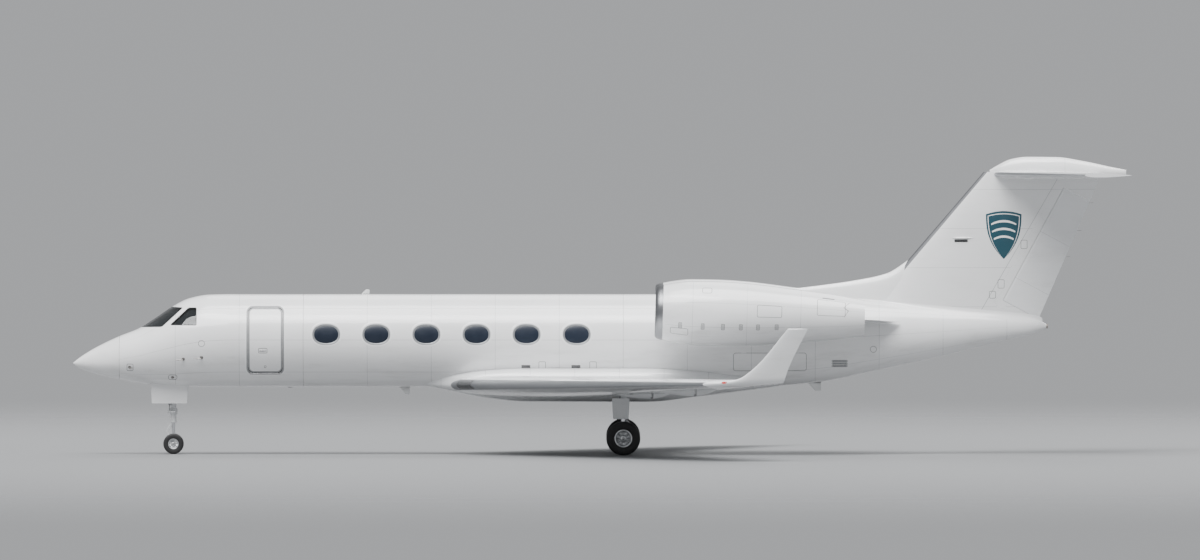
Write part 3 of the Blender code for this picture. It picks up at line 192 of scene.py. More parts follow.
# Station, top, bottom, half width and the height of the greatest width
HULL = np.array([
    (0.00, 2.350, 2.330, 0.010, 2.340),
    (0.12, 2.452, 2.240, 0.105, 2.343),
    (0.45, 2.672, 2.105, 0.300, 2.352),
    (0.85, 2.885, 1.995, 0.490, 2.380),
    (1.20, 3.045, 1.925, 0.630, 2.430),
    (1.70, 3.245, 1.830, 0.800, 2.520),
    (2.10, 3.500, 1.775, 0.915, 2.620),
    (2.55, 3.800, 1.738, 1.020, 2.730),
    (3.00, 4.020, 1.726, 1.105, 2.830),
    (3.50, 4.112, 1.725, 1.170, 2.900),
    (4.10, 4.125, 1.725, 1.200, 2.925),
    (16.20, 4.125, 1.725, 1.200, 2.925),
    (18.00, 4.120, 1.745, 1.165, 2.925),
    (19.40, 4.075, 1.868, 1.030, 2.965),
    (20.40, 4.000, 2.075, 0.860, 3.020),
    (22.20, 3.800, 2.470, 0.520, 3.130),
    (24.20, 3.575, 2.965, 0.230, 3.270),
    (24.90, 3.465, 3.125, 0.140, 3.300),
    (25.12, 3.360, 3.235, 0.060, 3.300),
])
DOOR_FRONT, DOOR_REAR, DOOR_SILL, DOOR_CORNER = 4.528, 5.418, 2.105, 0.12
HEAD_OUTSIDE, HEAD_INSIDE, HEAD_SKIN = 3.843, 3.753, 3.789
WINDOW_COUNT, WINDOW_FIRST, WINDOW_PITCH = 6, 6.545, 1.291
WINDOWS = WINDOW_FIRST + WINDOW_PITCH * np.arange(WINDOW_COUNT)
WINDOW_Z, HALF_LONG, HALF_TALL, OVAL_POWER = 3.098, 0.345, 0.26, 2.27
WINDSHIELD = ((1.50, 3.270), (2.305, 3.290), (2.845, 3.787), (2.20, 3.815))
SIDE_WINDOW = ((2.510, 3.335), (3.196, 3.335), (3.196, 3.787), (2.990, 3.787))
POST_HALF, SIDE_WINDOW_IN = 0.045, 0.40
NOSE_STATION = 2.59
BAY_FRONT, BAY_REAR, BAY_HALF = NOSE_STATION - 0.62, NOSE_STATION + 0.42, 0.27


def xyz(*parts):
    """Points from arrays or numbers of any shapes that fit each other."""
    return np.stack(np.broadcast_arrays(*parts), -1)


def grid(*axes):
    return np.meshgrid(*axes, indexing="ij")


def steady(x, table, column):
    """A cubic through a table's column that never overshoots: its slope at a row is the weighted
    harmonic mean of the rises on each side, or nothing where they differ in sign."""
    knots, values = table[:, 0], table[:, column]
    step = np.diff(knots)
    rise = np.diff(values) / step
    a, b = 2 * step[1:] + step[:-1], step[1:] + 2 * step[:-1]
    turns = rise[:-1] * rise[1:] <= 0
    low, high = (np.where(turns, 1.0, part) for part in (rise[:-1], rise[1:]))
    inner = np.where(turns, 0.0, (a + b) / (a / low + b / high))
    slope = np.concatenate([rise[:1], inner, rise[-1:]])
    i = np.clip(np.searchsorted(knots, x) - 1, 0, len(knots) - 2)
    t = (x - knots[i]) / step[i]
    ends = (1 + 2 * t) * (1 - t) ** 2 * values[i] + t * t * (3 - 2 * t) * values[i + 1]
    return ends + t * (1 - t) * step[i] * ((1 - t) * slope[i] - t * slope[i + 1])


def hull_sizes(station):
    """Top, bottom, half width and the height of the greatest width."""
    return (steady(np.clip(station, 0, TAIL_END), HULL, column) for column in (1, 2, 3, 4))


def hull_point(station, angle, inset=0.0):
    """Half ellipses above and below the widest line: across is the half width times the cosine,
    and the height is the rise or the drop times the sine."""
    top, bottom, half, wide = hull_sizes(station)
    sine = np.sin(angle)
    rise = np.maximum(np.where(sine > 0, top - wide, wide - bottom) - inset, 0.004)
    across = np.maximum(half - inset, 0.004) * np.cos(angle)
    return xyz(station - LENGTH / 2, across, wide + rise * sine)


def hull_angle(station, z):
    """The girth angle, on the starboard side, of a height at a station."""
    top, bottom, _, wide = hull_sizes(station)
    return np.arcsin(np.clip((z - wide) / np.where(z > wide, top - wide, wide - bottom), -1, 1))


def on_hull(station, z, lift=0.0, port=True):
    """The skin's point at a station and a height on one side, lifted off the skin."""
    station = np.asarray(station, float)
    angle = hull_angle(station, z)
    return hull_point(station, math.pi - angle if port else angle, -lift)


def corner_gap(a, b, low, high, corner):
    """Distance outside a rectangle with round corners: the length of what lies past its inner
    rectangle, less the corner's radius."""
    past = [np.abs(x - (p + q) / 2) - (q - p) / 2 + corner for x, p, q in zip((a, b), low, high)]
    outside = np.hypot(*(np.maximum(x, 0) for x in past))
    return outside + np.minimum(np.maximum(*past), 0) - corner


def pane_gap(flat, corners, post, corner=0.03):
    """Distance outside a convex pane with round corners: the length of the distances past its
    edges, each edge first drawn in by the corner's radius, less that radius. It keeps a distance
    off the middle of the nose too."""
    _, y, z = hull_point(*flat.T).T
    points = np.array(corners)
    total, worst = 0.0, -1e9
    for start, end in zip(points, np.roll(points, -1, 0)):
        across = np.array((end[1] - start[1], start[0] - end[0])) / np.hypot(*(end - start))
        across = across if across @ (points.mean(0) - start) < 0 else -across
        past = (flat[:, 0] - start[0]) * across[0] + (z - start[1]) * across[1] + corner
        total = total + np.maximum(past, 0) ** 2
        worst = np.maximum(worst, past)
    return np.maximum(np.sqrt(total) + np.minimum(worst, 0) - corner, post - np.abs(y))


def windshield_gap(flat):
    return pane_gap(flat, WINDSHIELD, POST_HALF)


def side_window_gap(flat):
    return pane_gap(flat, SIDE_WINDOW, SIDE_WINDOW_IN)


def door_gap(flat, inset=0.0, corner=DOOR_CORNER):
    """Distance outside the entry door, whose head is lower inside than outside."""
    _, y, z = hull_point(*flat.T).T
    head = HEAD_OUTSIDE + (HEAD_INSIDE - HEAD_OUTSIDE) * (y + 1.5) / 1.1
    low, high = (DOOR_FRONT + inset, DOOR_SILL + inset), (DOOR_REAR - inset, head - inset)
    return np.where(y < 0, corner_gap(flat[:, 0], z, low, high, corner), 9.0)


def bay_gap(flat):
    """Distance outside the nose wheel bay, in the belly."""
    _, y, z = hull_point(*flat.T).T
    gap = corner_gap(flat[:, 0], y, (BAY_FRONT, -BAY_HALF), (BAY_REAR, BAY_HALF), 0.03)
    return np.where(z < 2.3, gap, 9.0)


def front_gap(flat):
    return np.minimum.reduce([rule(flat) for rule in (windshield_gap, side_window_gap, door_gap, bay_gap)])


def oval_gap(flat):
    """Distance outside the nearest cabin window: a squared ellipse's radius less one, in half heights."""
    nearest = np.clip(np.round((flat[:, 0] - WINDOW_FIRST) / WINDOW_PITCH), 0, WINDOW_COUNT - 1)
    along = np.abs(flat[:, 0] - WINDOW_FIRST - nearest * WINDOW_PITCH) / HALF_LONG
    up = np.abs(hull_point(*flat.T)[:, 2] - WINDOW_Z) / HALF_TALL
    return ((along**OVAL_POWER + up**OVAL_POWER) ** (1 / OVAL_POWER) - 1) * HALF_TALL


def cells(rows, columns):
    """The four corners of each cell of a grid of points, in order."""
    here = (np.arange(rows - 1)[:, None] * columns + np.arange(columns - 1)).ravel()
    return np.stack([here, here + columns, here + columns + 1, here + 1], 1)


def net(*axes):
    """The crossings of a grid as rows of (u, v), and its cells as triangles."""
    u, v = grid(*axes)
    a, b, c, d = cells(len(axes[0]), len(axes[1])).T
    return xyz(u.ravel(), v.ravel()), np.concatenate([np.stack([a, b, c], 1), np.stack([a, c, d], 1)])


def steps(*stops):
    """Even steps through stops of (value, how fine the steps up to it are)."""
    made = [np.array([stops[0]])]
    for stop, fine in stops[1:]:
        start = made[-1][-1]
        made.append(np.linspace(start, stop, max(2, int(round((stop - start) / fine)) + 1))[1:])
    return np.concatenate(made)


def degrees(*stops):
    return np.radians(steps(*stops))


def trimmed(flat, faces, rule, snap=0.18):
    """Keeps the triangles where a rule is positive, cut along the line where it is nothing. Each
    crossing is found on its edge by halving, and a corner close to a crossing moves onto it."""
    for last in (False, True):
        value = rule(flat)
        value[np.abs(value) < 1e-9] = 0.0
        if last:
            value[snapped] = 0.0
        pairs = np.sort(np.concatenate([faces[:, [0, 1]], faces[:, [1, 2]], faces[:, [2, 0]]]), 1)
        edges, which = np.unique(pairs, axis=0, return_inverse=True)
        which = which.reshape(3, -1).T
        crossed = value[edges[:, 0]] * value[edges[:, 1]] < 0
        low, high = flat[edges[crossed, 0]], flat[edges[crossed, 1]]
        start, positive = low.copy(), value[edges[crossed, 0]] > 0
        span = np.linalg.norm(high - low, axis=1)
        for _ in range(16):
            middle = (low + high) / 2
            same = ((rule(middle) > 0) == positive)[:, None]
            low, high = np.where(same, middle, low), np.where(same, high, middle)
        crossings = (low + high) / 2
        if not last:
            share = np.linalg.norm(crossings - start, axis=1) / span
            near, far = share < snap, share > 1 - snap
            flat = flat.copy()
            flat[edges[crossed, 0][near]] = crossings[near]
            flat[edges[crossed, 1][far]] = crossings[far]
            snapped = np.concatenate([edges[crossed, 0][near], edges[crossed, 1][far]])
    number = np.full(len(edges), -1)
    number[crossed] = len(flat) + np.arange(len(crossings))
    corner = value[faces]
    slots = np.full((len(faces), 6), -1)
    for k in range(3):
        slots[:, 2 * k] = np.where(corner[:, k] >= 0, faces[:, k], -1)
        slots[:, 2 * k + 1] = np.where(corner[:, k] * corner[:, (k + 1) % 3] < 0, number[which[:, k]], -1)
    slots = slots[(corner > 0).any(1)]
    filled = (slots >= 0).sum(1)
    packed = np.take_along_axis(slots, np.argsort(slots < 0, axis=1, kind="stable"), 1)
    kept = [packed[filled == 3, :3], packed[filled == 4][:, [0, 1, 2]], packed[filled == 4][:, [0, 2, 3]]]
    used, faces = np.unique(np.concatenate(kept), return_inverse=True)
    return np.concatenate([flat, crossings])[used], faces.reshape(-1, 3)


def rim_of(faces):
    """The directed edges that only one face has."""
    sides = np.concatenate([faces[:, [k, (k + 1) % faces.shape[1]]] for k in range(faces.shape[1])])
    _, first, count = np.unique(np.sort(sides, 1), axis=0, return_index=True, return_counts=True)
    return sides[first[count == 1]]


class Shape:
    """The skins of one piece, gathered with the number of each skin's finish."""

    def __init__(self):
        self.points, self.faces, self.numbers, self.places, self.total = [], [], [], [], 0

    def add(self, points, groups, numbers=(0,), place=None):
        """Points with groups of faces, and each group's finish, or a finish for each of its faces."""
        points = np.reshape(points, (-1, 3))
        self.points.append(points)
        self.places.append(np.zeros_like(points) if place is None else np.reshape(place, (-1, 3)))
        self.faces += [group + self.total for group in groups]
        self.numbers += [np.full(len(group), number) for group, number in zip(groups, numbers)]
        self.total += len(points)

    def wall(self, outer, inner, faces, numbers=(0, 0, 0), places=None, edge=None):
        """Two skins over the same faces, closed by a rim along their open edge."""
        a, b = (rim_of(faces) if edge is None else edge).T
        count = np.size(outer) // 3
        rim = np.stack([b, a, a + count, b + count], 1)
        self.add(np.stack([outer, inner]), [faces, faces[:, ::-1] + count, rim], numbers, places)

    def sheet(self, points, number=0, around=True, ends=True, place=None):
        """Quads over rows of points; around joins the last column to the first, and ends close the
        first and last ring with strips across, from each point to the one that faces it."""
        points = np.asarray(points, float)
        rows, columns = points.shape[:2]
        here = np.arange(columns if around else columns - 1)
        after = (here + 1) % columns
        quads = np.stack([here, after, after + columns, here + columns], 1)
        groups = [(quads + columns * np.arange(rows - 1)[:, None, None]).reshape(-1, 4)]
        if ends:
            k = np.arange(columns // 2 - 1)
            strips = np.stack([k, columns - 1 - k, columns - 2 - k, k + 1], 1)
            groups += [strips, strips[:, ::-1] + (rows - 1) * columns]
        self.add(points, groups, [number] * 3, place)

    def film(self, points, number=0):
        """An open sheet of quads over rows of points."""
        self.sheet(points, number, around=False, ends=False)

    def made(self, name, finishes, body="airframe", slot=None, stands_for=(), sharp=32.0, way=1):
        """Builds the mesh, merges its seams, turns its faces outwards and puts it on its body."""
        mesh = bpy.data.meshes.new(name)
        points = np.concatenate(self.points) * (1, way, 1)
        loops = np.concatenate([group.ravel() for group in self.faces]).astype(np.int32)
        sizes = np.concatenate([np.full(len(group), group.shape[1]) for group in self.faces])
        mesh.vertices.add(len(points))
        mesh.vertices.foreach_set("co", points.astype(np.float32).ravel())
        mesh.loops.add(len(loops))
        mesh.loops.foreach_set("vertex_index", loops)
        mesh.polygons.add(len(sizes))
        mesh.polygons.foreach_set("loop_start", (np.cumsum(sizes) - sizes).astype(np.int32))
        mesh.polygons.foreach_set("material_index", np.concatenate(self.numbers).astype(np.int32))
        mesh.update(calc_edges=True)
        place = mesh.attributes.new("place", "FLOAT_VECTOR", "POINT")
        place.data.foreach_set("vector", np.concatenate(self.places).astype(np.float32).ravel())
        work = bmesh.new()
        work.from_mesh(mesh)
        bmesh.ops.remove_doubles(work, verts=work.verts, dist=2e-5)
        bmesh.ops.dissolve_degenerate(work, edges=work.edges, dist=1e-6)
        bmesh.ops.recalc_face_normals(work, faces=work.faces)
        work.to_mesh(mesh)
        work.free()
        for finish in finishes if isinstance(finishes, (list, tuple)) else [finishes]:
            mesh.materials.append(finish)
        mesh.shade_smooth()
        mesh.set_sharp_from_angle(angle=math.radians(sharp))
        obj = bpy.data.objects.new(name, mesh)
        bpy.context.scene.collection.objects.link(obj)
        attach(obj, body)
        if stands_for:
            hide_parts(*stands_for)
        return obj

    def pair(self, name, finishes, body="airframe", slot=None, stands_for=()):
        """The port piece and its starboard twin. A * in a name is the side's own word."""
        for side, way in (("left", 1), ("right", -1)):
            name_here, body_here, *nodes = (word.replace("*", side) for word in (name, body, *stands_for))
            self.made(name_here, finishes, body_here, slot, nodes, way=way)


HULL_LINES = ((0, 1.65, 1.00, 0.0045), (1, 0.754, 0.10, 0.0040))
FUSELAGE_PAINT = paint("fuselage_white", lines=HULL_LINES, source="place")
RADOME_PAINT = paint("radome_white", (0.84, 0.845, 0.845), 0.5)


def two_tones(name, first, second, roughness, scale=30.0, metallic=0.0, depth=0.0004, **values):
    """Sealant, rubber, primer or plate: a noise mixes two close tones, roughens them and lifts them."""
    f = Finish(name, first, roughness, metallic, **values)
    cloud = f.noise(scale, 6.0, 0.6)
    return f.wear(
        Base_Color=f.blend(f.spread(cloud, 0.35, 0.68), first, second),
        Roughness=f.spread(cloud, 0.3, 0.7, roughness - 0.05, roughness + 0.08),
        Normal=f.bump(cloud, 0.3, depth),
    )


def lining_finish():
    """Cream trim panels: a soft mottle, panel joints each half window pitch and a fine leather-like bump."""
    f = Finish("cabin_lining", roughness=0.55)
    between = WINDOW_FIRST + WINDOW_PITCH / 2 - LENGTH / 2
    inputs = {"Length": f.parts(f.spot)[0], "Pitch": WINDOW_PITCH, "Offset": between, "Width": 0.006}
    joint = f.add("Group", inputs, node_tree=SKIN_JOINT)
    cream = f.blend(f.spread(f.noise(3.0, 4.0), 0.35, 0.65), (0.66, 0.61, 0.53), (0.72, 0.675, 0.60))
    pores = f.cells(260.0)
    return f.wear(
        Base_Color=f.blend(joint, cream, (0.2, 0.18, 0.16)),
        Roughness=f.spread(pores, 0.0, 0.5, 0.48, 0.62),
        Normal=f.bump(pores, 0.25, 0.0006),
    )


SEAL = two_tones("joint_sealant", (0.04, 0.042, 0.045), (0.075, 0.075, 0.075), 0.55)
LINING = lining_finish()


def flat_places(flat):
    """Station and girth angle, for the paint's joints on both skins of a wall."""
    return [xyz(*flat.T, 0.0)] * 2


def hull_wall(shape, flat, faces, cabin_end=99.0):
    """A stretch of fuselage wall over flat points of station and angle, thin where no cabin is."""
    inside = (flat[:, 0] >= CABIN_START) & (flat[:, 0] < cabin_end)
    inner = hull_point(*flat.T, np.where(inside, WALL, SKIN))
    shape.wall(hull_point(*flat.T), inner, faces, (0, 1, 2), flat_places(flat))


radome = Shape()
tip = RADOME_END * np.linspace(0.0, 1.0, 34) ** 1.7 - np.linspace(0.0, JOINT, 34)
flat, faces = net(tip, degrees(-60.0, (300.0, 5.0)))
cone = hull_point(*flat.T)
cone[flat[:, 0] == 0.0] = hull_point(np.array([0.0]), np.array([0.0]), 9.0)[0] * (1, 0, 1)
lined = hull_point(0.03 + flat[:, 0] * (1 - 0.03 / RADOME_END), flat[:, 1], SKIN)
lined[flat[:, 0] == 0.0] = lined[0] * (1, 0, 1)
radome.wall(cone, lined, faces, (0, 1, 1))
radome.made("nose_radome", [RADOME_PAINT, SEAL], slot="composite_paint", stands_for=["radome"])

HULL_FINISHES = [FUSELAGE_PAINT, LINING, SEAL]
front = Shape()
stations = steps(RADOME_END + JOINT, (1.40, 0.05), (CABIN_START - 0.005, 0.03), (CABIN_START + 0.005, 0.01),
                 (3.30, 0.03), (4.45, 0.08), (5.50, 0.03), (FRONT_END - JOINT, 0.08))
turns = degrees(-60.0, (15.0, 3.75), (90.0, 1.5), (225.0, 1.5), (252.0, 3.0), (288.0, 1.5), (300.0, 3.0))
hull_wall(front, *trimmed(*net(stations, turns), front_gap))
nodes = ["fuselage_front", "fuselage_entry"]
front.made("front_fuselage", HULL_FINISHES, slot="fuselage_paint", stands_for=nodes)

middle = Shape()
stops = [stop for centre in WINDOWS for stop in ((centre - 0.38, 0.12), (centre + 0.38, 0.03))]
stations = steps(FRONT_END + JOINT, *stops, (MID_END - JOINT, 0.12))
turns = degrees(-60.0, (-7.0, 4.4), (24.0, 1.25), (156.0, 4.4), (187.0, 1.25), (300.0, 4.4))
hull_wall(middle, *trimmed(*net(stations, turns), oval_gap))
middle.made("middle_fuselage", HULL_FINISHES, slot="fuselage_paint", stands_for=["fuselage_mid"])

rear = Shape()
wall_end = ((CABIN_END - 0.02, 0.14), (CABIN_END + 0.02, 0.04))
stations = steps(MID_END + JOINT, *wall_end, (24.20, 0.15), (TAIL_END, 0.05))
hull_wall(rear, *net(stations, degrees(-60.0, (300.0, 3.0))), CABIN_END)
rear.made("rear_fuselage", HULL_FINISHES, slot="fuselage_paint", stands_for=["fuselage_rear"])

# Flight deck glass
# Stretched acrylic and glass panes, clamped in the shell behind a rubber bead: two windshield
# panes beside a centre post, and a side window on each side.
def unit(vectors):
    return vectors / np.maximum(np.linalg.norm(vectors, axis=-1, keepdims=True), 1e-12)


def carried(path, profile, up, closed=False):
    """A profile of (across, above) carried along a path: each ring is the path's point, plus across
    times the side direction and above times the upward one made square to the path."""
    path, profile = np.asarray(path, float), np.asarray(profile, float)
    along = np.roll(path, -1, 0) - np.roll(path, 1, 0) if closed else np.gradient(path, axis=0)
    along = unit(along)
    up = unit(up - (np.asarray(up, float) * along).sum(-1, keepdims=True) * along)
    rings = path[:, None] + profile[..., :1] * np.cross(along, up)[:, None] + profile[..., 1:] * up[:, None]
    return np.concatenate([rings, rings[:1]]) if closed else rings


def glass_finish(name, colour):
    return Finish(name, colour, 0.02, Transmission_Weight=1.0, IOR=1.5).made


SCREEN_GLASS = glass_finish("windshield_glass", (0.27, 0.29, 0.30))
RUBBER_BEAD = two_tones("rubber_bead", (0.045, 0.046, 0.05), (0.08, 0.08, 0.08), 0.6, 60.0)
GLASS_OUTSIDE, GLASS_INSIDE, PANE_GAP = 0.006, 0.024, 0.002
BEAD = ((0.012, -0.004), (0.008, 0.0015), (-0.006, 0.0015), (-0.010, -0.004), (-0.006, -0.012),
        (0.008, -0.012))


def hull_outward(flat):
    """The skin's outward direction: across the steps to nearby points aft and around."""
    around = ((-0.01, 0), (0.01, 0), (0, -0.01), (0, 0.01))
    near = [hull_point(flat[:, 0] + a, flat[:, 1] + b) for a, b in around]
    return unit(np.cross(near[3] - near[2], near[1] - near[0]))


def glazed(name, rule, stations, turns, node):
    """A pane inside a rule's outline, with a rubber bead over its edge. The edge is put in order by
    its bearing from the pane's middle."""
    pane, bead = Shape(), Shape()
    flat, faces = trimmed(*net(stations, turns), lambda f: -(rule(f) + PANE_GAP))
    pane.wall(hull_point(*flat.T, GLASS_OUTSIDE), hull_point(*flat.T, GLASS_INSIDE), faces)
    pane.pair(name + "_pane_*", SCREEN_GLASS, slot="windshield_glass", stands_for=[node + "_*"])
    edge = flat[np.unique(rim_of(faces))]
    low, high = edge.min(0), edge.max(0)
    edge = edge[np.argsort(np.arctan2(*((edge - (low + high) / 2) / (high - low)).T))]
    bead.sheet(carried(hull_point(*edge.T), BEAD, hull_outward(edge), closed=True), ends=False)
    bead.pair(name + "_bead_*", RUBBER_BEAD)


glazed("windshield", windshield_gap, steps(1.44, (2.90, 0.025)), degrees(95.0, (185.0, 1.5)), "windshield")
glazed("deck_side", side_window_gap, steps(2.46, (3.24, 0.025)), degrees(115.0, (172.0, 1.5)), "side_window")

# Cabin windows
# Twelve oval panes of stretched acrylic, each in a metal ring riveted into the skin, with a cream surround
# inside. The panes are opaque and dark navy: the shade of the cabin behind the glass, painted into their
# colour.
# Painted shade: an opaque dark navy pane for the dim cabin seen through clear acrylic.
PANE_WITH_CABIN_SHADE = two_tones("cabin_glass", (0.011, 0.0165, 0.029), (0.014, 0.0205, 0.034), 0.36, 2.5,
                        depth=0.0001, Specular_IOR_Level=0.25, Coat_Weight=0.12, Coat_Roughness=0.12)
RING_METAL = two_tones("window_ring", (0.44, 0.46, 0.48), (0.54, 0.55, 0.56), 0.34, 80.0, 0.9)


def rounded(turn, power):
    """The cosine and the sine, each raised to a power with its sign kept."""
    return np.stack([np.sign(x) * np.abs(x) ** power for x in (np.cos(turn), np.sin(turn))], -1)


def oval_rings(rows, count=72):
    """Rings round each window by their rows of (growth, lift): a squared ellipse's radii, grown,
    times the 0.88 power of the cosine and the sine."""
    shape = Shape()
    edge = rounded(2 * math.pi * np.arange(count) / count, 2 / OVAL_POWER)
    for centre in WINDOWS:
        half = np.array((HALF_LONG, HALF_TALL))
        spots = [((centre, WINDOW_Z) + edge * (half + grow), lift) for grow, lift in rows]
        shape.sheet([on_hull(*spot.T, lift) for spot, lift in spots], ends=False)
    return shape


RING_ROWS = ((0.016, 0.0005), (0.012, 0.0035), (-0.002, 0.0035), (-0.026, -0.010), (-0.034, -0.012),
             (-0.036, -0.020))
PANE_ROWS = ((-0.036, -0.014), (-0.060, -0.010), (-0.12, -0.007), (-0.20, -0.005), (-0.2599, -0.0045))
TRIM_ROWS = ((-0.030, -0.030), (-0.030, -0.085), (-0.012, -0.1045), (0.022, -0.1045), (0.026, -0.100))
oval_rings(PANE_ROWS).pair("cabin_panes_*", PANE_WITH_CABIN_SHADE, slot="cabin_glass", stands_for=["window_band_*"])
oval_rings(RING_ROWS).pair("window_rings_*", RING_METAL)
oval_rings(TRIM_ROWS).pair("window_surrounds_*", LINING, slot="cabin_trim")

# Wings
# Machined aluminium skins on two spars, with a bare metal leading edge that the engine bleed
# heats. The flap and the aileron each fill a bay, whose front wall is a cove round their nose.
def at(station, y, z):
    return np.array((station - LENGTH / 2, y, z))


def foil_half(x):
    """Half the thickness of a foil of unit thickness: a square root for the nose and four powers for
    the body, with a slight wedge that leaves the trailing edge blunt."""
    return 5 * (0.2969 * np.sqrt(x) - 0.126 * x - 0.3516 * x**2 + 0.2843 * x**3 - 0.1036 * x**4) + 0.012 * x


class Foil:
    """A straight-tapered surface between a root and a tip section, each given by its two edges."""

    def __init__(self, root, tip, way, ratios, camber=0.0):
        self.ends = [np.array([at(*point) for point in section]) for section in (root, tip)]
        self.way, self.ratios, self.camber = np.array(way, float), ratios, camber
        self.across = 2 if way[1] else 1

    def skin(self, u, v, side):
        """The two end sections at a chord fraction, mixed by the span share: each is its chord line,
        plus chord times (4 camber u (1 - u) + side ratio half thickness) in the way of its thickness."""
        u, v = np.broadcast_arrays(np.asarray(u, float), np.asarray(v, float))
        made = []
        for (front, rear), ratio in zip(self.ends, self.ratios):
            rise = 4 * self.camber * u * (1 - u) + side * ratio * foil_half(u)
            lift = np.linalg.norm(rear - front) * rise
            made.append(front + u[..., None] * (rear - front) + lift[..., None] * self.way)
        return made[0] + v[..., None] * (made[1] - made[0])

    def find(self, points):
        """The chord fraction and span share of points in the plane: the share from how far across
        they lie, and the fraction from the chord there."""
        (root_front, root_rear), (tip_front, tip_rear) = self.ends
        v = (points[..., self.across] - root_front[self.across]) / (tip_front - root_front)[self.across]
        front, rear = (a[0] + v * (b[0] - a[0]) for a, b in ((root_front, tip_front), (root_rear, tip_rear)))
        return (points[..., 0] - front) / (rear - front), v

    def to_edge(self, points, ways):
        """How far the trailing edge is along directions in the plane: the offset from it over the
        direction's own rate across it."""
        pick = [0, self.across]
        start, end = self.ends[0][1][pick], self.ends[1][1][pick]
        normal = np.array((end[1] - start[1], start[0] - end[0]))
        return ((start - points[..., pick]) @ normal) / (ways[..., pick] @ normal)

    def half(self, u, v):
        return np.linalg.norm(self.skin(u, v, 1) - self.skin(u, v, -1), axis=-1) / 2


class Hinge:
    """A hinge line at mid thickness, with its directions along, aft and up."""

    def __init__(self, foil, fraction, span):
        self.foil, self.fraction, self.span = foil, fraction, span
        self.start, end = foil.skin(fraction, np.array(span), 0)
        self.length = np.linalg.norm(end - self.start)
        self.axis = (end - self.start) / self.length
        aft = np.cross(self.axis, foil.way)
        self.aft = aft * np.sign(aft[0]) / np.linalg.norm(aft)
        up = np.cross(self.aft, self.axis)
        self.up = up * np.sign(up @ foil.way)

    def place(self, along, behind, above=0.0, start=None):
        along, behind, above = (np.asarray(x, float)[..., None] for x in (along, behind, above))
        start = self.start if start is None else start
        return start + along * self.axis + behind * self.aft + above * self.up


BAY_GAP = 0.010


def bay_reach(radius):
    """How far ahead of a hinge a round nose and its gap meet the skin."""
    return np.sqrt(2 * radius * BAY_GAP + BAY_GAP**2)


def bayed(shape, foil, hinges, pitch=0.30, metal=0.035, fore=22, aft=7):
    """The skins of a surface with a bay for each hinged part, in the finishes of skin, bare nose and
    bay. Columns run from nose to trailing edge and bend square to a hinge line at its bay's ends; the
    bay's front wall is a half ellipse."""
    anchors, ways = [foil.skin(hinges[0].fraction, 0, 0)], [(1.0, 0.0, 0.0)]
    for hinge in hinges:
        for along, share in ((-BAY_GAP, hinge.span[0]), (hinge.length + BAY_GAP, hinge.span[1])):
            anchors.append(hinge.place(along, -bay_reach(foil.half(hinge.fraction, share))))
            ways.append(hinge.aft)
    anchors.append(foil.skin(hinges[-1].fraction, 1, 0))
    ways.append(ways[0])
    counts = [max(1, int(np.linalg.norm(b - a) / pitch)) for a, b in zip(anchors, anchors[1:])]
    knots = np.cumsum([0] + counts)
    column = np.arange(knots[-1] + 1)
    heads, turns = (
        xyz(*(np.interp(column, knots, axis) for axis in np.transpose(rows))) for rows in (anchors, ways)
    )
    turns = unit(turns)
    head_u, head_v = foil.find(heads)
    ahead = (1 - np.cos(np.linspace(0, 1, fore + 1) * math.pi / 2)) ** 1.15
    reach = foil.to_edge(heads, turns)[:, None] * turns
    aft_u, aft_v = foil.find(heads + np.linspace(0, 1, aft + 1)[1:, None, None] * reach)
    u = np.concatenate([ahead[:, None] * head_u, np.minimum(aft_u, 1.0)])
    v = np.concatenate([np.broadcast_to(head_v, (fore + 1, len(heads))), aft_v])
    row, column = grid(np.arange(fore + aft), column[:-1])
    spans = list(zip(knots[1::2], knots[2::2]))
    open_cell = (row >= fore) & np.any([(column >= a) & (column < b) for a, b in spans], axis=0)
    faces = cells(*u.shape)[~open_cell.ravel()]
    upper, lower = (foil.skin(u, v, side) for side in (1, -1))
    wide = np.abs(foil.ends[1][0] - foil.ends[0][0])[foil.across]
    places = [xyz(u, v * wide, side) for side in (1, -1)]
    finish = np.where(u.ravel()[faces[:, 2]] <= metal, 1, 0)
    edge = rim_of(faces)
    edge = edge[~(edge // u.shape[1] == fore).all(1)]
    shape.wall(upper, lower, faces, (finish, finish, 0), places, edge)
    swing = np.linspace(0, math.pi, 12)[:, None, None]
    for (a, b), hinge in zip(spans, hinges):
        top, low = upper[fore, a : b + 1], lower[fore, a : b + 1]
        half = (top - low) / 2
        radius = np.linalg.norm(half, axis=-1, keepdims=True)
        depth = radius + BAY_GAP - bay_reach(radius) + 0.002
        cove = (top + low) / 2 + half * np.cos(swing) - hinge.aft * depth * np.sin(swing)
        shape.sheet(cove.transpose(1, 0, 2), 2, around=False)


def control(shape, hinge, rings=24):
    """A hinged part as rings square to its hinge line: skin from trailing edge to hinge, a half circle
    of the foil's half thickness for the nose, and skin back to the trailing edge."""
    foil = hinge.foil
    along = np.linspace(0, hinge.length, rings)
    centre = hinge.place(along, 0 * along)
    reach = foil.to_edge(centre, np.broadcast_to(hinge.aft, centre.shape))
    share = np.linspace(1, 0, 9) ** 1.2
    u, v = foil.find(centre[:, None] + share[:, None] * reach[:, None, None] * hinge.aft)
    upper, lower = (foil.skin(np.clip(u, 0, 1), v, side) for side in (1, -1))
    radius = foil.half(hinge.fraction, v[:, -1])[:, None, None]
    swing = np.linspace(0, math.pi, 14)[1:-1][:, None]
    nose = centre[:, None] + radius * (np.cos(swing) * hinge.up - np.sin(swing) * hinge.aft)
    place = xyz(np.concatenate([u, 0 * nose[..., 0], u[:, ::-1]], 1), along[:, None], 0)
    shape.sheet(np.concatenate([upper, nose, lower[:, ::-1]], 1), place=place)


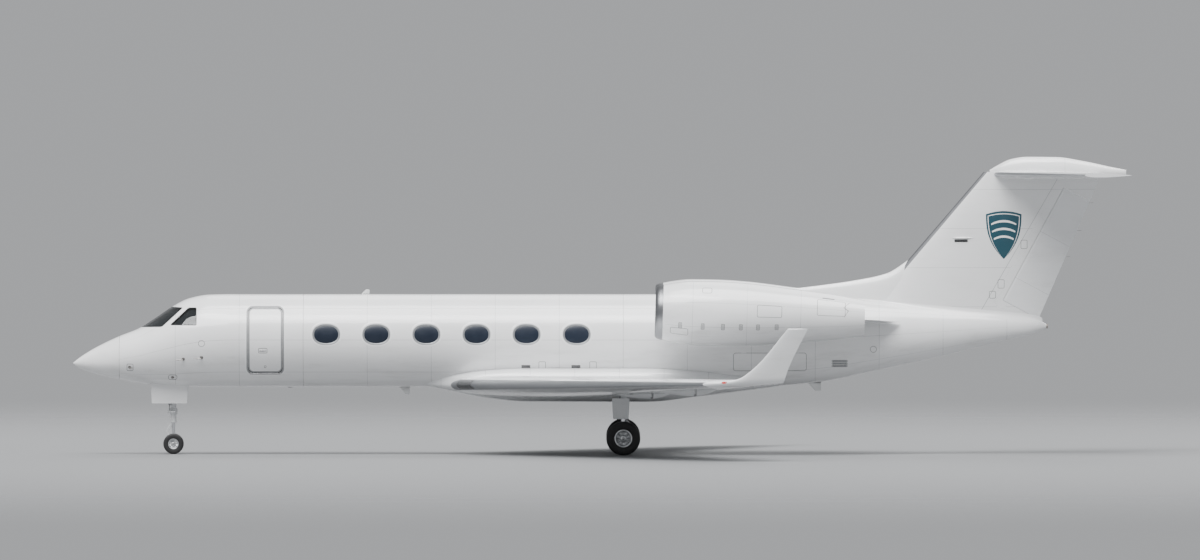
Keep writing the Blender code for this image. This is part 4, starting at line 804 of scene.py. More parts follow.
WING = Foil(((9.685, -0.75, 1.80), (15.097, -0.75, 1.52)), ((16.204, -11.35, 1.965), (18.203, -11.35, 1.995)),
            (0, 0, 1), (0.105, 0.090), camber=0.008)
FLAP, AILERON = Hinge(WING, 0.80, (0.097, 0.655)), Hinge(WING, 0.75, (0.685, 0.970))
WING_LINES = ((0, 20.0, 0.16, 0.0010), (0, 20.0, 0.60, 0.0008), (1, 1.06, 0.62, 0.0040))
WING_PAINT = paint("wing_white", (0.83, 0.84, 0.85), 0.36, WING_LINES, "place")
SURFACE_PAINT = paint("control_white", (0.83, 0.84, 0.85), 0.36, ((1, 1.35, 0.67, 0.004),), "place")


def bright_metal(name, colour, roughness, grain=60.0, patchy=1.0):
    """Polished or brushed metal: long fine scratches in the roughness and the bump, and dull patches."""
    f = Finish(name, colour, roughness, 1.0)
    scratches = f.noise(grain, 5.0, place=f.stretched((1.0, 1.0, 9.0)))
    patches = f.noise(3.1, 4.0)
    dull = f.scaled(f.spread(patches, 0.35, 0.7), 0.16 * patchy, roughness)
    tone = f.spread(patches, 0.3, 0.7, 1 - 0.12 * patchy, 1.0)
    return f.wear(
        Base_Color=f.add("HueSaturation", {"Value": tone, "Color": colour}),
        Roughness=f.scaled(scratches, 0.10, dull),
        Normal=f.bump(scratches, 0.12 * patchy, 0.0006),
    )


EDGE_METAL = bright_metal("leading_edge_metal", (0.46, 0.47, 0.485), 0.36, patchy=0.3)
FIN_EDGE = bright_metal("fin_edge_metal", (0.20, 0.205, 0.215), 0.42, patchy=0.3)
BAY_PAINT = two_tones("bay_primer", (0.30, 0.34, 0.30), (0.38, 0.40, 0.36), 0.55, 9.0)
wing = Shape()
bayed(wing, WING, [FLAP, AILERON])
wing.pair("wing_skins_*", [WING_PAINT, EDGE_METAL, BAY_PAINT], slot="wing_paint", stands_for=["wing_*"])
for part, hinge in (("flap", FLAP), ("aileron", AILERON)):
    surface = Shape()
    control(surface, hinge)
    surface.pair(part + "_skins_*", SURFACE_PAINT, "*_" + part, "wing_paint", [part + "_*"])

# Winglets
# A composite blade that turns up from each wing tip, bolted on at the last rib.
# Way along the curve, leading edge, trailing edge, y, z, lean of its thickness, ratio, half twist
WINGLET = np.array([
    (0.00, 16.204, 18.203, 11.350, 1.980, 0.0, 0.090, 0.015),
    (0.12, 16.620, 18.235, 11.470, 2.000, 18.0, 0.088, 0.0),
    (0.24, 17.050, 18.275, 11.555, 2.080, 48.0, 0.085, 0.0),
    (0.43, 17.360, 18.330, 11.610, 2.260, 68.0, 0.085, 0.0),
    (1.58, 18.360, 18.860, 11.860, 3.380, 74.0, 0.080, 0.0),
])


def foil_ring(front, rear, way, ratio, count=15):
    """Sections from trailing edge over one side to the nose and back: chord points at cosine
    spacing, each off the chord line by plus or minus chord times ratio times half thickness."""
    x = (1 + np.cos(np.linspace(0, math.pi, count))) / 2
    chord = np.linalg.norm(rear - front, axis=-1)[:, None]
    line = front[:, None] + x[:, None] * (rear - front)[:, None]
    rise = (ratio * foil_half(x) * chord)[..., None] * way[:, None]
    return np.concatenate([line + rise, (line - rise)[:, ::-1]], 1)


bend, blade, tip_turn = np.linspace(0, 0.5, 18), np.linspace(0.56, 1.56, 16), np.linspace(0.5, 1.55, 5)
gone = np.concatenate([bend, blade, 1.58 - 0.02 * np.cos(tip_turn)])
lead, trail, out, height, lean, ratio, twist = (steady(gone, WINGLET, column) for column in range(1, 8))
blunt = np.where(gone > 1.56, np.sqrt(np.clip(1 - ((gone - 1.56) / 0.0205) ** 2, 0.02, 1)), 1.0)
lean = np.radians(lean)
winglet_front = xyz(lead - LENGTH / 2, -out, height - twist)
winglet_rear = xyz(trail - LENGTH / 2, -out, height + twist)
thick_way = xyz(0, np.sin(lean), np.cos(lean))
winglet = Shape()
winglet.sheet(foil_ring(winglet_front, winglet_rear, thick_way, (ratio * blunt)[:, None]))
winglet.pair("winglet_skin_*", WING_PAINT, slot="wing_paint", stands_for=["winglet_*"])

# Belly fairing
# Thin composite panels over the wing's centre, screwed to the shell and blended into the wing.
# Station, bottom, half width, top
FAIRING = np.array([
    (8.90, 1.790, 0.30, 2.00),
    (9.40, 1.690, 0.66, 2.08),
    (10.00, 1.560, 0.98, 2.17),
    (10.70, 1.430, 1.20, 2.25),
    (11.70, 1.342, 1.29, 2.30),
    (14.80, 1.342, 1.29, 2.30),
    (16.10, 1.478, 1.16, 2.22),
    (17.20, 1.606, 0.86, 2.10),
    (18.20, 1.740, 0.40, 2.00),
])


def hull_clear(points):
    """How far points stand outside the fuselage: the elliptical radius less one, in half widths."""
    x, y, z = np.moveaxis(points, -1, 0)
    top, bottom, half, wide = hull_sizes(x + LENGTH / 2)
    return (np.hypot(y / half, (z - wide) / np.where(z > wide, top - wide, wide - bottom)) - 1) * half


def fairing_point(flat, inset=0.0):
    """A squared ellipse at each station: half width and half height times the 0.62 power of the
    cosine and the sine."""
    bottom, half, top = (steady(flat[:, 0], FAIRING, column) for column in (1, 2, 3))
    cosine, sine = rounded(flat[:, 1], 0.62).T
    middle, tall = (top + bottom) / 2, (top - bottom) / 2
    return xyz(flat[:, 0] - LENGTH / 2, cosine * (half - inset), middle + sine * (tall - inset))


fairing = Shape()
stations = steps(8.90, (10.6, 0.10), (16.0, 0.20), (18.20, 0.10))
flat, faces = net(stations, degrees(-270.0, (90.0, 3.0)))
flat, faces = trimmed(flat, faces, lambda f: hull_clear(fairing_point(f)) + 0.006)
fairing.wall(fairing_point(flat), fairing_point(flat, 0.008), faces, (0, 1, 1), flat_places(flat))
FAIRING_PAINT = paint("fairing_white", (0.80, 0.81, 0.82), 0.55, ((0, 1.15, 0.30, 0.0045),), "place")
fairing.made("belly_fairing_skin", [FAIRING_PAINT, SEAL], slot="composite_paint",
             stands_for=["belly_fairing"])

# Fin and rudder
# Aluminium skins on two spars, rising from the tail, with a bare metal leading edge. A long
# dorsal fillet carries its line forward along the top of the fuselage.
FIN_ROOT, FIN_TIP, DORSAL_BASE = 3.30, 7.28, 3.70
# Station, top and half width
DORSAL = np.array([
    (17.30, 4.06, 0.02),
    (18.20, 4.215, 0.06),
    (19.40, 4.365, 0.10),
    (20.30, 4.500, 0.12),
    (21.00, 4.660, 0.13),
    (21.45, 4.930, 0.12),
    (21.80, 5.220, 0.08),
])
# Across and up the fillet: shares of its half width and of its height over the base
SECTION = ((-1.0, 0.0), (-0.99, 0.35), (-0.95, 0.62), (-0.76, 0.82), (-0.45, 0.93), (-0.20, 0.985),
           (-0.001, 1.0))


def smoothed(points, pitch):
    """A smooth line through points of two values: both read by the steady cubic against the way
    gone along the points."""
    points = np.array(points)
    gone = np.concatenate([[0], np.cumsum(np.linalg.norm(np.diff(points, axis=0), axis=1))])
    table = np.column_stack([gone, points])
    read = np.linspace(0, gone[-1], int(gone[-1] / pitch) + 2)
    return np.stack([steady(read, table, 1), steady(read, table, 2)], 1)


def fin_edge(z):
    return (21.50 + (z - 4.946) / 1.165, 0.0, z), (24.91 + (z - 3.459) / 2.308, 0.0, z)


FIN = Foil(fin_edge(FIN_ROOT), fin_edge(FIN_TIP), (0, 1, 0), (0.085, 0.090))
RUDDER = Hinge(FIN, 0.757, (0.165, 0.895))
FIN_LINES = ((0, 20.0, 0.655, 0.0022), (1, 1.01, 0.50, 0.0040))
FIN_PAINT = paint("fin_white", soil=0.25, lines=FIN_LINES, source="place")
fin, rudder, dorsal = Shape(), Shape(), Shape()
bayed(fin, FIN, [RUDDER], pitch=0.2, metal=0.042)
fin.made("fin_skins", [FIN_PAINT, FIN_EDGE, BAY_PAINT], slot="wing_paint", stands_for=["fin"])
control(rudder, RUDDER)
rudder.made("rudder_skins", SURFACE_PAINT, "rudder_surface", "wing_paint", ["rudder"])
stations = steps(17.30, (21.80, 0.03))[:, None]
top, half = (steady(stations, DORSAL, column) for column in (1, 2))
section = smoothed(SECTION, 0.06)
across, up = np.concatenate([section, section[::-1] * (-1, 1)]).T
dorsal.sheet(xyz(stations - LENGTH / 2, half * across, DORSAL_BASE + (top - DORSAL_BASE) * up))
dorsal.made("dorsal_fillet", FIN_PAINT, slot="wing_paint")

# Tailplane, elevators and bullet
# The tailplane lies across the fin's tip, under a round composite bullet that fairs the joint.
# Station, bottom, top and half width
BULLET = np.array([
    (23.66, 7.290, 7.330, 0.020),
    (23.86, 7.150, 7.450, 0.105),
    (24.20, 7.080, 7.610, 0.170),
    (24.60, 7.060, 7.670, 0.200),
    (25.35, 7.060, 7.665, 0.205),
    (26.10, 7.085, 7.555, 0.160),
    (26.80, 7.125, 7.405, 0.085),
    (27.18, 7.180, 7.330, 0.025),
])
TAIL = Foil(((23.72, 0.0, 7.22), (26.46, 0.0, 7.22)), ((26.02, -4.875, 7.22), (LENGTH, -4.875, 7.22)),
            (0, 0, 1), (0.095, 0.085))
ELEVATOR = Hinge(TAIL, 0.70, (0.085, 0.95))


def circle(radius, sides=12):
    """Points round a circle, half a step off its axes so that pairs face each other."""
    turn = 2 * math.pi * (np.arange(sides) + 0.5) / sides
    return radius * np.stack([np.cos(turn), np.sin(turn)], 1)


bullet, tailplane, elevator = Shape(), Shape(), Shape()
swing = np.linspace(0, math.pi, 40)[:, None]
stations = BULLET[0, 0] + (BULLET[-1, 0] - BULLET[0, 0]) * (1 - np.cos(swing)) / 2
bottom, top, half = (steady(stations, BULLET, column) for column in (1, 2, 3))
across, up = circle(1.0, 36).T
bullet.sheet(xyz(stations - LENGTH / 2, half * across, (top + bottom) / 2 + (top - bottom) / 2 * up))
BULLET_PAINT = paint("bullet_white", soil=0.4, lines=((0, 30.0, 25.6 - LENGTH / 2, 0.004),))
bullet.made("tail_bullet", BULLET_PAINT, slot="wing_paint", stands_for=["tailplane"])
bayed(tailplane, TAIL, [ELEVATOR], metal=0.03)
tailplane.pair("tailplane_skins_*", [WING_PAINT, EDGE_METAL, BAY_PAINT], slot="wing_paint")
control(elevator, ELEVATOR)
elevator.pair("elevator_skins_*", SURFACE_PAINT, "*_elevator", "wing_paint", ["elevator_*"])

# Engine nacelles
# A long cowl of composite panels behind a polished lip, round a duct lined with perforated
# metal, and a painted tailpipe. All are turned about one axis that is pitched nose up.
ENGINE_Y, ENGINE_STATION, ENGINE_Z, ENGINE_PITCH = 2.26, 15.02, 3.690, math.radians(1.7)
ENGINE_START = at(ENGINE_STATION, -ENGINE_Y, ENGINE_Z)
ENGINE_AXIS = np.array((math.cos(ENGINE_PITCH), 0.0, -math.sin(ENGINE_PITCH)))
ENGINE_UP = np.array((math.sin(ENGINE_PITCH), 0.0, math.cos(ENGINE_PITCH)))
LIP_LENGTH, COWL_END, NACELLE_LENGTH = 0.20, 3.38, 5.39
# Lines of (radius, distance behind the lip)
COWL_OUTSIDE = ((0.622, 0.0), (0.655, 0.020), (0.690, 0.090), (0.712, 0.20), (0.762, 0.42), (0.826, 0.92),
                (0.836, 1.62), (0.808, 2.36), (0.765, 2.88), (0.712, COWL_END))
COWL_INSIDE = ((0.622, 0.0), (0.595, 0.025), (0.578, 0.090), (0.572, 0.20), (0.560, 0.85), (0.560, 1.26),
               (0.600, 1.36), (0.600, COWL_END))
PIPE = ((0.712, COWL_END), (0.655, 3.95), (0.565, 4.72), (0.452, NACELLE_LENGTH))
PIPE_BORE = ((0.432, NACELLE_LENGTH), (0.520, 4.60), (0.600, COWL_END))


def turned(profile, start, axis, up, sides=96):
    """A profile of (radius, distance) turned about an axis: start plus distance along the axis, plus
    radius round it."""
    profile, across = np.asarray(profile, float), np.cross(axis, up)
    turn = 2 * math.pi * np.arange(sides) / sides
    round_it = np.cos(turn)[:, None] * up + np.sin(turn)[:, None] * across
    return start + profile[:, None, 1:] * axis + profile[:, None, :1] * round_it


def on_engine(profile, sides=96):
    return turned(profile, ENGINE_START, ENGINE_AXIS, ENGINE_UP, sides)


def engine_out(bearing):
    """The direction square to the engine's axis at a bearing round it from the top."""
    bearing = np.asarray(bearing)[..., None]
    return np.cos(bearing) * ENGINE_UP + np.sin(bearing) * np.cross(ENGINE_AXIS, ENGINE_UP)


def engine_place(profile):
    """Distance behind the lip and bearing from the top, for the paint's joints."""
    return xyz(np.asarray(profile)[:, 1:], 2 * math.pi * np.arange(96) / 96, 0.0)


LIP_METAL = bright_metal("inlet_lip_metal", (0.26, 0.265, 0.275), 0.28, patchy=0.5)
LINER = bright_metal("duct_liner", (0.62, 0.63, 0.65), 0.42)
COWL_LINES = ((0, 40.0, 0.96, 0.004), (0, 40.0, 2.36, 0.003), (0, 40.0, 3.74, 0.004), (1, 40.0, 1.222, 0.004),
              (1, 40.0, 1.99, 0.005), (1, 40.0, math.pi, 0.005))
COWL_PAINT = paint("cowl_white", soil=0.30, lines=COWL_LINES, source="place")
outside, inside = smoothed(COWL_OUTSIDE, 0.05), smoothed(COWL_INSIDE, 0.05)
outer_split, inner_split = (int(np.searchsorted(line[:, 1], LIP_LENGTH)) for line in (outside, inside))
outside[outer_split, 1] = LIP_LENGTH
cowl, nozzle = Shape(), Shape()
cowl.sheet(on_engine(outside[: outer_split + 1]), 1, ends=False)
cowl.sheet(on_engine(outside[outer_split:]), 0, ends=False, place=engine_place(outside[outer_split:]))
cowl.sheet(on_engine(inside[: inner_split + 1])[:, ::-1], 1, ends=False)
cowl.sheet(on_engine(inside[inner_split:])[:, ::-1], 2, ends=False)
cowl.sheet(on_engine([outside[-1], inside[-1]]), 3, ends=False)
cowl.pair("nacelle_*", [COWL_PAINT, LIP_METAL, LINER, SEAL], slot="composite_paint",
          stands_for=["engine_cowl_*"])
pipe_line = np.array([*smoothed(PIPE, 0.08), *smoothed(PIPE_BORE, 0.12), PIPE[0]])
nozzle.sheet(on_engine(pipe_line), ends=False, place=engine_place(pipe_line))
nozzle.pair("tailpipe_*", COWL_PAINT, slot="composite_paint", stands_for=["exhaust_nozzle_*"])

# Pylons
# A short foil-shaped beam of skinned aluminium that carries each engine off the fuselage.
PYLON = Foil(((15.75, -0.70, 3.42), (21.35, -0.70, 3.42)), ((15.55, -1.95, 3.56), (20.15, -1.95, 3.50)),
             (0, 0, 1), (0.062, 0.070))
NACELLE_LINE = np.concatenate([outside, smoothed(PIPE, 0.08)[1:]])[:, ::-1]


def pylon_point(flat):
    """Round the foil's ring by the first value, from trailing edge over the top to the nose and back,
    and out from the fuselage by the second."""
    turn, share = flat.T
    return PYLON.skin((1 + np.cos(turn)) / 2, share, np.where(turn < math.pi, 1, -1))


def pylon_clear(flat):
    """How far a point of the pylon stands outside both the fuselage and the nacelle."""
    points = pylon_point(flat)
    along = (points - ENGINE_START) @ ENGINE_AXIS
    away = np.linalg.norm(points - ENGINE_START - along[:, None] * ENGINE_AXIS, axis=1)
    cowl_radius = np.interp(along, *NACELLE_LINE.T, left=0.5, right=0.0)
    return np.minimum(hull_clear(points), away - cowl_radius) + 0.008


pylon = Shape()
flat, faces = trimmed(*net(np.linspace(0, 2 * math.pi, 73), np.linspace(0, 1, 26)), pylon_clear)
pylon.add(pylon_point(flat), [faces], place=xyz((1 + np.cos(flat[:, 0])) / 2, flat[:, 1], 0))
pylon.pair("pylon_skin_*", COWL_PAINT, slot="wing_paint", stands_for=["pylon_*"])

# Fans and spinners
# Wide titanium blades, twisted from root to tip, in a hub behind a pointed spinner, whose white
# swirl warns that the fan is turning.
SPINNER = ((0.0, 0.620), (0.020, 0.628), (0.055, 0.66), (0.120, 0.78), (0.165, 0.93), (0.178, 1.00),
           (0.178, 1.17))
SPINNER_BACK = ((0.09, 1.20), (0.09, 1.315), (0.0, 1.315))
FAN_BLADES, FAN_MIDDLE, BLADE_ROOT, BLADE_TIP = 22, 1.09, 0.165, 0.548


def steel_finish(name, colour, roughness, grime=0.5, metallic=1.0):
    """Machined or painted gear metal: fine grain, soot that gathers in patches, and worn bright spots."""
    f = Finish(name, colour, roughness, metallic)
    grain = f.noise(240.0, 4.0)
    dirty = f.maths("MULTIPLY", f.spread(f.noise(7.0, 8.0, 0.65), 0.48, 0.70), grime)
    return f.wear(
        Base_Color=f.blend(dirty, colour, (0.07, 0.062, 0.055)),
        Roughness=f.scaled(dirty, 0.4, f.scaled(grain, 0.14, roughness - 0.05)),
        Normal=f.bump(grain, 0.2, 0.0005),
    )


def spinner_finish():
    """Dark satin paint with a white swirl: bright where the bearing round the axis, less a share of
    the distance behind the lip, comes to nothing."""
    f = Finish("spinner_swirl", roughness=0.35)
    x, y, z = f.parts(f.spot)
    behind = f.maths("SUBTRACT", x, float(ENGINE_START[0]))
    out = f.maths("SUBTRACT", f.maths("ABSOLUTE", y), ENGINE_Y)
    rise = f.maths("ADD", z, f.scaled(behind, math.tan(ENGINE_PITCH), -ENGINE_Z))
    away = f.maths("PINGPONG", f.scaled(behind, -11.0, f.maths("ARCTAN2", out, rise)), math.pi)
    swirl = f.maths("MULTIPLY", f.spread(away, 0.55, 0.65, 1.0, 0.0), f.spread(behind, 0.96, 0.98, 1.0, 0.0))
    swirl = f.maths("MULTIPLY", swirl, f.spread(behind, 0.66, 0.68))
    return f.wear(Base_Color=f.blend(swirl, (0.035, 0.037, 0.042), (0.8, 0.8, 0.78)))


def fan_blades():
    """Every blade at once, over span, chord and side: along the axis by chord times cos(twist), and
    round it by chord times sin(twist) over the radius, off the chord line by camber and thickness."""
    span, chord = np.linspace(0, 1, 14)[:, None], np.linspace(-0.5, 0.5, 9)
    radius = BLADE_ROOT + span * (BLADE_TIP - BLADE_ROOT)
    twist = np.radians(24.0 + 36.0 * span**0.8)
    wide, crown = 0.120 + 0.055 * span, 1 - 4 * chord**2
    bow, thick = wide * (0.09 - 0.06 * span) * crown, (0.012 - 0.009 * span) * np.sqrt(crown) * 0.5
    rounds = []
    for off in (bow + thick, bow - thick):
        along = wide * chord * np.cos(twist) - off * np.sin(twist)
        rounds.append((along + 0.02 * span**2, wide * chord * np.sin(twist) + off * np.cos(twist)))
    along, around = (np.concatenate([a, b[:, ::-1]], 1) for a, b in zip(*rounds))
    bearing = around / radius + (2 * math.pi * np.arange(FAN_BLADES) / FAN_BLADES)[:, None, None]
    middle = ENGINE_START + (FAN_MIDDLE + along)[..., None] * ENGINE_AXIS
    return middle + radius[..., None] * engine_out(bearing)


FAN_METAL = steel_finish("fan_titanium", (0.62, 0.63, 0.65), 0.30, 0.2)
fan = Shape()
fan.sheet(on_engine([*smoothed(SPINNER, 0.02), *SPINNER_BACK], 64), 1, ends=False)
for blade in fan_blades():
    fan.sheet(blade)
fan.pair("fan_*_rotor", [FAN_METAL, spinner_finish()], "fan_rotor_*", "fan_metal", ["fan_*"])

# Engine cores
# One block stands for the engine: guide vanes behind the fan, the casing, a lobed mixer that
# blends the hot and the cold stream, and the tail cone.
HOT_METAL = steel_finish("hot_section_metal", (0.34, 0.30, 0.27), 0.36, 0.8)
VANES, VANE_ROOT, VANE_LONG = 34, 0.17, 0.415
LOBES, MIXER_START, MIXER_LONG, MIXER_RADIUS, CONE_RADIUS = 14, 3.10, 0.62, 0.415, 0.30
CASING = ((0.0, 1.36), (0.17, 1.36), (0.18, 1.385), (0.575, 1.39), (0.599, 1.41), (0.599, 1.49), (0.50, 1.53),
          (0.42, 1.60), (0.42, 2.90), (MIXER_RADIUS, MIXER_START))
CONE = ((CONE_RADIUS, MIXER_START), (0.295, 3.45), (0.26, 3.80), (0.17, 4.18), (0.05, 4.50), (0.0, 4.53))
core = Shape()
core.sheet(on_engine(smoothed(CASING, 0.05), 64), ends=False)
bearing = np.linspace(0, 2 * math.pi, 15 * LOBES, endpoint=False)
ruffle = np.linspace(0, 1, 10)[:, None]
mixer = MIXER_RADIUS - 0.02 * ruffle + 0.10 * ruffle**1.5 * np.cos(LOBES * bearing)
spine = ENGINE_START + (MIXER_START + MIXER_LONG * ruffle)[..., None] * ENGINE_AXIS
for radius in (mixer, mixer - 0.006):
    core.sheet(spine + radius[..., None] * engine_out(bearing), ends=False)
core.sheet(on_engine([CASING[-1], CONE[0]], 64), ends=False)
core.sheet(on_engine(smoothed(CONE, 0.06), 64), ends=False)
chord = np.concatenate([np.linspace(0, 1, 5), np.linspace(1, 0, 5)])[:, None]
thick = np.repeat((0.003, -0.003), 5)[:, None]
for bearing in 2 * math.pi * (np.arange(VANES) + 0.5) / VANES:
    out, round_way = engine_out(bearing), engine_out(bearing + math.pi / 2)
    section = (1.28 + 0.09 * chord) * ENGINE_AXIS + (0.014 * np.sin(1.6 * chord) + thick) * round_way
    foot = ENGINE_START + VANE_ROOT * out + section
    core.sheet([foot, foot + VANE_LONG * out])
core.pair("engine_block_*", HOT_METAL, slot="engine_steel", stands_for=["engine_core_*"])

# Wheels and tyres
# Forged aluminium wheels in halves held by tie bolts, with grooved bias-ply tyres. The two
# wheels of a leg share an axle and turn as one.
SIDEWAYS, UP, DOWN = np.eye(3)[1], np.eye(3)[2], -np.eye(3)[2]
GROOVES, GROOVE_EDGES = np.array((-0.60, -0.21, 0.21, 0.60)), np.array((-0.052, -0.040, 0.040, 0.052))
# Lines of (radius, distance across), in rim radii and tyre widths
DISH = ((0.0, 0.44), (0.26, 0.44), (0.33, 0.415), (0.345, 0.26), (0.42, 0.20), (0.58, 0.16), (0.76, 0.20),
        (0.86, 0.30), (0.90, 0.415), (0.94, 0.435), (1.05, 0.435), (1.06, 0.42), (1.06, 0.405), (1.0, 0.395),
        (0.985, 0.38), (0.985, -0.38), (1.0, -0.395), (1.06, -0.405), (1.06, -0.42), (1.05, -0.435),
        (0.93, -0.435), (0.88, -0.40), (0.85, 0.02), (0.40, 0.02), (0.36, -0.10), (0.20, -0.10))
BOLT = ((0.0, 0.205), (0.052, 0.205), (0.060, 0.195), (0.060, 0.15), (0.0, 0.15))
CAP = ((0.0, 0.465), (0.10, 0.46), (0.17, 0.44), (0.17, 0.40), (0.0, 0.40))
# Depths up the sidewall and shares of the half width
SIDEWALL = np.array(((0.0, 0.70), (0.03, 0.80), (0.30, 0.97), (0.55, 1.0), (0.80, 0.93), (0.93, 0.80)))
SPOKES = 9


def tyre_finish():
    """Rubber, greyer and rougher where the tread has scrubbed, with fine pores and dust in patches."""
    f = Finish("tyre_rubber", (0.02, 0.02, 0.021), 0.75)
    share = f.parts(f.add("Attribute", attribute_name="place").outputs["Vector"])[0]
    dust = f.noise(9.0, 7.0)
    worn = f.maths("MULTIPLY", f.spread(share, 0.93, 0.99), f.spread(dust, 0.3, 0.6, 0.5, 1.0))
    worn = f.scaled(f.spread(dust, 0.5, 0.8), 0.25, worn)
    return f.wear(
        Base_Color=f.blend(worn, (0.016, 0.016, 0.017), (0.075, 0.073, 0.07)),
        Roughness=f.spread(worn, 0.0, 1.0, 0.55, 0.85),
        Normal=f.bump(f.noise(420.0, 3.0), 0.3, 0.0006),
    )


TYRE = tyre_finish()
WHEEL_METAL = steel_finish("wheel_alloy", (0.66, 0.67, 0.68), 0.34, 0.35)
BOLT_METAL = steel_finish("bolt_steel", (0.38, 0.38, 0.39), 0.30, 0.3)


def tyre_line(rim, radius, wide):
    """Radius and distance across a tyre: a sidewall through a few points, then a crown whose radius
    falls by the square of the distance, less a step at each groove, then the other sidewall."""
    half, deep = wide / 2, radius - rim
    side = smoothed(SIDEWALL * (deep, half) + (rim, 0), deep / 12)
    edges = (GROOVES[:, None] + GROOVE_EDGES).ravel()
    share = np.sort(np.concatenate([edges, np.linspace(-0.66, 0.66, 7)]))
    groove = np.where(np.abs(share[:, None] - GROOVES).min(1) < 0.045, 0.035 * radius, 0)
    crown = radius - 0.10 * deep * share**2 - groove
    tread = np.stack([crown, share * half], 1)
    return np.concatenate([side * (1, -1), tread, side[::-1], side[:1] * (1, -1)])


def wheels(name, tyre_name, body, centre, size, nodes, cap_sides, sides):
    """A twin pair: each wheel's turned dish waves between its spokes, with bolts round it. Each tyre
    has its own node, and its place on the body is named in the same order."""
    rim, radius, wide, twin = size
    hubs = Shape()
    dished = np.isin(np.arange(len(DISH)), (4, 5, 6))
    wave = np.cos(SPOKES * 2 * math.pi * np.arange(72) / 72) - 1

    def across(line, way):
        return np.array(line) * (rim, way * wide) + (0, way * twin)

    for way in (1, -1):
        turns = turned(across(DISH, way), centre, SIDEWAYS, UP, 72)
        hubs.sheet(turns + SIDEWAYS * (way * 0.045 * wide * dished[:, None] * wave)[..., None], ends=False)
        for bearing in 2 * math.pi * np.arange(SPOKES) / SPOKES:
            spot = centre + rim * 0.62 * np.array((math.sin(bearing), 0.0, math.cos(bearing)))
            hubs.sheet(turned(across(BOLT, way), spot, SIDEWAYS, UP, 6), 1, ends=False)
        hubs.sheet(turned(across(CAP, way), centre, SIDEWAYS, UP, cap_sides), 1, ends=False)
    profile = tyre_line(rim, radius, wide)
    share = xyz(np.broadcast_to((profile[:, :1] - rim) / (radius - rim), (len(profile), 80)), 0, 0)
    for side, flip in sides:
        hubs.made(name.replace("*", side), [WHEEL_METAL, BOLT_METAL], body.replace("*", side), "gear_steel",
                  [nodes[0].replace("*", side)], way=flip)
        for label, node, way in zip(tyre_name[1], nodes[1:], (1, -1)):
            tyre = Shape()
            points = turned(profile + (0, way * twin), centre, SIDEWAYS, UP, 80)
            tyre.sheet(points, ends=False, place=share)
            tyre.made(tyre_name[0].replace("#", label).replace("*", side), TYRE, body.replace("*", side),
                      "tyre_rubber", [node.replace("*", side)], way=flip)


MAIN_STATION, MAIN_TRACK, NOSE_AXLE_Z, MAIN_AXLE_Z = 14.20, 4.17, 0.263713, 0.439028
LEG_Y = -MAIN_TRACK / 2
MAIN_CENTRE, NOSE_CENTRE = at(MAIN_STATION, LEG_Y, MAIN_AXLE_Z), at(NOSE_STATION, 0, NOSE_AXLE_Z)
# Rim radius, tyre radius, tyre width and half the distance between the two
MAIN_WHEEL, NOSE_WHEEL = (0.216, MAIN_AXLE_Z, 0.27, 0.205), (0.128, NOSE_AXLE_Z, 0.175, 0.150)
wheels("main_wheels_*", ("main_tyre_#_*", ("inner", "outer")), "main_wheels_*", MAIN_CENTRE, MAIN_WHEEL,
       ["main_hubs_*", "main_tyre_*_starboard", "main_tyre_*_port"], 32, (("left", 1), ("right", -1)))
wheels("nose_wheels", ("nose_tyre_#", ("starboard", "port")), "nose_wheels", NOSE_CENTRE, NOSE_WHEEL,
       ["nose_hubs", "nose_tyre_starboard", "nose_tyre_port"], 6, (("", 1),))

# Main landing gear
# Each leg is an enamelled steel cylinder with a chromed piston, braced to the wing's rib, with
# scissor links behind, a brake in each wheel, and hoses clipped along it.
GEAR_PAINT = steel_finish("gear_enamel", (0.70, 0.71, 0.72), 0.30, 0.30, 0.0)
CHROME = steel_finish("piston_chrome", (0.72, 0.73, 0.75), 0.10, 0.05)
HOSE = two_tones("hose_rubber", (0.022, 0.022, 0.025), (0.05, 0.048, 0.046), 0.5, 90.0)
BRAKE = steel_finish("brake_carbon", (0.16, 0.15, 0.15), 0.5, 0.6)
LEG_TOP_Z, PISTON_TOP = 1.68, 0.95
# Lines of (radius, distance down)
LEG_LINE = ((0, 0), (0.080, 0), (0.086, 0.01), (0.086, 0.10), (0.082, 0.13), (0.082, 0.46), (0.088, 0.48),
            (0.088, 0.52), (0.082, 0.54), (0.082, 0.62), (0.104, 0.63), (0.106, 0.64), (0.106, 0.715),
            (0.100, 0.725), (0.060, 0.7296), (0, 0.7296))
PISTON_LINE = ((0, 0), (0.052, 0), (0.052, 0.40), (0, 0.40))
PISTON_FOOT = ((0, 0.385), (0.052, 0.40), (0.058, 0.42), (0.064, 0.47), (0.064, 0.511), (0, 0.511))
CLAMP_LINE = ((0.082, 0), (0.094, 0.003), (0.094, 0.033), (0.082, 0.036))
BRAKE_LINE = ((0.06, 0), (0.150, 0), (0.158, 0.006), (0.158, 0.014), (0.150, 0.018), (0.162, 0.022),
              (0.162, 0.030), (0.150, 0.034), (0.162, 0.038), (0.162, 0.046), (0.10, 0.050), (0.06, 0.050))


def across_of(axis):
    """A direction square to an axis: its cross product with whichever of Y and X it lies less along."""
    return unit(np.cross(axis, (0.0, 1.0, 0.0) if abs(axis[1]) < 0.8 else (1.0, 0.0, 0.0)))


def stacked(shape, start, axis, line, number=0, sides=32):
    """Steps of (radius, distance) turned about an axis from a point, such as collars and flanges."""
    axis = unit(np.array(axis, float))
    shape.sheet(turned(line, start, axis, across_of(axis), sides), number, ends=False)


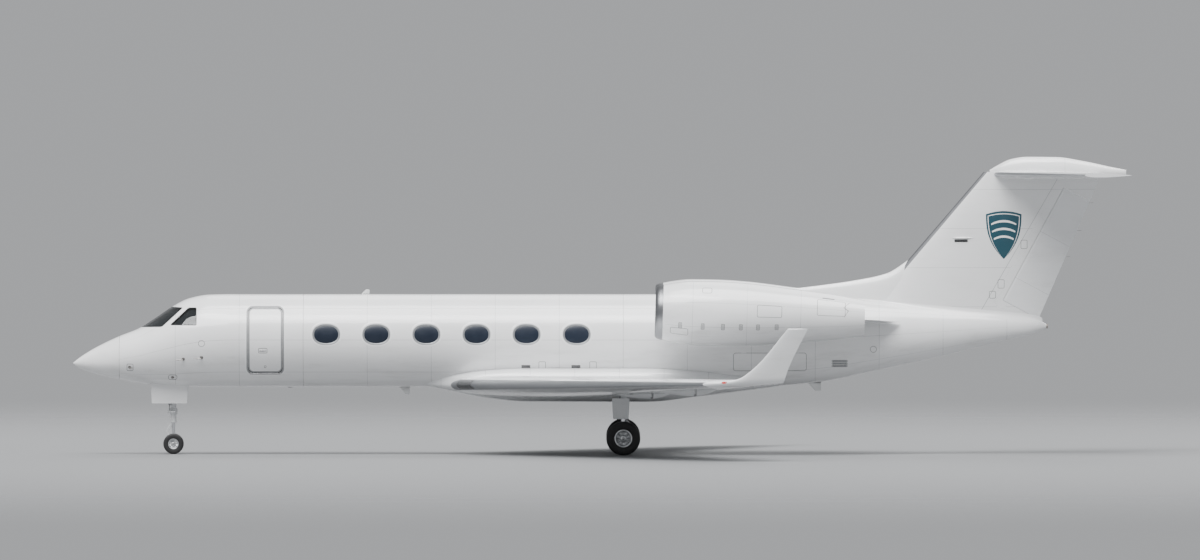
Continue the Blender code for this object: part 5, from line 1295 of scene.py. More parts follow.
def rod(shape, start, end, radius, number=0, sides=28, edge=0.004):
    """A round bar with broken edges, turned about its line."""
    start, end = np.array(start, float), np.array(end, float)
    long = np.linalg.norm(end - start)
    edge = min(edge, radius / 3, long / 3)
    line = [(0, 0), (radius - edge, 0), (radius, edge)]
    line += [(radius, long - edge), (radius - edge, long), (0, long)]
    stacked(shape, start, (end - start) / long, line, number, sides)


def bent_line(points, fine=10):
    """A smooth line through points: each coordinate is a cubic whose slope at a point runs between
    its neighbours."""
    points = np.array(points, float)
    slope = np.gradient(points, axis=0)
    t = np.linspace(0, 1, fine, endpoint=False)[:, None]
    a, b, m, n = points[:-1, None], points[1:, None], slope[:-1, None], slope[1:, None]
    made = (1 + 2 * t) * (1 - t) ** 2 * a + t * (1 - t) ** 2 * m
    made = made + t * t * (3 - 2 * t) * b + t * t * (t - 1) * n
    return np.concatenate([made.reshape(-1, 3), points[-1:]])


def hose(shape, points, radius, number=0, sides=10):
    """A round profile carried along a smooth line through points."""
    path = bent_line(points)
    up = across_of(unit(path[-1] - path[0]))
    shape.sheet(carried(path, circle(radius, sides), up), number)


def beam(shape, path, sizes, number=0, up=UP, power=0.35, sides=20):
    """A bar along a path: a squared ellipse at each point, as wide and as tall as that point's sizes."""
    edge = rounded(2 * math.pi * (np.arange(sides) + 0.5) / sides, power)
    sizes = np.broadcast_to(sizes, (len(path), 2))
    shape.sheet(carried(path, edge * sizes[:, None] / 2, up), number)


def plate(shape, corners, thick, number=0, bow=0.0, rounding=0.12):
    """A panel over four corners, in order: the bilinear mix of the corners, bowed by four times the
    product of each share and its complement, with its edge drawn round, and walled to a thickness."""
    a, b, c, d = (np.array(corner, float) for corner in corners)
    u, v = (x[..., None] for x in grid(np.linspace(-1, 1, 17), np.linspace(-1, 1, 17)))
    u, v = u * np.sqrt(1 - rounding * v**8 * u**8 / 2), v * np.sqrt(1 - rounding * u**8 * v**8 / 2)
    s, t = (u + 1) / 2, (v + 1) / 2
    normal = unit(np.cross(b - a, d - a))
    face = (1 - s) * (1 - t) * a + s * (1 - t) * b + s * t * c + (1 - s) * t * d + bow * (1 - u**2) * normal
    shape.wall(face, face + thick * normal, cells(17, 17), (number, number, number))


def scissors(shape, station, y, top, bottom, reach, wide):
    """Two forked links that meet at a knee: each tapers from its hinge to the knee."""
    middle, knee, t = (top + bottom) / 2, station + reach, np.linspace(0, 1, 6)[:, None]
    for hinge_z, way in ((top - 0.03, 1), (bottom + 0.03, -1)):
        for lean in (-wide, wide):
            start = at(station + 0.01, y + lean * 0.72, hinge_z)
            end = at(knee, y + lean * 0.25, middle + way * 0.012)
            beam(shape, start + t * (end - start), np.concatenate([0.026 + 0 * t, 0.058 - 0.02 * t], 1))
        rod(shape, at(station + 0.01, y - wide, hinge_z), at(station + 0.01, y + wide, hinge_z), 0.020)
    for long, radius in ((0.5 * wide, 0.022), (0.62 * wide, 0.011)):
        rod(shape, at(knee, y - long, middle), at(knee, y + long, middle), radius)


def main_at(aft, out, z):
    """A place by its distances aft and starboard of the port main leg, and its height."""
    return at(MAIN_STATION + aft, LEG_Y + out, z)


def bars(shape, place, rows):
    """Rods by rows of start, end, radius and finish, in a leg's own places."""
    for start, end, radius, number in rows:
        rod(shape, place(*start), place(*end), radius, number)


leg, piston, door = Shape(), Shape(), Shape()
stacked(leg, main_at(0, 0, LEG_TOP_Z), DOWN, LEG_LINE)
beam(leg, [main_at(-0.105, 0, 1.62), main_at(0.095, 0, 1.62)], (0.22, 0.10))
rod(leg, main_at(-0.11, 0, 1.60), main_at(0.10, 0, 1.60), 0.055)
foot, head = main_at(0, 0.06, 1.056), main_at(0, 0.60, 1.5456)
for low, high, radius, number in ((0, 0.62, 0.030, 0), (0.36, 0.60, 0.0345, 0), (0.55, 1, 0.021, 1)):
    rod(leg, foot + low * (head - foot), foot + high * (head - foot), radius, number)
bars(leg, main_at, [((-0.055, y, z), (0.055, y, z), 0.026, 0) for y, z in ((0.095, 1.088), (0.58, 1.527))])
for stay_z in (1.08, 1.36):
    rod(leg, main_at(0, -0.128, stay_z), main_at(0, -0.05, stay_z), 0.020)
    stacked(leg, main_at(0, 0, stay_z - 0.018), UP, CLAMP_LINE)
for shift, drop in ((0.030, 0.0), (-0.026, 0.02)):
    line = ((-0.06, 1, 1.56), (-0.105, 1, 1.40 - drop), (-0.108, 1, 1.10 - drop), (-0.122, 1, 0.99),
            (-0.165, 1.4, 0.78), (-0.13, 2.0, 0.60), (-0.072, 2.3, 0.50))
    hose(leg, [main_at(aft, share * shift, z) for aft, share, z in line], 0.009, 2)
for clip_z in (1.30, 1.05):
    beam(leg, [main_at(-0.078, 0, clip_z), main_at(-0.118, 0, clip_z)], (0.09, 0.016), 1)
leg.pair("main_gear_leg_*", [GEAR_PAINT, CHROME, HOSE], slot="gear_paint", stands_for=["main_leg_*"])
stacked(piston, main_at(0, 0, PISTON_TOP), DOWN, PISTON_LINE, 1)
stacked(piston, main_at(0, 0, PISTON_TOP), DOWN, PISTON_FOOT)
for long, radius, number in ((0.083, 0.078, 0), (0.20, 0.038, 1)):
    rod(piston, MAIN_CENTRE - long * SIDEWAYS, MAIN_CENTRE + long * SIDEWAYS, radius, number)
for way in (-SIDEWAYS, SIDEWAYS):
    face = MAIN_CENTRE + 0.084 * way
    stacked(piston, face, way, BRAKE_LINE, 2, 48)
    for bearing in 2 * math.pi * (np.arange(6) + 0.5) / 6:
        spot = face + 0.112 * np.array((math.cos(bearing), 0, math.sin(bearing)))
        rod(piston, spot - 0.016 * way, spot + 0.004 * way, 0.024, 0, 16)
scissors(piston, MAIN_STATION + 0.06, LEG_Y, 0.93, 0.50, 0.21, 0.045)
piston.pair("main_gear_piston_*", [GEAR_PAINT, CHROME, BRAKE], slot="gear_steel",
            stands_for=["main_piston_*"])
near, far, low, high, skin_y = -0.295, 0.165, 0.935, 1.470, -0.142
corners = ((near + 0.03, skin_y, low), (far - 0.03, skin_y, low), (far, skin_y, high), (near, skin_y, high))
plate(door, [main_at(*corner) for corner in corners], 0.010, bow=-0.006)
for rib_z in (1.08, 1.36):
    rib = [main_at(aft, skin_y + 0.014, rib_z) for aft in (near + 0.05, far - 0.05)]
    beam(door, rib, (0.03, 0.014), 1, SIDEWAYS)
door.pair("main_gear_panel_*", [WING_PAINT, GEAR_PAINT], slot="wing_paint", stands_for=["main_gear_door_*"])

# Nose landing gear
# The leg hangs from a trunnion across its bay with a drag brace ahead. Below the steering
# collar the chromed piston, the scissors and the axle all turn together.
STEER_TOP, BAY_ROOF = 0.86, 2.03
# Lines of (radius, distance down)
NOSE_LEG_LINE = ((0, 0), (0.070, 0), (0.074, 0.01), (0.074, 0.84), (0.098, 0.85), (0.104, 0.86),
                 (0.104, 0.99), (0.098, 1.00), (0.078, 1.01), (0.074, 1.02), (0.074, 1.13), (0.070, 1.169),
                 (0, 1.169))
COLLAR_LINE = ((0, 0), (0.083, 0), (0.085, 0.004), (0.085, 0.044), (0.080, 0.05), (0.046, 0.052), (0, 0.052))
FORK_LINE = ((0, 0.04), (0.044, 0.05), (0.044, 0.42), (0, 0.42))
FORK_FOOT = ((0, 0.41), (0.056, 0.45), (0.056, 0.52), (0.045, 0.56), (0, 0.56))


def nose_at(aft, y, z):
    """A place by its distance aft of the nose leg."""
    return at(NOSE_STATION + aft, y, z)


def belly_z(station, y):
    """The height of the skin under a place: below the widest line by the drop there, times the root of
    one less the square of the share across."""
    _, bottom, half, wide = hull_sizes(np.asarray(station))
    return wide - (wide - bottom) * np.sqrt(1 - (y / half) ** 2)


leg, fork, liner, door = Shape(), Shape(), Shape(), Shape()
stacked(leg, nose_at(0, 0, BAY_ROOF - 0.0005), DOWN, NOSE_LEG_LINE)
bars(leg, nose_at, (
    ((0, -0.25, 1.93), (0, 0.25, 1.93), 0.048, 0),
    ((-0.02, 0, 1.22), (-0.30, 0, 1.65), 0.034, 0),
    ((-0.30, 0, 1.65), (-0.52, 0, 2.01), 0.030, 0),
    ((-0.30, -0.06, 1.65), (-0.30, 0.06, 1.65), 0.028, 0),
    ((-0.05, -0.055, 1.235), (-0.05, 0.055, 1.235), 0.030, 0),
))
for way in (-1, 1):
    bars(leg, nose_at, (
        ((0.02, way * 0.135, 1.09), (-0.16, way * 0.135, 1.09), 0.026, 0),
        ((0.07, way * 0.135, 1.09), (0.02, way * 0.135, 1.09), 0.014, 1),
        ((-0.02, way * 0.09, 1.09), (-0.02, way * 0.15, 1.09), 0.030, 0),
    ))
    line = ((-0.05, 0.05, 1.75), (-0.09, 0.05, 1.50), (-0.10, 0.060, 1.30), (-0.11, 0.105, 1.19),
            (-0.10, 0.130, 1.11))
    hose(leg, [nose_at(aft, way * y, z) for aft, y, z in line], 0.007, 2)
leg.made("nose_gear_leg", [GEAR_PAINT, CHROME, HOSE], slot="gear_paint", stands_for=["nose_leg"])
for line, number in ((COLLAR_LINE, 0), (FORK_LINE, 1), (FORK_FOOT, 0)):
    stacked(fork, nose_at(0, 0, STEER_TOP), DOWN, line, number)
for long, radius, number in ((0.054, 0.058, 0), (0.14, 0.026, 1)):
    rod(fork, NOSE_CENTRE - long * SIDEWAYS, NOSE_CENTRE + long * SIDEWAYS, radius, number)
beam(fork, [NOSE_CENTRE + (aft, 0, 0.015) for aft in (-0.119, -0.04)], (0.058, 0.068), power=0.25)
scissors(fork, NOSE_STATION - 0.045, 0, 0.835, 0.33, -0.13, 0.030)
fork.made("nose_gear_fork", [GEAR_PAINT, CHROME], "nose_steering", "gear_steel", ["steer_fork"])
front_s, rear_s, half, roof = BAY_FRONT + 0.004, BAY_REAR - 0.004, BAY_HALF - 0.004, BAY_ROOF - 0.002
corners = np.array([(front_s, -half), (rear_s, -half), (rear_s, half), (front_s, half)])
t = np.linspace(0, 1, 12, endpoint=False)[:, None]
station, y = np.concatenate([a + t * (b - a) for a, b in zip(corners, np.roll(corners, -1, 0))]).T
low = belly_z(station, y) + 0.004
liner.sheet(xyz(station - LENGTH / 2, y, low + np.linspace(0, 1, 5)[:, None] * (roof - low)), ends=False)
liner.add(xyz(corners[:, 0] - LENGTH / 2, corners[:, 1], roof), [np.array([[0, 1, 2, 3]])])
for rib_s in np.linspace(BAY_FRONT + 0.16, BAY_REAR - 0.16, 5):
    if abs(rib_s - NOSE_STATION) > 0.10:
        beam(liner, [at(rib_s, -0.262, 2.012), at(rib_s, 0.262, 2.012)], (0.03, 0.03))
start, end = BAY_REAR - 0.02, BAY_FRONT + 0.1
pipe = [at(start, -0.20, 1.98), nose_at(0.2, -0.21, 1.97), nose_at(0, -0.22, 1.99), at(end, -0.21, 1.98)]
hose(liner, pipe, 0.010, 1)
hose(liner, [at(start, 0.19, 1.98), nose_at(0.2, 0.20, 1.985), at(end, 0.20, 1.98)], 0.008, 1)
liner.made("nose_bay_liner", [GEAR_PAINT, HOSE], slot="gear_paint")
near, far, low, outer_y = BAY_FRONT + 0.045, BAY_REAR - 0.045, 1.31, -BAY_HALF - 0.047
heads = [at(station, outer_y, belly_z(station, outer_y) - 0.004) for station in (far, near)]
feet = [at(near + 0.02, outer_y, low), at(far - 0.02, outer_y, low)]
plate(door, [*feet, *heads], 0.007, bow=-0.004, rounding=0.04)
for arm_s in (near + 0.15, far - 0.15):
    arm = ((0.008, 1.40), (0.010, 1.66), (0.035, 1.80), (0.055, 1.86))
    beam(door, [at(arm_s, outer_y + inward, z) for inward, z in arm], (0.03, 0.016), 1, SIDEWAYS)
door.pair("nose_gear_panel_*", [FUSELAGE_PAINT, GEAR_PAINT], slot="wing_paint",
          stands_for=["nose_gear_door_*"])

# Flap tracks
# Each flap hangs on two brackets with pivots below it, in painted canoe fairings split at the
# hinge: the front halves are bolted to the wing, and the rear halves swing with the flap.
FLAP_DROP, BOSS_HALF, EAR_WIDE = 0.20, 0.030, 0.022
# Distance behind the pivot, half width, half height and the middle's height over the pivot
FRONT_CANOE = np.array([
    (-0.95, 0.015, 0.020, 0.10),
    (-0.60, 0.050, 0.085, 0.10),
    (-0.30, 0.068, 0.118, 0.10),
    (-0.03, 0.072, 0.130, 0.10),
])
REAR_CANOE = np.array([
    (0.03, 0.072, 0.130, 0.10),
    (0.25, 0.062, 0.105, 0.11),
    (0.45, 0.042, 0.065, 0.13),
    (0.60, 0.012, 0.020, 0.155),
])


def flap_place(share, behind, across, above=0.0):
    """A point near a flap pivot, in the pivot's own directions."""
    pivot = WING.skin(FLAP.fraction, share, 0) - FLAP.up * FLAP_DROP
    return FLAP.place(across, behind, above, pivot)


def canoe(shape, share, table):
    """Rings of half width times the cosine and half height times the sine, square to the way aft."""
    behind = np.linspace(table[0, 0], table[-1, 0], 22)[:, None]
    half, tall, middle = (steady(behind, table, column) for column in (1, 2, 3))
    across, up = circle(1.0, 32).T
    shape.sheet(flap_place(share, behind, half * across, middle + tall * up))


fixed, moving = Shape(), Shape()
for share in (0.24, 0.53):
    canoe(fixed, share, FRONT_CANOE)
    canoe(moving, share, REAR_CANOE)
    rod(moving, flap_place(share, 0, -BOSS_HALF), flap_place(share, 0, BOSS_HALF), 0.022, 1)
    beam(moving, [flap_place(share, 0, 0), flap_place(share, 0.05, 0)], (2 * BOSS_HALF, 0.024), 1, FLAP.up)
    for way in (-1, 1):
        near, far = way * (BOSS_HALF + 0.0005), way * (BOSS_HALF + EAR_WIDE)
        rod(fixed, flap_place(share, 0, near), flap_place(share, 0, far), 0.022, 1)
        rod(fixed, flap_place(share, 0, far), flap_place(share, 0, far + way * 0.008), 0.011, 1, 6)
        lug = [flap_place(share, behind, (near + far) / 2) for behind in (-0.05, -0.004)]
        beam(fixed, lug, (EAR_WIDE, 0.024), 1, FLAP.up)
fixed.pair("flap_track_front_*", [WING_PAINT, BOLT_METAL], slot="wing_paint")
moving.pair("flap_track_rear_*", [WING_PAINT, BOLT_METAL], "*_flap", "wing_paint")

# Fin root fairing
# A formed aluminium fillet, screwed down over the joint of the fin and the tail, on each side.
# Station and share of the fillet's full size
ROOT_GROWTH = np.array(((20.2, 0.04), (21.2, 0.45), (22.6, 1.0)))


def fin_root(share, side):
    """From the fin's skin down and out to the hull: a quarter turn of an ellipse whose centre lies
    out from the fin and up from the hull."""
    station = np.linspace(20.2, 25.02, 60)[:, None]
    top, _, half, wide = hull_sizes(station)
    u, v = FIN.find(xyz(station - LENGTH / 2, 0, top + 0.09))
    fin_half = FIN.skin(np.clip(u, 0.002, 1), v, 1)[..., 1] * (u < 1.0) + 0.004
    fin_half = np.maximum(fin_half, steady(np.clip(station, 17.3, 21.8), DORSAL, 2) * (station < 21.5))
    grown = steady(np.clip(station, 20.2, 22.6), ROOT_GROWTH, 1)
    reach = 0.085 * np.clip((25.05 - station) / 0.6, 0.15, 1) * grown
    turn = share * math.pi / 2
    out = fin_half + reach * (1 - np.cos(turn)) - 0.004 * (share < 0.01)
    base = wide + (top - wide) * np.sqrt(np.clip(1 - (out / half) ** 2, 0, 1))
    return xyz(station - LENGTH / 2, side * out, base + 0.10 * grown * (1 - np.sin(turn)) + 0.0015)


root = Shape()
for side in (-1, 1):
    root.film(fin_root(np.linspace(0, 1, 9), side))
root.made("fin_root_fairing", FIN_PAINT, slot="wing_paint")

# Aerials and jacking pads
# Blade aerials of moulded composite, with a flat foot that four screws hold, and round steel pads
# that take the jacks.
def blade_aerial(shape, station, way, tall, long):
    """Foil sections from the skin to a swept tip: the front moves aft by 0.62 of the length."""
    rise = np.linspace(0, 1, 12)
    skin = hull_point(station + long / 2, way * math.pi / 2)
    front = xyz(skin[0] - long / 2 + 0.62 * long * rise**0.9, 0, skin[2] + way * (tall * rise - 0.01))
    chord = long * (1 - 0.58 * rise) * np.sqrt(1 - 0.5 * np.clip(rise - 0.9, 0, 1) / 0.1)
    shape.sheet(foil_ring(front, front + xyz(chord, 0, 0), SIDEWAYS[None], 0.11, 12))
    foot = [skin + (x, 0, way * -0.004) for x in (-long * 0.56, long * 0.56)]
    beam(shape, foot, (0.075, 0.016), 1, power=0.6)


AERIAL_WHITE = paint("aerial_white", (0.80, 0.81, 0.81), 1.0)
PAD_LINE = ((0, 0), (0.047, 0), (0.055, 0.008), (0.055, 0.02), (0.085, 0.022), (0.085, 0.03), (0, 0.03))
aerials, pads = Shape(), Shape()
for aerial in ((7.42, 1, 0.13, 0.22), (8.42, -1, 0.20, 0.26), (18.95, -1, 0.22, 0.34)):
    blade_aerial(aerials, *aerial)
aerials.made("blade_aerials", [AERIAL_WHITE, SEAL], slot="composite_paint")
wing_pad = WING.skin(0.60, 0.33, -1) - (0, 0, 0.02)
for spot in (at(5.60, 0, 1.711), wing_pad, wing_pad * (1, -1, 1)):
    stacked(pads, spot, UP, PAD_LINE)
pads.made("jacking_pads", BOLT_METAL, slot="gear_steel")

# Doors, hatches, vents and ports of the hull
# Flush panels show as fine dark outlines, and vents as white slats in bright frames over a dark sheet of
# painted shade for the opening.
# Rows of (distance out from an outline, height off the skin)
LINE = ((-0.005, 0.0009), (0.005, 0.0009))
FRAME = ((-0.004, 0.001), (0.0, 0.004), (0.012, 0.004), (0.016, 0.0))
SLOT_FRAME = ((-0.004, 0.001), (0.0, 0.004), (0.010, 0.004), (0.014, 0.0))
DOOR_BOX = (DOOR_FRONT, DOOR_REAR, DOOR_SILL, HEAD_SKIN)


def outline(box, corner, pitch=0.05):
    """A rectangle with round corners, as points of (station, height) and their outward ways: quarter
    turns about the corners' centres, joined by evenly split sides."""
    front, rear, low, high = box
    centres = np.array([
        (rear - corner, high - corner),
        (front + corner, high - corner),
        (front + corner, low + corner),
        (rear - corner, low + corner),
    ])
    turn = np.arange(4)[:, None] * math.pi / 2 + np.linspace(0, math.pi / 2, 8)
    ways = np.stack([np.cos(turn), np.sin(turn)], -1)
    spots = centres[:, None] + corner * ways
    points, outward = [], []
    for k in range(4):
        start, end = spots[k, -1], spots[(k + 1) % 4, 0]
        t = np.linspace(0, 1, int(np.linalg.norm(end - start) / pitch) + 2)[1:-1, None]
        points += [spots[k], start + t * (end - start)]
        outward += [ways[k], np.broadcast_to(ways[k, -1], (len(t), 2))]
    return np.concatenate(points), np.concatenate(outward)


def starboard(station, z, lift=0.0):
    return on_hull(station, z, lift, False)


def banded(shape, box, corner, rows=LINE, number=0, skin=on_hull):
    """Strips on a skin beside an outline."""
    points, ways = outline(box, corner)
    shape.sheet([skin(*(points + grow * ways).T, lift) for grow, lift in rows], number, ends=False)


def covered(shape, box, lift, number=0, skin=on_hull):
    """A patch of a skin's own surface, a little off it."""
    station, z = grid(np.linspace(*box[:2], 5), np.linspace(*box[2:], 5))
    shape.film(skin(station, z, lift), number)


# A whiter paint than the skin, for white trim and print; round the cabin windows it is a painted highlight.
WHITE_TRIM_AND_HALO = paint("white_trim_and_halo_highlight", (0.92, 0.925, 0.93), 0.15)
# Grey for the grilles aft, and painted shade in a band on either side of the entry door's gap that widens its
# dark line.
GRILLE_GREY_AND_GAP_SHADE = two_tones("grille_grey_and_door_gap_shade", (0.25, 0.26, 0.27), (0.30, 0.305, 0.31), 0.40, 12.0, depth=0.0001)
# Painted shade: a dark sheet laid in vents, slots, an inlet, a handle recess and a pipe's end, for the shade
# inside them.
RECESS_SHADE_DARK = two_tones("recess_painted_shade", (0.025, 0.026, 0.028), (0.05, 0.05, 0.052), 0.6)
surrounds, marks = Shape(), Shape()
# Painted shade: a grey band round the doorway, along the outside of the door's gap.
banded(surrounds, DOOR_BOX, DOOR_CORNER, ((0.003, 0.001), (0.040, 0.001)))
surrounds.made("door_gap_shade_band", GRILLE_GREY_AND_GAP_SHADE, slot="fuselage_paint")
banded(marks, DOOR_BOX, DOOR_CORNER, ((0.046, 0.001), (0.075, 0.001)), 2)
for skin in (on_hull, starboard):
    # Vents and panels under the last two windows
    for slot_s, panel_s in ((11.69, 12.11), (12.98, 13.42)):
        slot = (slot_s - 0.12, slot_s + 0.12, 2.225, 2.315)
        # The vent's opening is a dark sheet of painted shade.
        covered(marks, slot, 0.0012, 1, skin)
        banded(marks, slot, 0.012, FRAME, 2, skin)
        for slat_z in 2.237 + 0.022 * np.arange(4):
            beam(marks, skin((slot_s - 0.115, slot_s + 0.115), slat_z, 0.003), (0.011, 0.003), 2)
        banded(marks, (panel_s - 0.085, panel_s + 0.085, 2.20, 2.395), 0.025, skin=skin)
    banded(marks, (20.57, 20.73, 2.63, 2.79), 0.08, skin=skin)
    banded(marks, (3.25, 3.41, 2.785, 2.945), 0.08, skin=skin)
    for low in 2.26 + 0.065 * np.arange(3):
        banded(marks, (19.58, 19.98, low, low + 0.04), 0.018, skin=skin)
        covered(marks, (19.60, 19.96, low + 0.008, low + 0.032), 0.001, 3, skin)
# Baggage door on the port side with its hinges and handle, and two service panels at the nose
banded(marks, (17.04, 18.92, 2.16, 2.62), 0.06)
for hinge_s in (17.30, 18.00, 18.66):
    beam(marks, on_hull((hinge_s - 0.07, hinge_s + 0.07), 2.628, 0.004), (0.016, 0.014), 2)
# The handle's recess is a dark sheet of painted shade.
covered(marks, (17.90, 18.04, 2.235, 2.265), 0.0015, 1)
banded(marks, (17.88, 18.06, 2.222, 2.278), 0.02, ((-0.004, 0.0012), (0.004, 0.0012)))
banded(marks, (2.47, 2.69, 1.93, 2.05), 0.05)
banded(marks, (1.40, 1.56, 2.16, 2.33), 0.03)
marks.made("hull_panels_and_vents", [SEAL, RECESS_SHADE_DARK, WHITE_TRIM_AND_HALO, GRILLE_GREY_AND_GAP_SHADE], slot="fuselage_paint")

# Cowl details
# Flush hook latches along each cowl's lower split, access doors, the reverser's door and slot, whose opening
# is a dark sheet of painted shade, and a stepped panel joint.
COWL_SLOT = (4.28, 4.60, 0.505, 0.55)
COWL_PANELS = ((0.40, 0.85, 1.66, 1.86), (1.20, 1.44, 0.52, 0.70), (4.16, 4.88, 0.62, 1.20),
               (2.62, 3.25, 0.98, 1.30))
ZIGZAG = ((4.98, 0.62), (4.84, 0.86), (4.96, 0.98), (4.86, 1.22))


def on_cowl(behind, bearing, lift=0.0):
    """The nacelle's skin at a distance behind the lip and an arc length round from the top."""
    radius = np.interp(behind, *NACELLE_LINE.T) + lift
    out = engine_out(np.asarray(bearing) / 0.80)
    return ENGINE_START + np.asarray(behind)[..., None] * ENGINE_AXIS + radius[..., None] * out


LATCH_GREY = two_tones("latch_grey", (0.46, 0.465, 0.47), (0.52, 0.525, 0.53), 0.35, 14.0, depth=0.0001)
marks = Shape()
for behind in (0.62, 1.20, 1.72, 2.18, 2.62, 3.10):
    covered(marks, (behind, behind + 0.055, 1.52, 1.64), 0.0015, 3, skin=on_cowl)
    banded(marks, (behind - 0.012, behind + 0.067, 1.505, 1.655), 0.01, skin=on_cowl)
for box in COWL_PANELS:
    banded(marks, box, 0.04, skin=on_cowl)
# The reverser's slot is a dark sheet of painted shade.
covered(marks, COWL_SLOT, 0.0015, 1, skin=on_cowl)
banded(marks, COWL_SLOT, 0.02, SLOT_FRAME, 2, skin=on_cowl)
for ends in zip(ZIGZAG, ZIGZAG[1:]):
    beam(marks, on_cowl(*np.transpose(ends), 0.003), (0.010, 0.006), up=-SIDEWAYS)
marks.pair("cowl_details_*", [SEAL, RECESS_SHADE_DARK, COWL_PAINT, LATCH_GREY], slot="composite_paint")

# Window doublers
# Thin plates bonded round each cabin window, in a whiter paint than the skin: a painted highlight that reads
# as a pale halo.
HALO_ROWS = ((0.016, 0.0008), (0.019, 0.0022), (0.061, 0.0022), (0.065, 0.0006))
oval_rings(HALO_ROWS).pair("window_doublers_*", WHITE_TRIM_AND_HALO, slot="fuselage_paint")

# Probes and sensors
# Heated pitot masts and vanes of bare steel on round foot plates, at the sides of the nose.
PROBE_METAL = steel_finish("probe_steel", (0.30, 0.29, 0.28), 0.28, 0.5)
FOOT_LINE = ((0, 0), (0.044, 0), (0.044, 0.007), (0.040, 0.010), (0, 0.010))
PITOT_LINE = ((0, 0), (0.011, 0.01), (0.012, 0.10), (0.008, 0.19), (0.005, 0.20), (0.004, 0.195), (0, 0.19))
PROBES = ((3.33, 2.504, "pitot"), (2.86, 2.46, "pitot"), (1.47, 2.246, "vane"), (2.58, 1.988, "stub"))
probes = Shape()
for station, z, kind in PROBES:
    spot = on_hull(station, z)
    out = hull_outward(np.array([[station, math.pi - hull_angle(station, z)]]))[0]
    out = -out * np.sign(out[1])
    ahead = unit(np.cross(out, np.cross((-1.0, 0.0, 0.0), out)))
    stacked(probes, spot - 0.004 * out, out, FOOT_LINE)
    if kind == "pitot":
        mast = [spot, spot + 0.05 * out + 0.02 * ahead, spot + 0.085 * out + 0.06 * ahead]
        beam(probes, mast, [(0.014, 0.060), (0.013, 0.044), (0.014, 0.030)], 0, ahead, 0.9)
        start = spot + 0.085 * out - 0.005 * ahead
        probes.sheet(turned(PITOT_LINE, start, ahead, out, 20), ends=False)
    elif kind == "vane":
        rod(probes, spot, spot + 0.035 * out, 0.018)
        vane = [spot + 0.03 * out + 0.02 * ahead, spot + 0.03 * out - 0.085 * ahead]
        beam(probes, vane, [(0.004, 0.03), (0.003, 0.045)], 0, out)
    else:
        rod(probes, spot, spot + 0.03 * out, 0.016)
        rod(probes, spot + 0.03 * out - 0.012 * ahead, spot + 0.03 * out + 0.03 * ahead, 0.012)
probes.pair("nose_probes_*", PROBE_METAL, slot="gear_steel")

# Fin inlets and tail exhaust
# A flush ram-air inlet under a rounded lip on each side of the fin, its mouth a dark sheet of painted shade,
# access panels along the rudder's spar, and the exhaust of the small turbine in the tail's end, closed at its
# inner end by a dark disc of painted shade.
INLET_BOX = (22.74, 23.10, 5.455, 5.545)
INLET_FRAME = ((-0.006, 0.001), (0.0, 0.004), (0.010, 0.004), (0.016, 0.0))
EXHAUST_LINE = ((0.052, 0), (0.060, 0.012), (0.060, 0.10), (0.054, 0.106), (0.048, 0.10), (0.046, 0.0))
AFT, SPAR_SHARE = np.eye(3)[0], 0.655


def on_fin(station, z, lift=0.0):
    """The port skin of the fin at a station and a height, lifted off it."""
    u, v = FIN.find(xyz(np.asarray(station) - LENGTH / 2, 0, z))
    return FIN.skin(np.clip(u, 0, 1), v, -1) - lift * SIDEWAYS


inlet, exhaust = Shape(), Shape()
# The inlet's mouth is a dark sheet of painted shade.
covered(inlet, INLET_BOX, 0.0012, 1, skin=on_fin)
banded(inlet, INLET_BOX, 0.03, INLET_FRAME, skin=on_fin)
swell = np.sin(np.linspace(0.25, math.pi - 0.15, 9))[:, None]
beam(inlet, on_fin(np.linspace(22.70, 23.22, 9), 5.575), swell * (0.050, 0.075), 0, -SIDEWAYS, 0.8)
for low, high, shift in ((5.30, 5.52, 0.0), (4.28, 4.50, 0.0), (4.02, 4.20, -0.06)):
    lead, trail = (edge[0] for edge in fin_edge((low + high) / 2))
    near = lead + SPAR_SHARE * (trail - lead) + shift
    banded(inlet, (near + 0.04, near + 0.20, low, high), 0.03, LINE, 2, skin=on_fin)
inlet.pair("fin_inlets_*", [FIN_PAINT, RECESS_SHADE_DARK, SEAL], slot="wing_paint")
exhaust.sheet(turned(EXHAUST_LINE, at(25.055, 0, 3.30), AFT, UP, 40), ends=False)
# A dark disc of painted shade closes the pipe's inner end.
stacked(exhaust, at(25.06, 0, 3.30), AFT, [(0, 0), (0.049, 0.0)], 1)
exhaust.made("tail_turbine_exhaust", [HOT_METAL, RECESS_SHADE_DARK], slot="engine_steel")

# Fin badge
# A plain shield of dark teal film on both sides of the fin, with a pale border line and three pale
# arched bands.
TEAL = paint("teal_film", (0.008, 0.062, 0.090), 0.1)
BADGE_S, BADGE_Z, BADGE_WIDE, BADGE_HIGH = 24.02, 5.61, 0.46, 0.58
badge = Shape()


def badge_film(across, rise, lift=0.0014, number=1):
    """Film on the fin: at a share of the height the shield is as wide as one less the 2.6 power of how
    far down it is, and its lines arch up by a share of one less the square across."""
    wide = 1 - ((1 - rise) / 2) ** 2.6
    height = rise + 0.07 * (1 - across**2) * (rise + 1)
    badge.film(on_fin(BADGE_S + BADGE_WIDE * across * wide, BADGE_Z + BADGE_HIGH * height, lift), number)


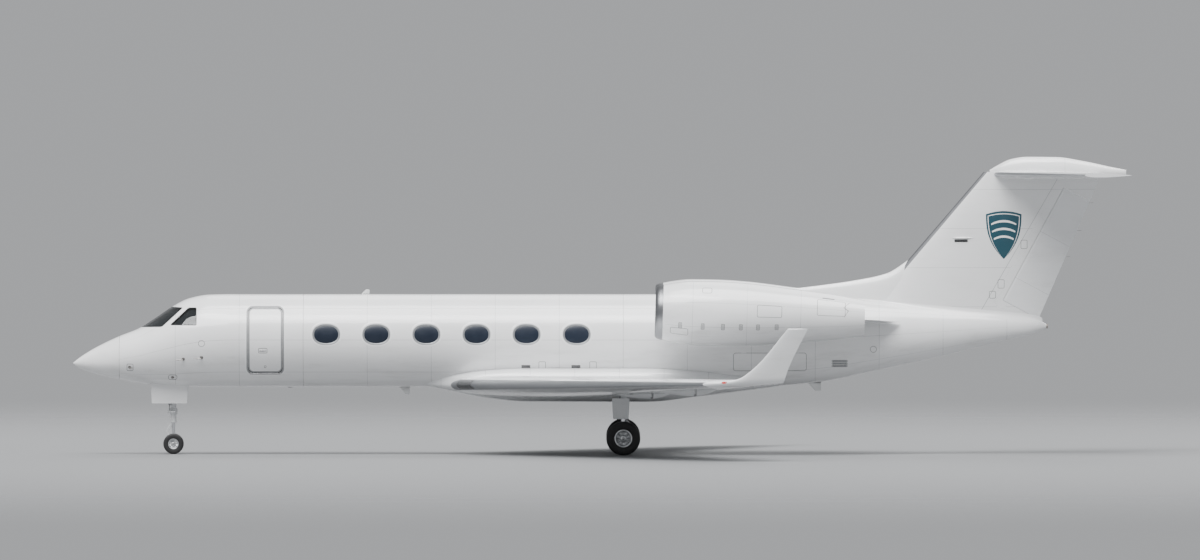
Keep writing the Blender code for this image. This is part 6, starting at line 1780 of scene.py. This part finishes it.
badge_film(*grid(np.linspace(-1, 1, 25), np.linspace(-1, 1, 41)), 0.0008, 0)
for edge in (-1, 1):
    badge_film(*grid(edge * np.array((0.86, 0.90)), np.linspace(-0.93, 0.90, 60)))
badge_film(*grid(np.linspace(-0.90, 0.90, 25), (0.87, 0.905)))
for middle in (0.42, 0.10, -0.22):
    across, band = grid(np.linspace(-0.72, 0.72, 25), (-1.0, 1.0))
    badge_film(across, middle + 0.16 * (1 - across**2) + 0.045 * band * (1 - 0.6 * across**2))
badge.pair("fin_badge_*", [TEAL, WHITE_TRIM_AND_HALO], slot="wing_paint")

# Lights
# Landing lights under domed glass in the wing roots' leading edges and on the nose leg, and position lights
# at the winglets and the tail. An opaque dark lens covers each wing root's lamp, with the shade of the lamp
# bay seen through clear glass painted into its colour.
CLEAR_GLASS = glass_finish("lamp_glass", (0.95, 0.96, 0.97))
RED_GLASS = glass_finish("red_glass", (0.75, 0.02, 0.015))
GREEN_GLASS = glass_finish("green_glass", (0.02, 0.55, 0.16))
REFLECTOR = bright_metal("lamp_reflector", (0.85, 0.85, 0.84), 0.06, 20.0)
# Painted shade: a dark opaque lens for the shaded lamp bay seen through a clear cover.
LENS_WITH_BAY_SHADE = two_tones("lens_with_painted_bay_shade", (0.10, 0.105, 0.11), (0.16, 0.165, 0.17), 0.10, 16.0, 0.6, 0.0,
                       Coat_Weight=1.0)
# Lines in lamp radii
BEZEL = ((1.0, -0.9), (1.12, -0.6), (1.12, 0.10), (1.04, 0.16), (0.96, 0.10), (0.96, -0.05))
BULB = ((0, 0.0), (0.12, -0.05), (0.16, -0.2), (0.12, -0.4), (0, -0.5))
LENS_MIDDLE, LAMP_SHARE = 0.0615, 0.5 / 10.6


def lamp(shape, spot, way, radius):
    """A bezel, a parabolic bowl with a bulb, and a domed glass, turned about the way it shines."""
    bowl = [(r, -0.75 + 0.75 * (r / 0.95) ** 2) for r in np.linspace(0, 0.95, 9)]
    dome = np.array([(r, 0.06 + 0.16 * math.sqrt(1 - r * r)) for r in np.sin(np.linspace(0, math.pi / 2, 8))])
    dome = np.concatenate([dome, dome[::-1] * (0.97, 0.85)])
    for line, number, sides in ((BEZEL, 0, 32), (bowl, 1, 32), (dome, 2, 32), (BULB, 2, 16)):
        stacked(shape, spot, way, np.array(line) * radius, number, sides)


def bubble(shape, spot, way, long, size):
    """Half of an ellipsoid on a surface: its reach out falls by the root of one less the square."""
    way, long = unit(np.array(way, float)), unit(np.array(long, float))
    rise, turn = grid(np.linspace(0, math.pi / 2, 9), np.linspace(0, 2 * math.pi, 28, endpoint=False))
    ball = xyz(np.cos(rise) * np.cos(turn), np.cos(rise) * np.sin(turn), np.sin(rise))
    shape.sheet(spot + (ball * size) @ np.array([long, unit(np.cross(way, long)), way]), ends=False)


lamps, tip_light, tail_light = Shape(), Shape(), Shape()
round_nose, share = grid(np.linspace(-1, 1, 21), np.linspace(0.035, 0.088, 15))
for scale, span, lift, number in ((1.18, 1.144, 0.0015, 0), (1.0, 1.0, 0.0035, 3)):
    wider = LENS_MIDDLE + (share - LENS_MIDDLE) * span
    nose = WING.skin(0.020 * scale * round_nose**2, wider, np.sign(round_nose))
    lamps.film(nose + xyz(-lift, 0, lift * round_nose), number)
lamp(lamps, WING.skin(0.0, LAMP_SHARE, 0) + (0.020, 0.10, -0.002), (-1, 0, 0.02), 0.030)
lamp(lamps, nose_at(-0.125, -0.052, 1.30), (-1, 0, -0.06), 0.040)
beam(lamps, [nose_at(-0.06, -0.05, 1.30), nose_at(-0.10, -0.052, 1.30)], (0.03, 0.03))
lamps.pair("landing_lights_*", [BOLT_METAL, REFLECTOR, CLEAR_GLASS, LENS_WITH_BAY_SHADE])
chord_way = winglet_front[6] - winglet_front[0]
bubble(tip_light, winglet_front[5] + 0.03 * AFT, (-1.0, -0.7, 0.1), chord_way, (0.075, 0.028, 0.035))
tip_light.made("position_light_left", RED_GLASS)
tip_light.made("position_light_right", GREEN_GLASS, way=-1)
bubble(tail_light, at(27.15, 0, 7.255), AFT, UP, (0.055, 0.020, 0.040))
tail_light.made("tail_light", CLEAR_GLASS)

# Static wicks
# Thin carbon rods in small metal feet, which shed charge from the trailing edges.
WICK_FINISHES = [HOSE, BOLT_METAL]


def wicks(foil, shares):
    made = Shape()
    for share in shares:
        edge = foil.skin(1.0, share, 0)
        way = unit(edge - foil.skin(0.9, share, 0))
        beam(made, [edge - 0.03 * way, edge + 0.012 * way], [(0.012, 0.010), (0.008, 0.008)], 1, foil.way)
        rod(made, edge, edge + 0.12 * way, 0.0028, 0, 8)
    return made


wicks(WING, (0.74, 0.82, 0.90)).pair("aileron_wicks_*", WICK_FINISHES, "*_aileron")
wicks(TAIL, (0.55, 0.70, 0.85)).pair("elevator_wicks_*", WICK_FINISHES, "*_elevator")
wicks(FIN, (0.45, 0.62, 0.80)).made("rudder_wicks", WICK_FINISHES, "rudder_surface")

# Entry door
# A plug of skin and cabin trim on a long hinge under its sill, with a grey band of painted shade along the
# edge of its gap and a flush handle. It falls outwards and down, and carries the stairs.
HINGE_Y, HINGE_Z, HINGE_FRONT, HINGE_REAR = -0.878, 2.088, 4.628, 5.318
PLUG_GAP, PLUG_CORNER = 0.008, 0.144


def hinge_pin(shape, start, end, radius, number, sides=20):
    rod(shape, at(start, HINGE_Y, HINGE_Z), at(end, HINGE_Y, HINGE_Z), radius, number, sides)


door, lugs = Shape(), Shape()
flat, faces = net(steps(4.50, (5.45, 0.03)), degrees(127.0, (226.6, 1.5)))
hull_wall(door, *trimmed(flat, faces, lambda f: -door_gap(f, PLUG_GAP, PLUG_CORNER)))
hinge_pin(door, HINGE_FRONT, HINGE_REAR, 0.018, 3)
for knuckle in np.linspace(HINGE_FRONT, HINGE_REAR, 13)[1:-1]:
    hinge_pin(door, knuckle - 0.002, knuckle + 0.002, 0.0195, 2)
# Painted shade: a grey band along the inside of the door's gap.
banded(door, DOOR_BOX, PLUG_CORNER, ((-0.044, 0.001), (-0.010, 0.001)), 4)
banded(door, (4.80, 5.02, 2.62, 2.74), 0.02, LINE, 2)
handle = [(0.026, 0.006), (0.036, 0.010), (0.032, 0.010), (0.020, 0.006)]
beam(door, on_hull((4.82, 4.86, 4.93, 5.00), 2.68, 0.002), handle, 3, -SIDEWAYS, 0.7)
banded(door, (4.945, 4.995, 2.24, 2.29), 0.024, LINE, 2)
door.made("entry_door_plug", [FUSELAGE_PAINT, LINING, SEAL, BOLT_METAL, GRILLE_GREY_AND_GAP_SHADE], "passenger_door",
          "fuselage_paint", ["entry_door"])
for near, far in ((HINGE_FRONT - 0.052, HINGE_FRONT - 0.002), (HINGE_REAR + 0.002, HINGE_REAR + 0.052)):
    hinge_pin(lugs, near, far, 0.022, 0)
    hinge_pin(lugs, near, near + 0.004, 0.012, 0, 6)
    beam(lugs, [at(near, -0.848, HINGE_Z), at(far, -0.848, HINGE_Z)], (0.060, 0.028))
lugs.made("door_hinge_lugs", BOLT_METAL, slot="gear_steel")

# Entry stairs
# Two pressed aluminium side plates on the door's inside carry six treads with ribbed rubber, which
# come level when the door is down.
STAIR_METAL = steel_finish("stair_aluminium", (0.62, 0.63, 0.64), 0.38, 0.15)
GRIP = two_tones("stair_rubber", (0.035, 0.035, 0.037), (0.07, 0.069, 0.067), 0.8, 120.0)
HALF_ROOT = 0.70711
TREAD_WAY, TREAD_UP = np.array((0.0, HALF_ROOT, HALF_ROOT)), np.array((0.0, HALF_ROOT, -HALF_ROOT))
TREADS, TREAD_PITCH, STAIR_INSET = 2.325 + 0.235 * np.arange(6), 0.235, 0.1005


def inside_hull(z, inset):
    """Half the width of the cabin's round section at a height: the root of its radius squared less
    the height's square."""
    return np.sqrt(np.clip((1.2 - inset) ** 2 - (z - 2.925) ** 2, 0.0, None))


def slab(shape, face, thick):
    """A flat grid of points, walled to a thickness aft."""
    shape.wall(face, face + (thick, 0, 0), cells(*face.shape[:2])[:, [0, 3, 2, 1]])


def cross_beam(shape, spot, stations, sizes, number, power, sides=20):
    beam(shape, [spot + (s - LENGTH / 2, 0, 0) for s in stations], sizes, number, TREAD_UP, power, sides)


stairs = Shape()
z = np.linspace(2.175, 3.613, 40)
outer_y = -np.minimum(1.08, inside_hull(z, STAIR_INSET))
inner_y = -0.76 - 0.012 * np.cos((z - TREADS[0]) / TREAD_PITCH * 2 * math.pi)
for near in (4.618, 5.298):
    slab(stairs, xyz(near - LENGTH / 2, np.stack([outer_y, inner_y], 1), z[:, None]), 0.030)
    for tread_z in TREADS:
        rod(stairs, at(near - 0.002, -0.86, tread_z), at(near + 0.032, -0.86, tread_z), 0.011, 0, 16)
t = np.linspace(-0.12, 0.12, 97)
for tread_z in TREADS:
    clear = t[0.90 - HALF_ROOT * t + 0.010 < inside_hull(tread_z + HALF_ROOT * t, STAIR_INSET)]
    wide = clear.max() - clear.min()
    spot = np.array((0.0, -0.90, tread_z)) + (clear.min() + clear.max()) / 2 * TREAD_WAY
    cross_beam(stairs, spot, (4.650, 5.296), (wide, 0.028), 0, 0.12)
    for k in range(7):
        rib = spot + (wide / 2 - 0.014 - k * (wide - 0.03) / 6.2) * TREAD_WAY + 0.0150 * TREAD_UP
        cross_beam(stairs, rib, (4.662, 5.284), (0.012, 0.004), 1, 0.3, 8)
stairs.made("entry_stair_flight", [STAIR_METAL, GRIP], "passenger_door", "stair_metal", ["entry_stairs"])

# Cabin floor and bulkheads
# Wool carpet over honeycomb panels, between domed pressure bulkheads, with a wood-faced divider
# behind the crew and another ahead of the baggage bay.
FLOOR_TOP, CEILING, ARCH_TOP, AISLE_HALF = 2.0905, 4.015, 3.88, 0.33


def carpet_finish():
    """Cut pile: fine tufts in the bump and colour, and slow shading where feet press it."""
    f = Finish("cabin_carpet", roughness=0.95, Sheen_Weight=0.4, Sheen_Roughness=0.5)
    tufts, trodden = f.cells(320.0), f.noise(2.2, 4.0)
    tone = f.blend(f.spread(trodden, 0.35, 0.65), (0.16, 0.145, 0.125), (0.22, 0.20, 0.175))
    return f.wear(
        Base_Color=f.blend(f.spread(tufts, 0.1, 0.6, 0.0, 0.45), tone, (0.08, 0.07, 0.06)),
        Roughness=f.spread(trodden, 0.3, 0.7, 0.88, 1.0),
        Normal=f.bump(tufts, 0.8, 0.004),
    )


def veneer_finish():
    """Figured walnut under lacquer: rings warped by noise, drawn out along the height."""
    f = Finish("walnut_veneer", roughness=0.2, Coat_Weight=0.8, Coat_Roughness=0.05)
    long_way = f.stretched((3.0, 3.0, 0.55))
    inputs = {"Vector": long_way, "Scale": 3.2, "Distortion": 7.0, "Detail": 4.0, "Detail Scale": 1.6}
    fibre = f.noise(70.0, 6.0, place=long_way)
    wood = f.blend(f.spread(f.add("TexWave", inputs), 0.1, 0.9), (0.085, 0.038, 0.018), (0.20, 0.10, 0.048))
    return f.wear(
        Base_Color=f.blend(f.spread(fibre, 0.45, 0.7, 0.0, 0.5), wood, (0.05, 0.022, 0.012)),
        Roughness=f.spread(fibre, 0.3, 0.7, 0.16, 0.28),
    )


def divider(shape, station):
    """A partition's two halves: from the aisle's edge out to the lining, up to an arch over the aisle."""
    z = np.concatenate([np.linspace(FLOOR_TOP, ARCH_TOP, 24), np.linspace(ARCH_TOP, CEILING, 8)[1:]])[:, None]
    inner = np.where(z > ARCH_TOP, 0.0, AISLE_HALF)
    wide = np.maximum(inside_hull(z, WALL + 0.004), inner + 0.001)
    y = inner + np.linspace(0, 1, 8) * (wide - inner)
    for way in (-1, 1):
        slab(shape, xyz(station - LENGTH / 2, way * y, z), 0.030)


floor_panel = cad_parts["cabin_floor"]
floor_panel.data.materials.clear()
floor_panel.data.materials.append(carpet_finish())
bulkheads, dividers = Shape(), Shape()
share = np.linspace(0, 1, 14)[:, None]
for station, dome, number in ((CABIN_START + 0.012, -0.03, 0), (CABIN_END - 0.03, 0.015, 1)):
    rim = hull_point(station, np.linspace(0, 2 * math.pi, 64, endpoint=False), WALL + 0.004)
    flat = rim.mean(0) + share[..., None] * (rim - rim.mean(0))
    for thick in (0.0, 0.012):
        bulkheads.sheet(flat + xyz(dome * (1 - share**2) + thick, 0, 0), number, ends=False)
bulkheads.made("pressure_bulkheads", [BAY_PAINT, LINING], slot="cabin_trim")
for station in (4.12, 14.02):
    divider(dividers, station)
dividers.made("cabin_dividers", veneer_finish(), slot="cabin_trim")

# Flight deck
# Moulded panels under a leather-covered glareshield, four flat displays in bezels, a centre
# pedestal with levers and switch rows, and a control wheel on a column before each pilot.
DECK_GREY = two_tones("deck_panel_grey", (0.075, 0.08, 0.085), (0.095, 0.10, 0.105), 0.55, 160.0)
SHIELD_LEATHER = two_tones("glareshield_leather", (0.022, 0.022, 0.024), (0.04, 0.039, 0.038), 0.62, 180.0,
                           depth=0.0012)
SCREEN = two_tones("display_glass", (0.012, 0.018, 0.03), (0.02, 0.035, 0.06), 0.12, 14.0, depth=0.0,
                   Coat_Weight=1.0)
KNOB = two_tones("knob_plastic", (0.30, 0.30, 0.30), (0.38, 0.38, 0.37), 0.45, 60.0)
DISPLAYS, DISPLAY_HALF, DISPLAY_LOW, DISPLAY_HIGH = (-0.52, -0.185, 0.185, 0.52), 0.148, 2.75, 3.06
# Distances across from a column, and up from its head
HORN = ((-0.145, 0.085), (-0.15, 0.02), (-0.12, -0.03), (-0.05, -0.04), (0.0, -0.03), (0.05, -0.04),
        (0.12, -0.03), (0.15, 0.02), (0.145, 0.085))
COLUMN = ((2.74, 2.10), (2.72, 2.45), (2.76, 2.66), (2.80, 2.72))
COLUMN_SIZES = ((0.06, 0.07), (0.045, 0.055), (0.04, 0.05), (0.06, 0.06))
deck = Shape()


def deck_block(start, end, count, sizes, number, power, sides):
    """A moulded block, as a bar of many rings between two places."""
    beam(deck, np.linspace(at(*start), at(*end), count), sizes, number, power=power, sides=sides)


share = np.linspace(-1, 1, 33)
crown = np.stack([0.455 - 0.10 * share**4, 0.078 - 0.014 * share**6], 1)
deck_block((2.43, -0.76, 3.158), (2.43, 0.76, 3.158), 33, crown, 1, 0.45, 32)
deck_block((2.44, -0.738, 2.885), (2.44, 0.738, 2.885), 23, (0.155, 0.50), 0, 0.12, 28)
deck_block((2.435, -0.595, 2.365), (2.435, 0.595, 2.365), 13, (0.125, 0.545), 0, 0.12, 24)
deck_block((2.46, 0, 2.375), (3.298, 0, 2.375), 12, (0.255, 0.565), 0, 0.14, 28)
for middle in DISPLAYS:
    near, far = middle - DISPLAY_HALF, middle + DISPLAY_HALF
    corners = ((near, DISPLAY_LOW), (far, DISPLAY_LOW), (far, DISPLAY_HIGH), (near, DISPLAY_HIGH))
    plate(deck, [at(2.5185, *corner) for corner in corners], 0.0012, 2)
    for z in (DISPLAY_LOW, DISPLAY_HIGH):
        beam(deck, [at(2.519, near - 0.008, z), at(2.519, far + 0.008, z)], (0.010, 0.010))
    for y in (near, far):
        beam(deck, [at(2.519, y, DISPLAY_LOW), at(2.519, y, DISPLAY_HIGH)], (0.010, 0.010), up=AFT)
    for y in middle - 0.11 + 0.044 * np.arange(6):
        rod(deck, at(2.512, y, 2.705), at(2.530, y, 2.705), 0.008, 3, 12)
for y in 0.065 * np.arange(14) - 0.42:
    rod(deck, at(2.655, y, 3.165), at(2.672, y, 3.165), 0.009, 3, 12)
for y in (-0.045, 0.045):
    beam(deck, [at(2.74, y, 2.655), at(2.73, y, 2.74)], [(0.012, 0.03), (0.012, 0.024)], 3, AFT)
    rod(deck, at(2.73, y - 0.028, 2.745), at(2.73, y + 0.028, 2.745), 0.017, 1)
for station in (2.92, 2.98, 3.04, 3.10, 3.16, 3.22):
    for y in (-0.08, -0.04, 0.0, 0.04, 0.08):
        rod(deck, at(station, y, 2.655), at(station, y, 2.668), 0.010, 3, 8)
for column_y in (-0.46, 0.46):
    beam(deck, [at(station, column_y, z) for station, z in COLUMN], COLUMN_SIZES, 0, AFT, 0.8)
    hose(deck, [at(2.815, column_y + across, 2.72 + up) for across, up in HORN], 0.014, 1, 14)
    for y in (column_y - 0.11, column_y + 0.11):
        beam(deck, [at(2.535, y - 0.045, 2.20), at(2.535, y + 0.045, 2.20)], (0.05, 0.11), 3)
deck.made("flight_deck_fit", [DECK_GREY, SHIELD_LEATHER, SCREEN, KNOB], slot="cabin_trim",
          stands_for=["flight_deck"])

# Seats
# Two crew seats and eight club seats: foam under cream leather with sewn panels, on pedestals of
# painted aluminium. The foam is swollen by a cloth simulation, once for each kind of cushion.
SWELL_TRAVEL, VOXEL, SWELL_FRAMES = 0.008, 0.013, 20
# Middle, half sizes, lean, and the axis and places of the seams of each cushion
CUSHIONS = {
    "pan": ((-0.010, 0.0, 0.425), (0.245, 0.200, 0.066), -0.10, 0, (-0.10, 0.06)),
    "back": ((0.215, 0.0, 0.760), (0.060, 0.195, 0.300), 0.40, 2, (0.62, 0.78, 0.92)),
    "head": ((0.322, 0.0, 1.045), (0.040, 0.135, 0.075), 0.25, 2, ()),
}
# Station, distance across and facing
CLUB_ROWS = ((7.10, -1), (8.62, 1), (10.10, -1), (11.62, 1))
SEATS = [(3.28, way * 0.46, 1) for way in (-1, 1)]
SEATS += [(station, way * 0.50, facing) for station, facing in CLUB_ROWS for way in (-1, 1)]
# Distances behind a seat's middle and heights over the floor, with sizes
ARM = ((-0.235, 0.52), (-0.20, 0.585), (-0.05, 0.60), (0.12, 0.60), (0.20, 0.585))
ARM_SIZES = ((0.030, 0.030), (0.034, 0.050), (0.034, 0.056), (0.034, 0.056), (0.030, 0.04))
SIDE_PANEL = ((-0.13, 0.33), (0.13, 0.33), (0.16, 0.57), (-0.18, 0.57))
SHELL = ((0.165, 0.44), (0.262, 0.72), (0.385, 1.04), (0.392, 1.085))
SHELL_SIZES = ((0.40, 0.018), (0.40, 0.018), (0.36, 0.016), (0.28, 0.012))
PEDESTAL = ((0, 0), (0.145, 0), (0.150, 0.01), (0.10, 0.03), (0.072, 0.08), (0.072, 0.26), (0.12, 0.30),
            (0.12, 0.325), (0, 0.325))
BELT = ((0.16, 0.19, 0.47), (0.02, 0.14, 0.498), (-0.08, 0.05, 0.503), (-0.10, 0.0, 0.503))


def leather_finish():
    """Full-grain hide: pebbled cells in the bump, softened tone in the low places, and a slow mottle."""
    f = Finish("cream_leather", roughness=0.45, Sheen_Weight=0.15)
    pebbles, mottle = f.cells(420.0), f.noise(9.0, 5.0)
    hide = f.blend(f.spread(mottle, 0.35, 0.65), (0.52, 0.42, 0.30), (0.60, 0.50, 0.37))
    return f.wear(
        Base_Color=f.blend(f.spread(pebbles, 0.25, 0.6, 0.0, 0.25), hide, (0.32, 0.24, 0.16)),
        Roughness=f.spread(mottle, 0.3, 0.7, 0.36, 0.52),
        Normal=f.bump(pebbles, 0.35, 0.0008),
    )


def pillow(middle, half, lean, rows=15):
    """A crowned block: a cube's surface pushed towards a squared ellipsoid, so that its faces bow and
    its edges draw in, leaned about the way across."""
    a, b = (x.ravel() for x in grid(np.linspace(-1, 1, rows), np.linspace(-1, 1, rows)))
    sides = ((a, b, 1), (b, a, -1), (b, 1, a), (a, -1, b), (1, a, b), (-1, b, a))
    cube = np.concatenate([xyz(*side) for side in sides])
    x, y, z = (cube / (np.abs(cube) ** 5).sum(1, keepdims=True) ** 0.2 * half).T
    cos, sin = math.cos(lean), math.sin(lean)
    faces = [cells(rows, rows) + k * rows * rows for k in range(6)]
    return xyz(x * cos + z * sin, y, z * cos - x * sin) + middle, np.concatenate(faces)


def places_of(mesh):
    made = np.empty(3 * len(mesh.vertices), np.float32)
    mesh.vertices.foreach_get("co", made)
    return made.reshape(-1, 3)


def swollen(points, faces):
    """The cushion's mesh after its cloth swells under pressure with no weight: points and faces, none
    of them moved further than the travel."""
    mesh = bpy.data.meshes.new("swelling")
    mesh.from_pydata(points.tolist(), [], faces.tolist())
    work = bmesh.new()
    work.from_mesh(mesh)
    bmesh.ops.remove_doubles(work, verts=work.verts, dist=1e-5)
    bmesh.ops.recalc_face_normals(work, faces=work.faces)
    work.to_mesh(mesh)
    work.free()
    obj = bpy.data.objects.new("swelling", mesh)
    bpy.context.scene.collection.objects.link(obj)
    remesh = obj.modifiers.new("remesh", "REMESH")
    remesh.mode, remesh.voxel_size = "VOXEL", VOXEL
    depsgraph = bpy.context.evaluated_depsgraph_get()
    even = bpy.data.meshes.new_from_object(obj.evaluated_get(depsgraph), depsgraph=depsgraph)
    obj.modifiers.clear()
    obj.data = even
    start = after = places_of(even)
    cloth = obj.modifiers.new("cloth", "CLOTH")
    cloth.settings.use_pressure = True
    cloth.settings.uniform_pressure_force = 4.0
    cloth.settings.effector_weights.gravity = 0.0
    cloth.settings.quality = 4
    for number in range(1, SWELL_FRAMES + 1):
        bpy.context.scene.frame_set(number)
    after = places_of(obj.evaluated_get(bpy.context.evaluated_depsgraph_get()).to_mesh())
    bpy.context.scene.frame_set(1)
    moved = after - start
    far = np.linalg.norm(moved, axis=1, keepdims=True)
    corners = np.array([list(p.vertices) for p in even.polygons])
    bpy.data.objects.remove(obj)
    return start + moved * np.minimum(1, SWELL_TRAVEL / np.maximum(far, 1e-9)), corners


def sewn(points, axis, seams):
    """Channels sewn across a cushion: the surface sinks by a narrow bell near each seam."""
    depth = sum(np.exp(-(((points[:, axis] - seam) / 0.010) ** 2)) for seam in seams)
    return points + 0.006 * depth[:, None] * unit((points.max(0) + points.min(0)) / 2 - points)


def seated(points, seat):
    """Places of (behind, across, height) carried to a seat's station, side and facing."""
    station, y, facing = seat
    return np.asarray(points, float) * (facing, 1, 1) + at(station, y, FLOOR_TOP)


LEATHER = leather_finish()
SEAT_BASE_PAINT = steel_finish("seat_base_enamel", (0.20, 0.19, 0.18), 0.4, 0.1, 0.0)
cushions = {}
for name, (middle, half, lean, axis, seams) in CUSHIONS.items():
    points, faces = swollen(*pillow(middle, half, lean))
    cushions[name] = (sewn(points, axis, seams) if seams else points, faces)
frames = Shape()
for index, seat in enumerate(SEATS):
    label = f"crew_{index + 1}" if index < 2 else f"club_{index - 1}"
    for name, (points, faces) in cushions.items():
        pad = Shape()
        pad.add(seated(points, seat), [faces])
        made = pad.made(f"{label}_{name}_cushion", LEATHER, slot="seat_leather", stands_for=["seats"],
                        sharp=60.0)
    for way in (-1, 1):
        beam(frames, seated([(x, way * 0.212, z) for x, z in ARM], seat), ARM_SIZES, 1, power=0.6)
        plate(frames, seated([(x, way * 0.218, z) for x, z in SIDE_PANEL], seat), 0.008 * way * seat[2], 1)
    beam(frames, seated([(x, 0, z) for x, z in SHELL], seat), SHELL_SIZES, 1, seat[2] * AFT, 0.2)
    stacked(frames, seated((0, 0, 0.02), seat), UP, PEDESTAL)
    beam(frames, seated([(-0.10, 0, 0.345), (0.14, 0, 0.345)], seat), (0.36, 0.030), power=0.2)
    for way in (-1, 1):
        hose(frames, seated(np.array(BELT) * (1, way, 1), seat), 0.006, 2, 6)
for y in (-0.44, 0.44):
    beam(frames, [at(s, y, FLOOR_TOP + 0.018) for s in (3.02, 7.6, 12.20)], (0.040, 0.034), 3, power=0.2)
beam(frames, [at(3.93, y, FLOOR_TOP + 0.012) for y in (-0.46, 0.46)], (0.060, 0.022), 3, power=0.2)
frames.made("seat_frames", [SEAT_BASE_PAINT, LEATHER, HOSE, BOLT_METAL], slot="seat_leather",
            stands_for=["seats"])

# Floor, light and camera
# A plain pale floor that fades into a pale background, three wide soft lights, and a very long
# lens at the photo's level side view.
FLOOR_RINGS, FLOOR_SIDES = (0.01, 10.0, 20.0, 30.0, 45.0, 65.0, 100.0), 96
FRAME_WIDE, FRAME_X, FRAME_Z = 30.98, -0.015, 4.49
LENS, SENSOR, TILT = 700.0, 36.0, math.radians(0.6)
DISTANCE = FRAME_WIDE * LENS / SENSOR


def placed(name, data):
    obj = bpy.data.objects.new(name, data)
    bpy.context.scene.collection.objects.link(obj)
    return obj


def floor_finish():
    """Pale matt floor that turns see-through away from the aircraft."""
    f = Finish("studio_floor", (0.190, 0.194, 0.200), 0.6)
    away = f.add("VectorMath", {0: f.spot}, operation="LENGTH").outputs["Value"]
    return f.wear(Alpha=f.spread(away, 22.0, 95.0, 1.0, 0.0))


def soft_light(name, way, strength, wide):
    """A light that comes evenly from one side, as wide across the sky as an angle."""
    light = bpy.data.lights.new(name, "SUN")
    light.energy, light.angle = strength, math.radians(wide)
    placed(name, light).rotation_euler = Vector(way).to_track_quat("Z", "Y").to_euler()


turns = np.linspace(0, 2 * math.pi, FLOOR_SIDES, endpoint=False)
spots = xyz(np.outer(FLOOR_RINGS, np.cos(turns)), np.outer(FLOOR_RINGS, np.sin(turns)), -0.001)
ring, here = grid(np.arange(len(FLOOR_RINGS) - 1) * FLOOR_SIDES, np.arange(FLOOR_SIDES))
near, far = ring + here, ring + (here + 1) % FLOOR_SIDES
quads = np.stack([near, near + FLOOR_SIDES, far + FLOOR_SIDES, far], -1).reshape(-1, 4)
floor_mesh = bpy.data.meshes.new("studio_floor")
floor_mesh.from_pydata(spots.reshape(-1, 3).tolist(), [], quads.tolist())
floor_mesh.materials.append(floor_finish())
placed("studio_floor", floor_mesh)

world = bpy.data.worlds.new("studio")
world.use_nodes = True
world.node_tree.nodes["Background"].inputs[0].default_value = (0.60, 0.612, 0.63, 1.0)
world.node_tree.nodes["Background"].inputs[1].default_value = 0.71
bpy.context.scene.world = world
soft_light("overhead", (0.05, -0.25, 1.0), 4.3, 44.0)
soft_light("port_key", (-0.45, -1.0, 1.5), 3.2, 34.0)
soft_light("starboard_fill", (0.5, 1.0, 0.9), 1.1, 50.0)

camera_data = bpy.data.cameras.new("long_lens")
camera_data.lens, camera_data.sensor_width = LENS, SENSOR
camera_data.clip_start, camera_data.clip_end = 10.0, 3000.0
camera = placed("long_lens", camera_data)
camera.location = (FRAME_X, -DISTANCE * math.cos(TILT), FRAME_Z + DISTANCE * math.sin(TILT))
camera.rotation_euler = (math.pi / 2 - TILT, 0.0, 0.0)
bpy.context.scene.camera = camera
